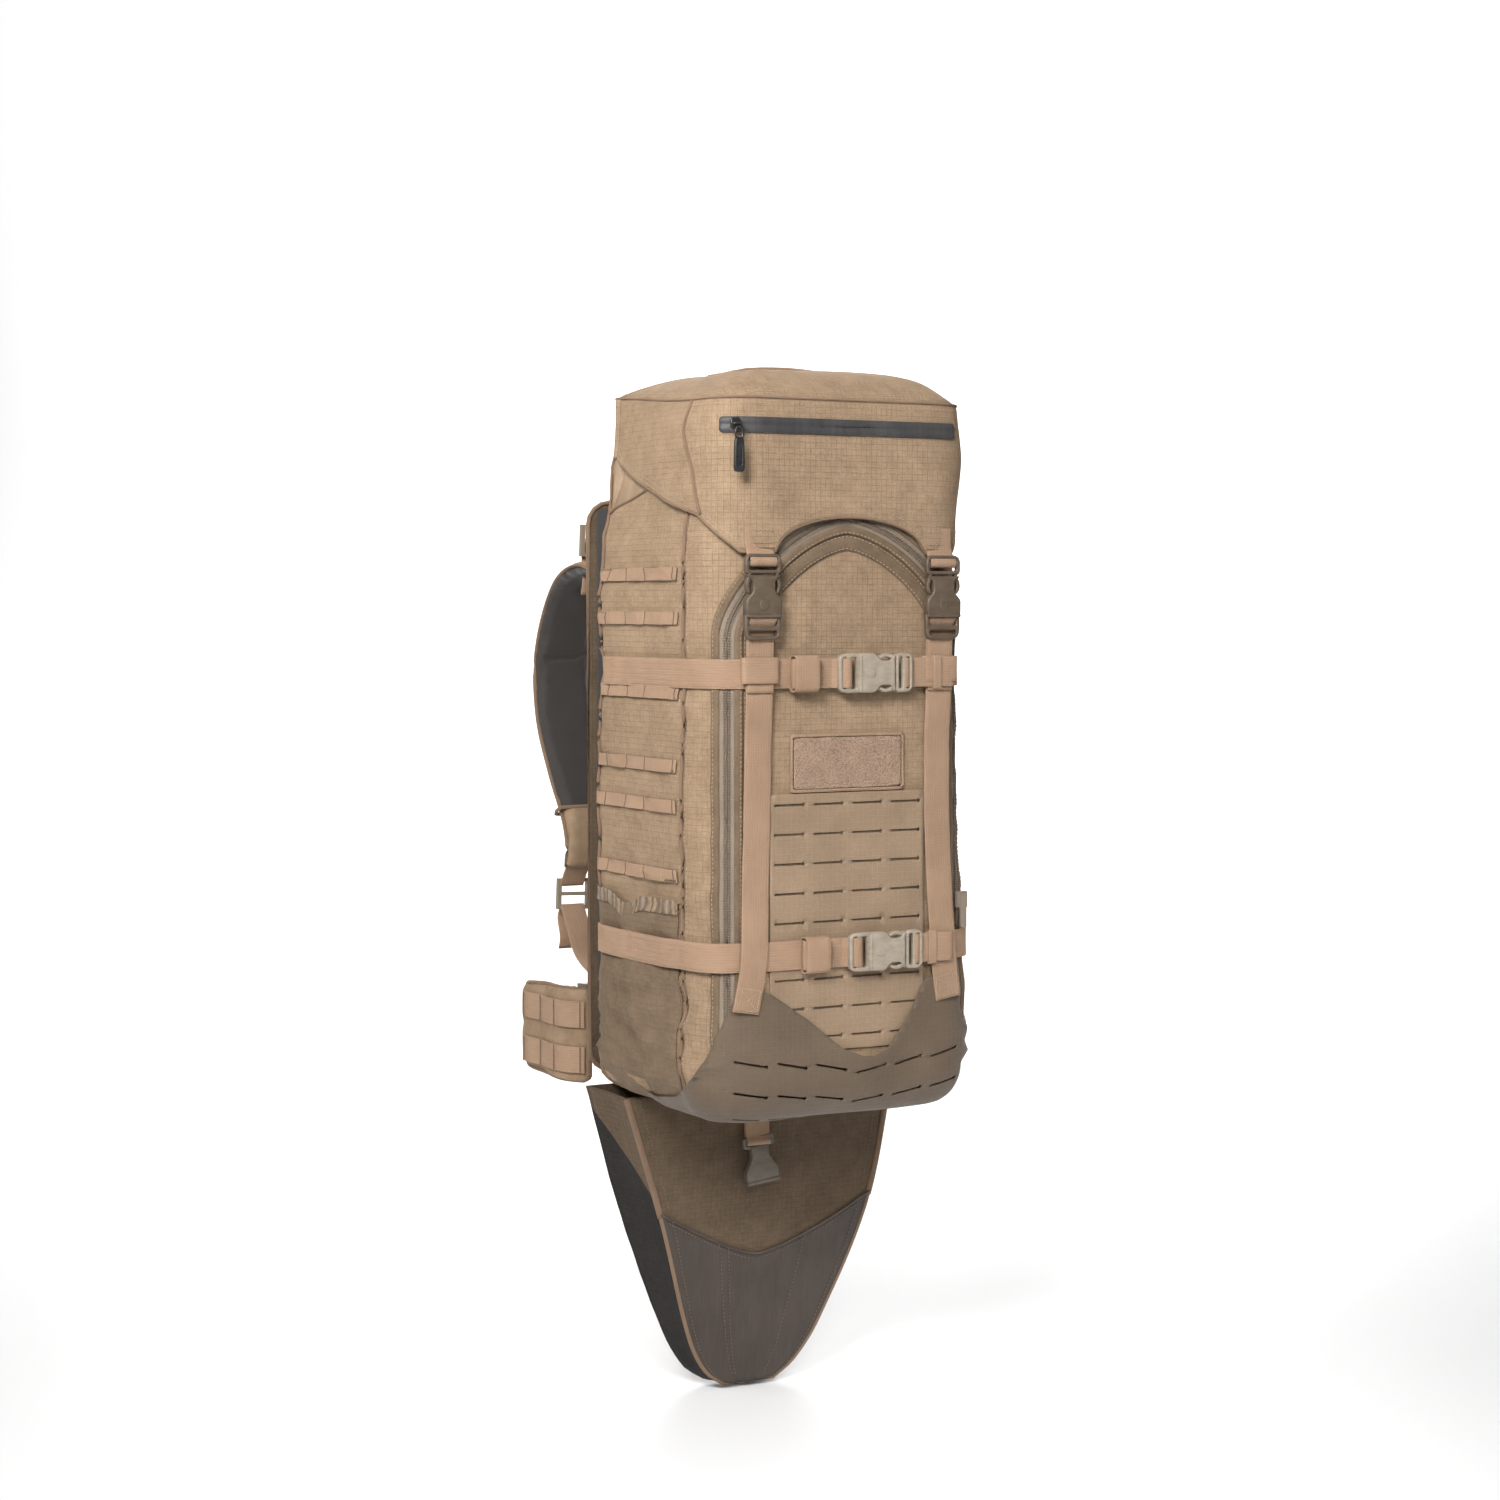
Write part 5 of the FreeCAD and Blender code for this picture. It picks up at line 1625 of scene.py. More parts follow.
def smooth_corners(points, step=2.0):
    """Straight runs between corners, with points along each."""
    out = []
    for a, b in zip(points[:-1], points[1:]):
        count = max(int(np.linalg.norm(np.subtract(b, a)) / step), 1)
        for k in range(count):
            out.append(np.asarray(a) + (np.asarray(b) - np.asarray(a)) * k / count)
    out.append(np.asarray(points[-1]))
    return np.array(out)


# ================================================================ lid
LID_SEAM_FRONT = 616.0
LID_SEAM_BACK = 627.0
LID_APEX = 647.0
ARCH_HALF = 72.0


def lid_seam_z(s):
    return LID_SEAM_FRONT + (LID_SEAM_BACK - LID_SEAM_FRONT) * ease(abs(s), 150.0, 330.0)


def lid_hem_z(s):
    """Height of the lid's lower edge: an arch between the tabs, rising at the sides."""
    a = abs(s)
    if a < ARCH_HALF:
        return 487.0 + 30.0 * math.sqrt(1.0 - (a / ARCH_HALF) ** 2)
    marks = ((ARCH_HALF, 487.0), (103.0, 486.5), (112.0, 495.0), (S_PIPING - 17.0, 519.0),
             (S_PIPING + 14.0, 527.0), (S_BACK_SEAM - 40.0, 556.0), (S_BACK_SEAM, 574.0),
             (HALF_ROUND, 578.0))
    return on_table(marks, a)


def lid_point(s, z, lift=0.0):
    """A point of the lid's skirt, lifted off it by `lift` mm."""
    run = min(abs(s), HALF_ROUND)
    section = section_at(s)
    sign = section[0]
    if s > 0:
        corner = -5.0 - 9.0 * (1.0 - ease(z, 510.0, 575.0)) - 9.0 * ease(z, 586.0, 632.0)
    else:
        corner = -3.5 * math.exp(-((z - 556.0) / 16.0) ** 2) - 11.0 * ease(z, 590.0, 630.0)
    share = side_share(s)
    side = corner * (1.0 - share) - (14.0 + 4.5 * ease(z, 556.0, 605.0)) * share
    turn = ease(run, 84.0, S_PIPING)
    push = 4.6 * (1.0 - turn) + side * turn
    push += (3.0 - push) * ease(run, S_BACK_SEAM + 6.0, S_BACK_SEAM + 46.0)
    loose = ease(run, 70.0, S_PIPING) * (1.0 - ease(run, S_BACK_SEAM - 10.0, S_BACK_SEAM + 20.0))
    away = min((lid_seam_z(s) - z) / 40.0, 1.0)
    fold = flow(s / 34.0 + z / 60.0, z / 52.0, 0.0, 21.0) * 3.4
    drag = flow((s - sign * (z - 616.0) * 0.55) / 20.0, z / 90.0, 0.0, 22.0) * 1.7
    push += (fold + drag) * loose * away
    taut = flow((s + sign * z * 0.35) / 26.0, (z + s * 0.4) / 90.0, 0.0, 23.0) * 0.9
    push += taut * (1.0 - loose) * away * ease(abs(s), 20.0, 90.0)
    push += 1.4 * ease(lid_hem_z(s) + 24.0 - z, 0.0, 24.0) * (1.0 - turn)
    puff = 1.2 * math.sin(min(max((z - 520.0) / 96.0, 0.0), 1.0) * math.pi)
    return pushed(section, push + (puff + lift), z)


def lid_dome_point(s, share, lift=0.0):
    """A point of the lid's top: share 1 at the seam, 0 in the middle."""
    edge = lid_point(s, lid_seam_z(s))[0]
    middle = np.array([0.0, -112.0, 0.0])
    flat = middle + (edge - middle) * share
    rise = 1.0 - share ** 3.8
    z = edge[2] * (1.0 - rise) + LID_APEX * rise
    corner = math.exp(-((abs(s) - 118.0) / 52.0) ** 2) * share ** 3 * (1.0 - share) * 8.0
    z += flow(s / 20.0, share * 3.2, 0.0, 31.0) * 3.4 * corner
    z += flow(flat[0] / 55.0, flat[1] / 48.0, 0.0, 32.0) * 1.6 * min((1.0 - share) * 5.0, 1.0)
    flat[2] = z + lift
    return flat


def lid_corner_s(z):
    """Distance round the bag of the lid's corner seam at a height."""
    return S_PIPING - 2.0 - on_table(((518.0, 20.0), (558.0, 8.0), (590.0, 1.0), (616.0, 0.0)), z)


class PACK_OT_lid(bpy.types.Operator):
    """Drape the lid with its arch, dome, seams, tabs, handle and collar"""

    bl_idname = "pack.lid"
    bl_label = "Lid"

    def execute(self, context):
        self.skirt()
        self.dome()
        self.trim()
        self.tabs()
        self.collar()
        return {"FINISHED"}

    def skirt(self):
        near = np.concatenate([s_run(-112.0, -74.0, 3.5)[:-1], s_run(-74.0, 74.0, 2.0),
                               s_run(74.0, 112.0, 3.5)[1:]])
        far = s_run(112.0, HALF_ROUND, 5.0)[1:]
        line = np.concatenate([-far[::-1], near, far])
        skirt = thicken(curtain("lid_skirt", line, 30, lid_hem_z, lid_seam_z,
                                lambda s, z, share: lid_point(s, z)[0]), 1.6, 1.0)
        dress(skirt, FINISHES["cloth"], "lid", ["lid_shell"])

    def dome(self):
        line = s_run(-HALF_ROUND, HALF_ROUND, 6.0)[:-1]
        shares = np.linspace(1.0, 0.0, 26)[:-1]
        points = []
        uvs = []
        for share in shares:
            for s in line:
                point = lid_dome_point(s, share, 1.5)
                points.append(point)
                uvs.append((point[0], point[1]))
        points.append(lid_dome_point(0.0, 0.0, 1.5))
        uvs.append((points[-1][0], points[-1][1]))
        count = len(line)
        faces = grid_faces(len(shares), count, closed=True)
        last = (len(shares) - 1) * count
        faces += [(last + k, last + (k + 1) % count, len(points) - 1) for k in range(count)]
        dome = new_piece("lid_dome", points, faces, uvs)
        dome = outward(thicken(dome, 1.4), False)
        dress(dome, FINISHES["cloth"], "lid")
        floor = [lid_dome_point(s, 0.985) * np.array([0.985, 0.985, 0.0]) + (0, -1.6, 600.0)
                 for s in line]
        middle = (0.0, -105.0, 599.0)
        faces = [(k, (k + 1) % count, count) for k in range(count)]
        sheet = new_piece("lid_pocket_lining", floor + [middle], faces,
                          [(p[0], p[1]) for p in floor + [middle]])
        # The lid pocket's floor takes the cloth darkened as painted shade.
        dress(outward(thicken(sheet, 1.0), False), FINISHES["lining"], "lid",
              ["lid_pocket_floor"])

    def trim(self):
        radius = sizes().piping * 1000.0
        seams = []
        ring = [lid_point(s, lid_seam_z(s), 1.5)[0] + (0, 0, 0.8)
                for s in s_run(-HALF_ROUND, HALF_ROUND, 6.0)]
        seams.append(tube("seam", np.array(ring), radius * 0.62, 8))
        for side in (-1.0, 1.0):
            line = [lid_point(side * lid_corner_s(z), z, 1.8)[0]
                    for z in np.linspace(519.0, 616.0, 26)]
            seams.append(tube("seam", np.array(line), radius * 0.9, 8))
        hem = [lid_point(s, lid_hem_z(s), 0.8)[0] for s in s_run(-HALF_ROUND, HALF_ROUND, 3.0)]
        seams.append(tube("hem", np.array(hem), 1.15, 6))
        dress(join("lid_piping", seams), FINISHES["binding"], "lid")
        rows = []
        for above in (4.0, 8.0):
            rows.append(np.array([lid_point(s, lid_hem_z(s) + above, 1.75)[0]
                                  for s in s_run(-S_BACK_SEAM, S_BACK_SEAM, 3.0)]))
        for side in (-1.0, 1.0):
            for shift in (-4.5, 5.0):
                rows.append(np.array([
                    lid_point(side * (lid_corner_s(z) + shift), z, 1.75)[0]
                    for z in np.linspace(524.0, 612.0, 20)]))
        rows.append(np.array([lid_point(s, lid_seam_z(s) - 4.0, 1.75)[0]
                              for s in s_run(-S_PIPING, S_PIPING, 5.0)]))
        for share in (0.972, 0.955):
            rows.append(np.array([lid_dome_point(s, share, 1.7)
                                  for s in s_run(-HALF_ROUND, HALF_ROUND, 6.0)]))
        stitches("lid_stitches", rows, "lid", radius=0.36, seed=4)

    def tabs(self):
        width = sizes().webbing * 1000.0
        thick = sizes().webbing_thick * 1000.0
        straps = []
        rows = []
        for side in (-1.0, 1.0):
            x = side * 88.0
            path = smooth_path([(x, -219.6, 509.0), (x, -220.4, 496.0), (x, -222.6, 487.5),
                                (x, -226.4, 484.0), (x, -229.6, 481.0), (x, -230.2, 478.0),
                                (x, -228.0, 475.4), (x, -225.4, 477.0), (x, -224.4, 482.0),
                                (x, -222.0, 489.5)], 2.0)
            tangent = unit(np.gradient(path, axis=0))
            out = np.stack([tangent[:, 2] * 0.0, tangent[:, 2], -tangent[:, 1]], axis=1)
            straps.append(ribbon("tab", path, out, width, thick, 0.5))
            for z in (491.0, 494.5, 505.0):
                rows.append(np.array([lid_point(x + a, z, 2.3)[0]
                                      for a in np.linspace(-11.0, 11.0, 10)]))
        dress(join("lid_tab_straps", straps), FINISHES["webbing"], "lid",
              ["lid_tabs"])
        stitches("lid_tab_stitches", rows, "lid", seed=6)
        handle = smooth_path([(-62.0, -82.0, 646.5), (-50.0, -82.0, 648.5),
                              (-36.0, -82.0, 652.0), (0.0, -82.0, 654.0), (36.0, -82.0, 652.0),
                              (50.0, -82.0, 648.5), (62.0, -82.0, 646.5)], 4.0)
        strap = ribbon("lid_grab_handle", handle, (0, 0, 1), width, 2.4, 0.7, 0.4, 9)
        dress(strap, FINISHES["webbing"], "lid", ["lid_handle"])

    def collar(self):
        def place(s, z, share):
            point = bag_point(s, min(z, 588.0), -1.6 - 3.0 * share)[0]
            return np.array([point[0], point[1], z])

        collar = thicken(curtain("collar_cloth", s_run(-HALF_ROUND, HALF_ROUND, 6.0), 8,
                                 lambda s: bag_rim(s) - 14.0, lambda s: 604.0, place), 0.8)
        dress(outward(collar, False), FINISHES["collar"], "pack", ["collar"])
        rim = [bag_point(s, bag_rim(s), 0.2)[0] for s in s_run(-HALF_ROUND, HALF_ROUND, 5.0)]
        dress(tube("bag_rim_binding", np.array(rim), 1.3, 8), FINISHES["binding"], "pack")


class PACK_OT_lid_zip(bpy.types.Operator):
    """Fit the lid's rubber-lipped zip, its slider and its moulded puller"""

    bl_idname = "pack.lid_zip"
    bl_label = "Lid zip"

    def execute(self, context):
        low, high = node_box("lid_zip_tape")
        middle = (low[2] + high[2]) / 2.0
        half = (high[2] - low[2]) / 2.0

        def lips(s, z):
            off = abs(z - middle)
            seam = -1.1 * math.exp(-(off / 0.55) ** 2)
            crown = 0.8 * math.sin(min(off / half, 1.0) * math.pi)
            nick = 0.12 * flow(s / 9.0, z / 3.0, 0.0, 41.0)
            return lid_point(s, z, 2.3 + seam + crown + nick)[0]

        outline = rounded(low[0] + 1.0, high[0], low[2], high[2], 3.0)
        dress(lay("lid_zip_lips", outline, lips, 0.7, (), 1.6), FINISHES["zip_rubber"], "lid",
              ["lid_zip_tape"])
        rows = []
        for z in (low[2] - 2.6, high[2] + 2.6):
            rows.append(np.array([lid_point(s, z, 1.75)[0]
                                  for s in s_run(low[0], high[0], 5.0)]))
        for s in (low[0] - 2.0, high[0] + 2.4):
            rows.append(np.array([lid_point(s, z, 1.75)[0]
                                  for z in np.linspace(low[2] - 2.0, high[2] + 2.0, 8)]))
        stitches("lid_zip_stitches", rows, "lid", finish="thread", radius=0.36, seed=8)
        self.slider()
        self.puller()
        return {"FINISHED"}

    def slider(self):
        low, high = node_box("lid_zip_slider")
        cx, cz = (low[0] + high[0]) / 2.0, (low[2] + high[2]) / 2.0
        spot = across_front(cx, low[1] + 2.6, cz)
        wing = [(-5.0, 3.6), (-3.0, 5.2), (2.0, 5.6), (5.0, 3.0), (5.0, -3.0), (2.0, -5.6),
                (-3.0, -5.2), (-5.0, -3.6)]
        parts = [plate("slider", wing, [], 2.6, 0.8, spot)]
        bridge = smooth_path([(cx - 4.0, low[1] + 2.4, cz), (cx - 3.2, low[1] - 0.4, cz),
                              (cx, low[1] - 1.2, cz), (cx + 3.2, low[1] - 0.4, cz),
                              (cx + 4.0, low[1] + 2.4, cz)], 1.0)
        parts.append(tube("slider", bridge, 1.2, 8))
        dress(join("lid_slider_body", parts), FINISHES["zip_black"], "lid_zip",
              ["lid_zip_slider"])

    def puller(self):
        low, high = node_box("lid_zip_puller")
        cx = (low[0] + high[0]) / 2.0
        y = (low[1] + high[1]) / 2.0
        top = high[2]

        def spot(points):
            return np.stack([cx - points[:, 1], y - points[:, 2], top + points[:, 0]], axis=1)

        grip = mirrored([(-38.0, 2.6), (-37.0, 4.2), (-34.0, 4.9), (-12.0, 4.2), (-9.0, 3.2)])
        hollow = rounded(-33.0, -15.0, -2.0, 2.0, 1.6)[::-1]
        parts = [plate("grip", grip, [hollow], 3.6, 0.9, spot)]
        parts.append(plate("grip", rounded(-34.0, -14.0, -2.8, 2.8, 2.0), [], 2.0, 0.5, spot))
        ring = []
        for angle in np.arange(0.0, 361.0, 20.0):
            a = math.radians(angle)
            ring.append((cx + 3.4 * math.sin(a), y + 0.2, top - 5.6 + 5.4 * math.cos(a)))
        parts.append(tube("grip", np.array(ring), 0.95, 8, hint=(0, 1, 0)))
        dress(join("lid_puller_grip", parts), FINISHES["zip_black"], "lid_puller",
              ["lid_zip_puller"])


# ================================================================ sides
SIDE_ROWS = (469.0, 431.0, 367.0, 304.0, 269.0, 209.0)
POCKET_TOP = 188.0


class PACK_OT_sides(bpy.types.Operator):
    """Sew the webbing rows and the gathered pockets on both sides"""

    bl_idname = "pack.sides"
    bl_label = "Sides"

    def execute(self, context):
        start = S_PIPING + 7.0
        end = S_BACK_SEAM - 3.0
        tacks = [end - 16.0, end - 52.0, end - 88.0, start + 5.0]
        rows = []
        marks = []
        pockets = []
        bands = []
        for side in (-1.0, 1.0):
            for z in SIDE_ROWS:
                def puffed(s, height):
                    near = min(abs(abs(s) - t) for t in tacks)
                    return bag_point(s, height, 1.0 + 1.5 * ease(near, 1.0, 11.0))[0]

                rows.append(lay("row", rounded(*sorted((side * start, side * end)), z - 5.5,
                                               z + 5.5, 0.6), puffed, 1.1, (), 4.0))
                for t in tacks:
                    marks.append(np.array([bag_point(side * t, h, 2.3)[0]
                                           for h in np.linspace(z - 4.6, z + 4.6, 7)]))
            pockets.append(self.pocket(side, start - 2.0, end + 2.0))
            bands.append(self.band(side, start - 2.0, end + 2.0))
        dress(join("side_rows", rows), FINISHES["webbing"], "pack",
              ["side_webbing"])
        stitches("side_row_tacks", marks, finish="dark_thread", pitch=1.1, radius=0.5)
        # The side pockets take the cloth darkened as painted shade.
        dress(join("side_pocket_cloth", pockets), FINISHES["lining"], "pack",
              ["side_pockets"])
        dress(join("side_pocket_elastic", bands), FINISHES["elastic"], "pack")
        return {"FINISHED"}

    def pocket_place(self, s, z, lift=0.0):
        loose = pocket_swell(s, z) / 11.5
        under = ease(STRAP_LOW - z, 8.0, 40.0)
        pleat = abs(flow(s / 24.0 + z / 160.0, z / 120.0, 0.0, 51.0)) * 9.0 - 3.0
        soft = flow(s / 17.0, z / 30.0, 0.0, 52.0) * 2.0
        mouth = 3.0 * ease(z, 168.0, 186.0) * flow(s / 13.0, 0.0, 0.0, 53.0)
        free = 1.0 - math.exp(-((z - STRAP_LOW) / 19.0) ** 4)
        push = 0.9 + pocket_swell(s, z) + free * (loose * (pleat * under + soft) + mouth)
        return under_point(s, z, max(push, 1.0) + lift)

    def pocket(self, side, start, end):
        line = s_run(*sorted((side * start, side * end)), 4.0)
        points = []
        uvs = []
        rows = z_run(-12.0, POCKET_TOP - 8.0, 5.0)
        for z in rows:
            for s in line:
                points.append(self.pocket_place(s, z))
                uvs.append((s, z))
        cloth = new_piece("pocket", points, grid_faces(len(rows), len(line)), uvs)
        return outward(thicken(cloth, 1.0), False)

    def band(self, side, start, end):
        line = s_run(*sorted((side * start, side * end)), 1.6)
        points = []
        uvs = []
        rows = np.linspace(POCKET_TOP - 12.0, POCKET_TOP, 6)
        for z in rows:
            for s in line:
                ruffle = 1.3 * math.sin(s * 1.15 + 2.0 * flow(s / 9.0, 0.0, 0.0, 54.0))
                dip = -9.0 * oval_bump(abs(s), (start + end) / 2.0 + 10.0, 34.0)
                place = self.pocket_place(s, min(z, 182.0), 1.4 + ruffle)
                points.append(place + (0.0, 0.0, z - min(z, 182.0) + dip + 0.6 * ruffle))
                uvs.append((s, z))
        cloth = new_piece("band", points, grid_faces(len(rows), len(line)), uvs)
        return outward(thicken(cloth, 1.6), False)


# ================================================================ scabbard
# Each level: its height, then x at the back left, front left and right edges.
TAIL_LEVELS = ((-291.0, -24.0, -14.0, 34.0), (-275.0, -46.0, -36.0, 56.0),
               (-240.0, -66.0, -55.0, 80.0), (-128.0, -105.0, -88.0, 126.0),
               (-4.0, -137.0, -131.0, 145.0))
TAIL_CURVES = [smooth_path([(level[k], 0.0, level[0]) for level in TAIL_LEVELS], 4.0)
               for k in (1, 2, 3)]


def tail_edge(z, column):
    """One of the tail's edges at a height: 1 back left, 2 front left, 3 right."""
    curve = TAIL_CURVES[column - 1]
    return float(np.interp(z, curve[:, 2], curve[:, 0]))


def tail_ys(z):
    share = (-8.0 - z) / 284.0
    return -42.0 + 33.0 * share, 34.0 - 18.0 * share


def tail_front(t, z, lift=0.0):
    """A point of the tail's front face; t runs from its left edge to its right."""
    x0, x1 = tail_edge(z, 2), tail_edge(z, 3)
    front, unused = tail_ys(z)
    crown = math.sin(math.pi * min(max(t, 0.0), 1.0)) ** 0.7
    pull = flow(t * 5.0 + z / 60.0, z / 70.0, 0.0, 61.0) * 2.4
    pull += abs(flow(t * 3.0 - z / 45.0, z / 110.0, 0.0, 62.0)) * 3.0
    fade = ease(-z, 0.0, 30.0)
    return np.array([x0 + (x1 - x0) * t, front - 1.5 * crown - pull * fade * crown + 1.0 - lift, z])


def tail_cut_z(t):
    """Height of the coated tip's upper edge."""
    lowest = 0.46
    reach = lowest if t < lowest else 1.0 - lowest
    return -165.0 + 48.0 * abs((t - lowest) / reach) ** 1.5


class PACK_OT_scabbard(bpy.types.Operator):
    """Loft the folding tail with its coated tip, and the sleeve above it"""

    bl_idname = "pack.scabbard"
    bl_label = "Scabbard"

    def execute(self, context):
        # The tail's front takes the cloth darkened as painted shade.
        self.front(0.0, "tail_front_cloth", FINISHES["dark_cloth"], "tail_upper")
        self.front(1.4, "tail_tip_cloth", FINISHES["coated"], "tail_tip")
        self.gussets()
        self.trim()
        self.buckle_half()
        self.sleeve()
        return {"FINISHED"}

    def front(self, lift, name, finish, node):
        columns = np.linspace(0.0, 1.0, 41)
        points = []
        uvs = []
        rows = 34
        for share in np.linspace(0.0, 1.0, rows):
            for t in columns:
                cut = tail_cut_z(t)
                low, high = (cut - 6.0, -4.0) if lift == 0.0 else (-290.5, cut)
                z = low + (high - low) * share
                points.append(tail_front(t, z, lift))
                uvs.append((points[-1][0], z))
        sheet = new_piece(name, points, grid_faces(rows, len(columns)), uvs)
        sheet = dress(outward(thicken(sheet, 1.1), False), finish, "tail",
                      [node])
        cut_sheet(sheet)

    def gussets(self):
        """The sides and back: the tan cloth, darkened as painted shade, above, and the black inner
        cloth below the slanting cut.
        """
        columns = [(0, t) for t in np.linspace(0.0, 1.0, 8)]
        columns += [(1, t) for t in np.linspace(0.0, 1.0, 20)[1:]]
        columns += [(2, t) for t in np.linspace(0.0, 1.0, 8)[1:]]
        points = []
        uvs = []
        rows, border = 51, 40
        for row in range(rows):
            for k, (part, t) in enumerate(columns):
                cut = -108.0 + 84.0 * t if part == 0 else -24.0
                if row < border:
                    z = -290.5 + (cut + 290.5) * row / border
                else:
                    z = cut + (-4.0 - cut) * (row - border) / (rows - 1 - border)
                front, back = tail_ys(z)
                x0, x1, x2 = tail_edge(z, 2), tail_edge(z, 1), tail_edge(z, 3)
                right = max(x2 - 4.0, x1 + 8.0)
                bow = math.sin(math.pi * t)
                x, y = ((x0 + (x1 - x0) * t + 4.0 * bow, front + (back - front) * t),
                        (x1 + (right - x1) * t, back - 2.0 * bow),
                        (right + (x2 - right) * t - 3.0 * bow, back + (front - back) * t))[part]
                wave = 1.2 * flow(x / 22.0, y / 22.0, z / 26.0, 63.0)
                points.append((x + wave * 0.6, y + (wave if part == 1 else 0.0), z))
                uvs.append((k * 6.0, z))
        faces = [f[::-1] for f in grid_faces(rows, len(columns))]
        shell = new_piece("tail_gussets", points, faces, uvs)
        # The tan part takes the cloth darkened as painted shade.
        shell.data.materials.append(FINISHES["dark_cloth"])
        shell.data.materials.append(FINISHES["black_cloth"])
        for number, face in enumerate(shell.data.polygons):
            row, k = divmod(number, len(columns) - 1)
            face.material_index = 1 if row < border and k < 7 else 0
        shell = outward(thicken(shell, 1.1, 1.0), False)
        dress(shell, None, "tail")
        ring = points[:len(columns)] + [tuple(tail_front(t, -290.5))
                                        for t in np.linspace(1.0, 0.0, 16)[1:-1]]
        foot = new_piece("tail_foot", ring, [list(range(len(ring)))], [p[:2] for p in ring])
        dress(outward(thicken(foot, 1.4), False), FINISHES["coated"], "tail")

    def trim(self):
        cords = []
        rows = []
        for t in (0.0, 1.0):
            for z0, z1, radius in ((-5.0, -120.0, 3.2), (-116.0, -290.0, 2.4)):
                line = np.array([tail_front(t, z, 0.5) for z in np.linspace(z0, z1, 34)])
                cords.append(tube("edge", line, radius, 10, 0.55, (0, -1, 0)))
            inside = 0.045 if t == 0.0 else 0.955
            for z0, z1, lift in ((-8.0, -110.0, 0.4), (-122.0, -286.0, 1.9)):
                rows.append(np.array([tail_front(inside, z, lift)
                                      for z in np.linspace(z0, z1, 30)]))
        foot = [tail_front(t, -290.0, 0.4) + (0.0, 5.0 * math.sin(math.pi * t), 0.0)
                for t in np.linspace(0.0, 1.0, 16)]
        cords.append(tube("foot", np.array(foot), 2.0, 8))
        line = np.array([tail_front(t, tail_cut_z(t), 1.6) for t in np.linspace(0.0, 1.0, 40)])
        rim = tube("tail_tip_rim", line, 1.3, 8)
        dress(rim, FINISHES["coated_edge"], "tail")
        dress(join("tail_binding", cords), FINISHES["binding"], "tail")
        for t in (0.24, 0.285, 0.72):
            rows.append(np.array([tail_front(t + (0.5 - t) * 0.12 * (z / -290.0), z, 1.8)
                                  for z in np.linspace(tail_cut_z(t) - 4.0, -280.0, 30)]))
        rows.append(np.array([tail_front(t, tail_cut_z(t) - 5.0, 1.8)
                              for t in np.linspace(0.03, 0.97, 40)]))
        stitches("tail_stitches", rows, "tail", "dark_thread", radius=0.4, seed=12)

    def buckle_half(self):
        low, high = node_box("tail_buckle_half")
        width = sizes().webbing * 1000.0
        y = (low[1] + high[1]) / 2.0
        top = high[2]

        def spot(points):
            lean = math.radians(7.0)
            x = points[:, 0] * math.cos(lean) - points[:, 1] * math.sin(lean)
            z = points[:, 0] * math.sin(lean) + points[:, 1] * math.cos(lean)
            return np.stack([x, y - points[:, 2], top + z], axis=1)

        bar = rounded(-16.0, 16.0, -11.0, 0.0, 3.0)
        slot = rounded(-12.6, 12.6, -8.0, -4.2, 1.4)[::-1]
        body = [(-9.5, -9.0), (-9.0, -20.0), (-15.0, -30.0), (-17.0, -33.0), (-16.4, -43.0),
                (16.4, -43.0), (17.0, -33.0), (15.0, -30.0), (9.0, -20.0), (9.5, -9.0)]
        parts = [plate("half", bar, [slot], 5.0, 1.1, spot),
                 plate("half", body, [], 7.6, 1.4, spot),
                 plate("half", rounded(-16.8, 16.8, -45.0, -41.6, 1.2), [], 9.0, 0.6, spot)]
        dress(join("tail_buckle_plate", parts), FINISHES["grey_buckle"], "tail",
              ["tail_buckle_half"])
        path = smooth_path([(0.0, y + 1.6, -12.0), (0.0, y - 0.6, -36.0), (0.0, y - 1.6, top - 1.0),
                            (0.0, y - 4.2, top - 5.0), (0.0, y - 3.2, top - 8.0),
                            (0.0, y + 1.4, top - 7.0), (0.0, y + 2.0, -30.0)], 2.0)
        tangent = unit(np.gradient(path, axis=0))
        out = np.stack([tangent[:, 2] * 0.0, tangent[:, 2], -tangent[:, 1]], axis=1)
        dress(ribbon("tail_buckle_strap", path, out, width - 1.5, 1.6), FINISHES["webbing"],
              "tail", ["tail_webbing"])

    def sleeve(self):
        """The scabbard's open sleeve between the bag and the frame."""
        low, high = node_box("scabbard_sleeve")
        levels = z_run(low[2], high[2], 11.0)
        points = []
        uvs = []
        middle = (low[1] + high[1]) / 2.0
        deep = (high[1] - low[1]) / 2.0 - 1.0
        half = high[0] + 14.0
        count = 72
        for z in levels:
            for k in range(count):
                a = 2.0 * math.pi * k / count
                c, s = math.cos(a), math.sin(a)
                x = half * math.copysign(abs(c) ** 0.35, c)
                y = deep * math.copysign(abs(s) ** 0.35, s)
                sag = 1.0 + 0.05 * flow(x / 30.0, z / 50.0, y / 30.0, 71.0)
                points.append((x * sag - 3.0 * flow(z / 40.0, y / 20.0, 0.0, 72.0) * abs(c),
                               middle + y * 0.96, z))
                uvs.append((x + y, z))
        shell = new_piece("sleeve_cloth", points, grid_faces(len(levels), count, True), uvs)
        shell = outward(thicken(shell, 1.2), False)
        dress(shell, FINISHES["cloth"], "pack", ["scabbard_sleeve"])
        rim = [points[(len(levels) - 1) * count + k % count] for k in range(count + 1)]
        dress(tube("sleeve_rim", np.array(rim), 1.9, 8), FINISHES["binding"], "pack")


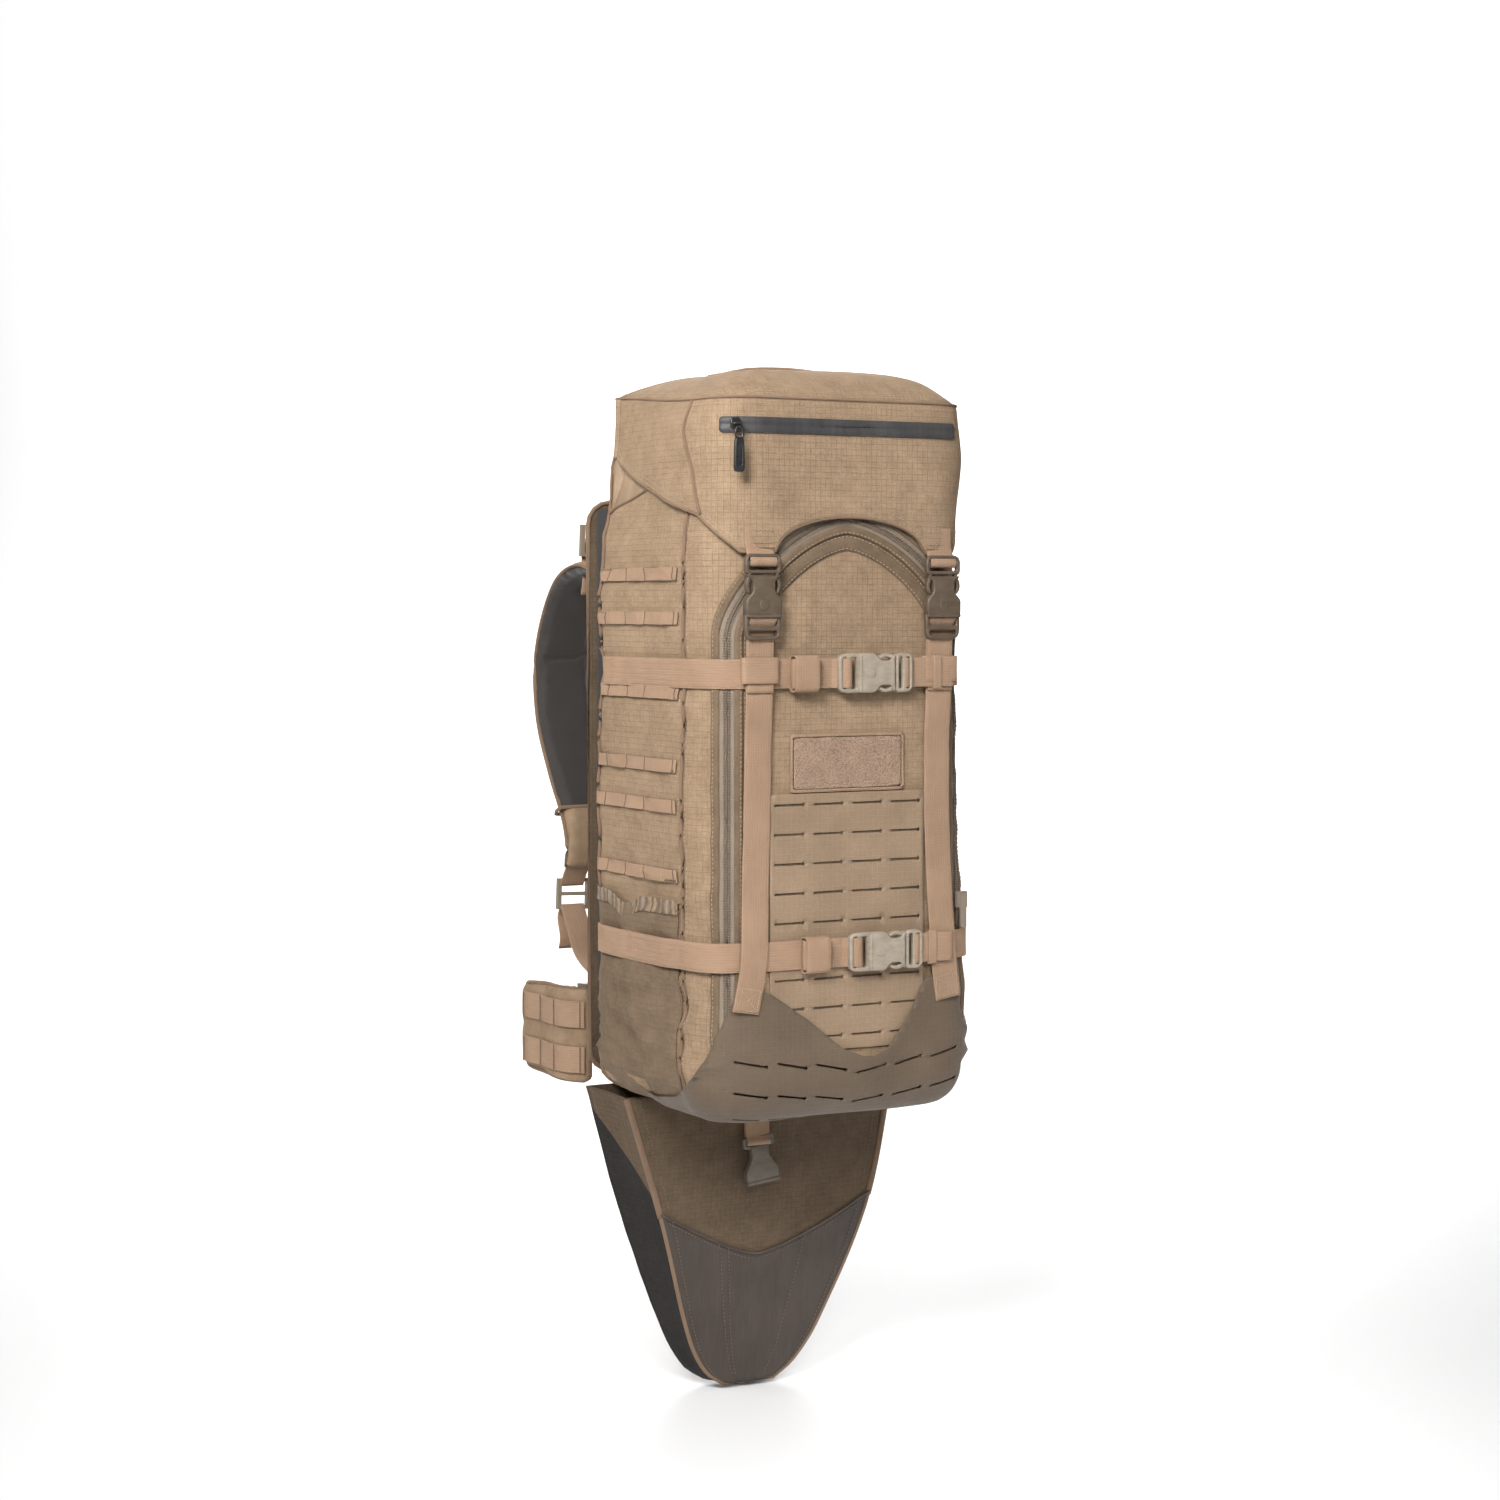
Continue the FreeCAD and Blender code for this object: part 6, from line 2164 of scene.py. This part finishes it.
# ================================================================ harness
STRAP_SIDE = ((50.6, 462.0), (104.6, 478.0), (160.6, 460.0), (198.6, 398.0), (193.6, 340.0),
              (160.6, 280.0), (129.6, 235.0), (120.6, 208.0), (126.6, 187.0))
SIM_VOXEL = 0.004
SIM_PRESSURE = 4.0
SIM_FRAMES = 20
SIM_CAP = 0.006


def outline_depth(points, outline):
    """How far each flat point is from an outline."""
    start = np.asarray(outline, float)
    run = np.roll(start, -1, axis=0) - start
    span = np.asarray(points, float)[:, None, :] - start
    share = np.clip((span * run).sum(axis=2) / np.maximum((run * run).sum(axis=1), 1e-9), 0, 1)
    return np.linalg.norm(span - run * share[..., None], axis=2).min(axis=1)


def two_cloths(pad, first, second, is_second):
    """Cover a pad with two finishes; is_second picks by a face's middle (mm) and normal."""
    pad.data.materials.clear()
    for finish in (first, second):
        pad.data.materials.append(FINISHES[finish])
    for face in pad.data.polygons:
        spot = (np.array(face.center) - DATUM) * 1000.0
        face.material_index = int(is_second(spot, np.array(face.normal)))


def pad_form(name, outline, place, thick, edge, step=5.0, channels=()):
    """A crowned closed pad; place(across, along, out) puts its points in the bag's frame."""
    points, faces = flat_cut(outline, (), step)
    depth = outline_depth(points, outline)
    crown = np.sqrt(1.0 - (1.0 - np.clip(depth / edge, 0.0, 1.0)) ** 2)
    half = thick / 2.0 * (0.52 + 0.48 * crown)
    for channel in channels:
        near = outline_depth(points, channel)
        half = half * (1.0 - 0.4 * np.exp(-((near / 3.2) ** 2)))
    places = [place(x, y, h) for (x, y), h in zip(points, half)]
    places += [place(x, y, -h) for (x, y), h in zip(points, half)]
    count = len(points)
    edges = {}
    for face in faces:
        for a, b in zip(face, list(face[1:]) + [face[0]]):
            edges[(a, b)] = True
    rim = [(a, b) for a, b in edges if (b, a) not in edges]
    shell = [list(face) for face in faces]
    shell += [[i + count for i in face[::-1]] for face in faces]
    shell += [[b, a, a + count, b + count] for a, b in rim]
    return outward(new_piece(name, places, shell))


def puff(obj, cap=SIM_CAP):
    """Fill a closed pad with air as cloth, so that its cover creases, then keep the result."""
    remesh = obj.modifiers.new("even", "REMESH")
    remesh.mode = "VOXEL"
    remesh.voxel_size = SIM_VOXEL
    obj = baked(obj)
    scene = bpy.context.scene
    rest = np.array([v.co for v in obj.data.vertices])
    cloth = obj.modifiers.new("air", "CLOTH")
    cloth.settings.use_pressure = True
    cloth.settings.uniform_pressure_force = SIM_PRESSURE
    cloth.settings.effector_weights.gravity = 0.0
    cloth.settings.quality = 5
    cloth.point_cache.frame_start = 1
    cloth.point_cache.frame_end = SIM_FRAMES
    for number in range(1, SIM_FRAMES + 1):
        scene.frame_set(number)
    view = bpy.context.evaluated_depsgraph_get()
    final = np.array([v.co for v in obj.evaluated_get(view).data.vertices])
    obj.modifiers.remove(cloth)
    scene.frame_set(1)
    move = final - rest
    size = np.linalg.norm(move, axis=1, keepdims=True)
    rest = rest + move * np.minimum(1.0, cap / np.maximum(size, 1e-9))
    obj.data.vertices.foreach_set("co", rest.ravel())
    obj.data.update()
    return subdivide(obj)


def mirror_copy(obj, name):
    """A piece's twin on the other side of the pack."""
    mesh = obj.data.copy()
    mesh.name = name
    mesh.transform(Matrix.Scale(-1.0, 4, (1.0, 0.0, 0.0)))
    mesh.flip_normals()
    twin = bpy.data.objects.new(name, mesh)
    bpy.context.scene.collection.objects.link(twin)
    return twin


class PACK_OT_back(bpy.types.Operator):
    """Build the back panel with its mesh pads and the hanging loop"""

    bl_idname = "pack.back"
    bl_label = "Back panel"

    def execute(self, context):
        low, high = node_box("back_panel")
        outline = rounded(low[0] + 1.0, high[0] - 1.0, low[2] + 1.0, high[2] - 1.0, 22.0)
        middle = (low[1] + high[1]) / 2.0
        cover = lay("back_cover", outline, lambda x, z: (x, middle + 0.9, z), 2.0, (), 12.0, 0.0)
        # The back cover takes the cloth darkened as painted shade.
        dress(cover, FINISHES["dark_cloth"], "pack", ["back_panel"])
        edge = [(x, middle + 0.4, z) for x, z in outline + outline[:1]]
        dress(tube("back_cover_edge", np.array(edge), 2.2, 8), FINISHES["binding"], "pack")
        low, high = node_box("back_pads")
        for name, x0, x1, z0, z1, y0, y1 in (
                ("back_pad_left", low[0], -16.0, low[2], high[2], low[1], high[1]),
                ("lumbar_cushion", *self.lumbar())):
            shape = rounded(x0 + 2.0, x1 - 2.0, z0 + 2.0, z1 - 2.0, 16.0)
            centre = (y0 + y1) / 2.0
            wide = (x1 - x0) / 2.0
            middle_x = (x0 + x1) / 2.0
            lines = [[(middle_x - wide, z), (middle_x + wide, z)]
                     for z in np.linspace(z0, z1, 5 if "back" in name else 4)[1:-1]]
            pad = puff(pad_form(name, shape, lambda x, z, out: (x, centre + out, z),
                                y1 - y0 - 3.0, 15.0, channels=lines), 0.0035)
            binding = [(x, centre - 1.0, z) for x, z in shape + shape[:1]]
            rope = tube(name + "_edge", np.array(binding), 1.5, 8)
            if "left" in name:
                twin = mirror_copy(pad, "back_pad_right")
                twin_rope = mirror_copy(rope, "back_pad_right_edge")
                dress(twin, FINISHES["mesh"], "pack")
                dress(twin_rope, FINISHES["dark_webbing"], "pack")
            dress(pad, FINISHES["mesh"], "pack",
                            ["back_pads" if "left" in name else "lumbar_pad"])
            dress(rope, FINISHES["dark_webbing"], "pack")
        low, high = node_box("hang_loop")
        y = (low[1] + high[1]) / 2.0
        half = high[0] - 1.0
        path = smooth_path([(-half, y, low[2]), (-half + 2.0, y, low[2] + 20.0),
                            (-half * 0.5, y, high[2] - 7.0), (0.0, y, high[2] - 2.0),
                            (half * 0.5, y, high[2] - 7.0), (half - 2.0, y, low[2] + 20.0),
                            (half, y, low[2])], 3.0)
        out = unit(np.stack([path[:, 0], path[:, 1] * 0.0, path[:, 2] - low[2] - 10.0], axis=1))
        dress(ribbon("grab_loop", path, out, high[1] - low[1] - 1.0, 2.4), FINISHES["webbing"],
              "pack", ["hang_loop"])
        return {"FINISHED"}

    def lumbar(self):
        low, high = node_box("lumbar_pad")
        return low[0], high[0], low[2], high[2], low[1], high[1]


SLEEVE_END = 62.0  # length of the plain cloth sleeve at the strap's lower end


class PACK_OT_harness(bpy.types.Operator):
    """Pad the shoulder straps and thread their webbing"""

    bl_idname = "pack.harness"
    bl_label = "Shoulder harness"

    def execute(self, context):
        path = smooth_path([(-92.0, y, z) for y, z in STRAP_SIDE], 3.0)
        path[:, 0] += (path[:, 2] - 330.0) * math.tan(math.radians(2.0))
        tangent, unused = path_normals(path, (0, 1, 0))
        out = unit(np.cross(tangent, (1.0, 0.0, 0.0)))
        if out[len(out) // 2][1] < 0:
            out = -out
        runs = run_lengths(path)
        length = runs[-1]

        def place(across, along, lift):
            spot = [np.interp(along, runs, path[:, k]) for k in range(3)]
            way = unit([np.interp(along, runs, out[:, k]) for k in range(3)])
            return np.array(spot) + (across, 0.0, 0.0) + way * lift

        def half(along):
            share = along / length
            return 29.0 - 6.0 * ease(share, 0.62, 0.97) - 3.0 * ease(-share, -0.16, 0.0)

        run = np.linspace(4.0, length - 3.0, 60)
        shape = [(half(a), a) for a in run] + [(-half(a), a) for a in run[::-1]]
        pad = puff(pad_form("shoulder_pad_left", shape, place, 11.0, 12.0, 6.0), 0.002)

        def is_cloth(spot, normal):
            near = int(np.argmin(np.linalg.norm(path[:, 1:] - spot[1:], axis=1)))
            return float(np.dot(normal, out[near])) > 0.45 or runs[near] > length - SLEEVE_END

        two_cloths(pad, "mesh", "cloth", is_cloth)
        twin = mirror_copy(pad, "shoulder_pad_right")
        for obj, node in ((pad, "shoulder_strap_left"), (twin, "shoulder_strap_right")):
            dress(obj, None, "pack", [node])
        edge = np.array([place(x * 0.935, length / 2.0 + (a - length / 2.0) * 0.992, 2.0)
                         for x, a in shape + shape[:1]])
        band = [place(x, length - SLEEVE_END, lift) for x, lift in
                ((-27.0, 6.4), (0.0, 7.2), (27.0, 6.4), (28.5, 0.0), (27.0, -6.4), (0.0, -7.2),
                 (-27.0, -6.4), (-28.5, 0.0), (-27.0, 6.4))]
        cords = []
        for sign in (1.0, -1.0):
            scale = np.array([sign, 1.0, 1.0])
            cords.append(tube("edge", edge * scale, 2.3, 8, 0.7))
            cords.append(tube("edge", np.array(band) * scale, 1.8, 8))
        dress(join("shoulder_binding", cords), FINISHES["binding"], "pack")
        self.webbing()
        rows = []
        for sign in (1.0, -1.0):
            for share in (0.86, 0.80):
                rows.append(np.array([place(half(a) * share, a, 6.3) * (sign, 1, 1)
                                      for a in np.linspace(10.0, length - 12.0, 90)]))
        stitches("harness_stitches", rows, finish="dark_thread", radius=0.4, seed=15)
        return {"FINISHED"}

    def webbing(self):
        straps = []
        for low_name, points, back, wide in (
                ("load_lifters", [(50.6, 528.0), (74.0, 523.0), (104.6, 511.0)], 5.0, 20.0),
                ("lower_webbing", [(48.0, 94.0), (66.0, 93.0), (108.6, 109.0), (134.6, 142.0),
                                    (142.5, 153.0)], 3.0, 24.4),
                ("lower_webbing", [(124.0, 196.0), (134.0, 184.0), (143.0, 171.0)], 3.0, 24.4)):
            x = node_box(low_name)[1][0] - wide / 2.0 - 0.6
            line = smooth_path([(x, y, z) for y, z in points], back)
            for sign in (1.0, -1.0):
                straps.append(ribbon("strap", line * (sign, 1.0, 1.0), (0, 0, 1), wide, 1.6,
                                     ripple=0.3, seed=int(wide)))
        tail = smooth_path([(95.0, 108.0, 505.0), (95.0, 116.0, 488.0), (95.0, 113.0, 470.0),
                            (95.0, 118.0, 452.0)], 4.0)
        lower = smooth_path([(105.0, 143.0, 151.0), (105.0, 150.0, 140.0), (105.0, 144.0, 122.0),
                             (105.0, 147.0, 110.0)], 4.0)
        for line, wide in ((tail, 20.0), (lower, 24.0)):
            for sign in (1.0, -1.0):
                straps.append(ribbon("strap", line * (sign, 1.0, 1.0), (0, 1, 0), wide, 1.6))
        dress(join("harness_webbing", straps), FINISHES["webbing"], "pack",
              ["load_lifters", "lower_webbing"])


HIP_AXIS = (-60.0, 130.0)  # the upright axis that the left wing curves round
HIP_REACH = 90.0


class PACK_OT_belt(bpy.types.Operator):
    """Pad the hip belt's wings and sew their webbing on"""

    bl_idname = "pack.belt"
    bl_label = "Hip belt"

    def execute(self, context):
        low, high = node_box("belt_wing_left")
        z0, z1 = low[2] + 2.0, high[2] - 2.0

        def ring(angle, out, z):
            share = ease(angle, 139.0, 231.0)
            round_off = 11.0 * math.sin(math.pi * share) ** 2
            turn = math.radians(angle)
            reach = HIP_REACH - round_off + out
            return np.array([HIP_AXIS[0] + reach * math.cos(turn),
                             HIP_AXIS[1] + reach * math.sin(turn), z])

        def place(along, z, out):
            return ring(231.0 - math.degrees(along / HIP_REACH), out, z)

        length = math.radians(91.0) * HIP_REACH
        shape = [(3.0, z0 + 4.0), (3.0, z1 - 4.0), (10.0, z1), (length - 36.0, z1 - 3.0),
                 (length - 12.0, z1 - 14.0), (length - 2.0, z1 - 28.0), (length - 2.0, z0 + 28.0),
                 (length - 12.0, z0 + 14.0), (length - 36.0, z0 + 3.0), (10.0, z0)]
        curved = flat_line(shape + shape[:1], 4.0)[:-1].tolist()
        pad = puff(pad_form("belt_pad_left", curved, place, 8.4, 10.0, 5.0,
                            channels=[[(0.0, 37.5), (length, 37.5)]]), 0.002)

        def is_mesh(spot, normal):
            away = unit(spot - (*HIP_AXIS, spot[2]))
            return float(np.dot(away, normal)) < -0.5

        two_cloths(pad, "cloth", "mesh", is_mesh)
        twin = mirror_copy(pad, "belt_pad_right")
        half_run, half_rise = length / 2.0, (z1 + z0) / 2.0
        edge = np.array([place(half_run + (x - half_run) * 0.968,
                               half_rise + (z - half_rise) * 0.95, 0.5)
                         for x, z in curved + curved[:1]])
        for side, obj in (("left", pad), ("right", twin)):
            body = "belt_" + side
            sign = np.array([-1.0 if side == "right" else 1.0, 1.0, 1.0])
            dress(obj, None, body, ["belt_wing_" + side])
            dress(tube("belt_binding_" + side, edge * sign, 2.1, 8), FINISHES["binding"], body)
            self.rows(side, sign, place)
            self.strap(side, sign)
        return {"FINISHED"}

    def rows(self, side, sign, place):
        body = "belt_" + side
        rows = []
        marks = []
        row_low, row_high = node_box("belt_rows_" + side)
        for z in (row_low[2] + 12.7, row_high[2] - 12.7):
            stops = [12.0, 42.0, 72.0, 102.0]
            points = []
            for along in np.linspace(8.0, 106.0, 60):
                near = min(abs(along - stop) for stop in stops)
                points.append(place(along, z, 6.9 + 1.2 * ease(near, 1.0, 9.0)) * sign)
            line = np.array(points)
            out = unit(line - sign * (*HIP_AXIS, z))
            rows.append(ribbon("row", line, out, 25.0, 1.4))
            for stop in stops:
                marks.append(np.array([place(stop, z + h, 8.5) * sign
                                       for h in np.linspace(-11.5, 11.5, 12)]))
        dress(join("belt_row_webbing_" + side, rows), FINISHES["webbing"], body,
              ["belt_rows_" + side])
        stitches("belt_row_tacks_" + side, marks, body, "dark_thread", 1.1, 0.5)

    def strap(self, side, sign):
        webbing_low, webbing_high = node_box("belt_webbing_" + side)
        z = (webbing_low[2] + webbing_high[2]) / 2
        turns = np.radians(np.linspace(146.0, 116.5, 16))
        line = np.stack([HIP_AXIS[0] + HIP_REACH * np.cos(turns),
                         HIP_AXIS[1] + HIP_REACH * np.sin(turns),
                         turns * 0.0 + z], axis=1) * sign
        out = unit(line - sign * (*HIP_AXIS, z))
        dress(ribbon("belt_strap_" + side, line, out, 37.0, 1.8), FINISHES["webbing"],
              "belt_" + side, ["belt_webbing_" + side])


# ================================================================ hard parts
HARD_FINISHES = (("frame_sheet", "frame_plastic"), ("frame_stays", "aluminium"),
                 ("sternum", "zip_rubber"), ("collar_cord_lock", "zip_rubber"),
                 ("front_zip_slider", "zip_black"), ("lid_zip_slider", "zip_black"),
                 ("lock", "lid_buckle"), ("buckle", "lid_buckle"), ("belt_buckle", "lid_buckle"))


class PACK_OT_hard_parts(bpy.types.Operator):
    """Finish the moulded and metal parts that keep their own shape"""

    bl_idname = "pack.hard_parts"
    bl_label = "Hard parts"

    def execute(self, context):
        for obj in bpy.data.objects:
            if obj.type != "MESH" or obj.hide_render or obj.get("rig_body"):
                continue
            name = obj.name.split(":")[-1]
            for part, finish in HARD_FINISHES:
                if part in name:
                    obj.data.materials.clear()
                    obj.data.materials.append(FINISHES[finish])
                    break
            else:
                raise RuntimeError(f"{obj.name} has no finish")
        return {"FINISHED"}


# ================================================================ stage
CAMERA_PLACE = (-1111.0, -2212.0, 443.0)
CAMERA_TURN = -27.0
CAMERA_DIP = 3.15
CAMERA_LENS = 63.6


class PACK_OT_stage(bpy.types.Operator):
    """Set the pale floor, the soft lights and the camera"""

    bl_idname = "pack.stage"
    bl_label = "Stage"

    def execute(self, context):
        scene = context.scene
        floor_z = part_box("tail_tip")[0][2] - 0.004
        sweep = [(-2.4, 0.0), (0.0, 0.0), (1.6, 0.0), (2.3, 0.08), (2.75, 0.42),
                 (2.95, 1.0), (3.0, 4.2)]
        run = smooth_path([(0.0, y, z) for y, z in sweep], 0.12)
        turn = math.radians(CAMERA_TURN)
        points = []
        for unused, y, z in run:
            for x in (-5.5, 0.0, 5.5):
                points.append((x * math.cos(turn) - y * math.sin(turn),
                               x * math.sin(turn) + y * math.cos(turn), z + floor_z))
        mesh = bpy.data.meshes.new("studio_floor")
        mesh.from_pydata(points, [], grid_faces(len(run), 3))
        mesh.shade_smooth()
        paper = bpy.data.objects.new("studio_floor", mesh)
        scene.collection.objects.link(paper)
        paper.data.materials.append(FINISHES["floor"])
        lamps = (("key", (-1.35, -1.55, 0.9), (0.0, -0.15, 0.2), 0.8, 11.0, 66.0),
                 ("fill", (1.9, -1.5, 0.7), (0.0, -0.1, -0.1), 1.6, 1.6, 110.0),
                 ("side", (-2.2, 0.5, 0.5), (0.0, 0.0, -0.1), 1.4, 6.0, 110.0),
                 ("back", (0.9, 1.5, 0.6), (0.1, 0.2, -0.5), 1.6, 7.0, 90.0),
                 ("sweep_wall", (1.0, 0.9, 2.4), (1.35, 2.9, 0.3), 1.6, 75.0, 120.0),
                 ("sweep_floor", (-0.5, -2.0, 0.4), (-0.4, -0.9, -0.9), 0.8, 9.0, 70.0))
        for name, place, target, size, power, spread in lamps:
            light = bpy.data.lights.new(name, "AREA")
            light.shape = "DISK"
            light.size = size
            light.energy = power
            light.spread = math.radians(spread)
            holder = bpy.data.objects.new(name, light)
            holder.location = place
            aim = Vector(target) - Vector(place)
            holder.rotation_euler = aim.to_track_quat("-Z", "Y").to_euler()
            scene.collection.objects.link(holder)
        world = bpy.data.worlds.new("studio_air")
        world.use_nodes = True
        world.node_tree.nodes["Background"].inputs[0].default_value = (1.0, 1.0, 1.0, 1.0)
        world.node_tree.nodes["Background"].inputs[1].default_value = 0.2
        scene.world = world
        camera = bpy.data.cameras.new("camera")
        camera.lens = CAMERA_LENS
        camera.sensor_width = 36.0
        holder = bpy.data.objects.new("camera", camera)
        holder.location = to_row([CAMERA_PLACE])[0]
        holder.rotation_euler = (math.radians(90.0 - CAMERA_DIP), 0.0, math.radians(CAMERA_TURN))
        scene.collection.objects.link(holder)
        scene.camera = holder
        scene.view_settings.view_transform = "Standard"
        return {"FINISHED"}


# ================================================================ add-on
STEPS = (PACK_OT_bag, PACK_OT_front, PACK_OT_buckles, PACK_OT_straps, PACK_OT_lid,
         PACK_OT_lid_zip, PACK_OT_sides, PACK_OT_scabbard, PACK_OT_back, PACK_OT_harness,
         PACK_OT_belt, PACK_OT_hard_parts, PACK_OT_stage)


class PACK_PT_panel(bpy.types.Panel):
    """Lists the backpack's settings and building steps"""

    bl_label = "Backpack"
    bl_idname = "PACK_PT_panel"
    bl_space_type = "VIEW_3D"
    bl_region_type = "UI"
    bl_category = "Backpack"

    def draw(self, context):
        for group in (context.scene.pack_sizes, context.scene.pack_colours):
            for prop in group.bl_rna.properties:
                if prop.identifier not in ("rna_type", "name"):
                    self.layout.prop(group, prop.identifier)
        for step in STEPS:
            self.layout.operator(step.bl_idname)


CLASSES = (PackSizes, PackColours, *STEPS, PACK_PT_panel)


def register():
    for kind in CLASSES:
        bpy.utils.register_class(kind)
    bpy.types.Scene.pack_sizes = bpy.props.PointerProperty(type=PackSizes)
    bpy.types.Scene.pack_colours = bpy.props.PointerProperty(type=PackColours)


def unregister():
    del bpy.types.Scene.pack_colours
    del bpy.types.Scene.pack_sizes
    for kind in reversed(CLASSES):
        bpy.utils.unregister_class(kind)


def main():
    register()
    make_finishes()
    for kind in STEPS:
        group, name = kind.bl_idname.split(".")
        getattr(getattr(bpy.ops, group), name)()


if __name__ == "__main__":
    main()
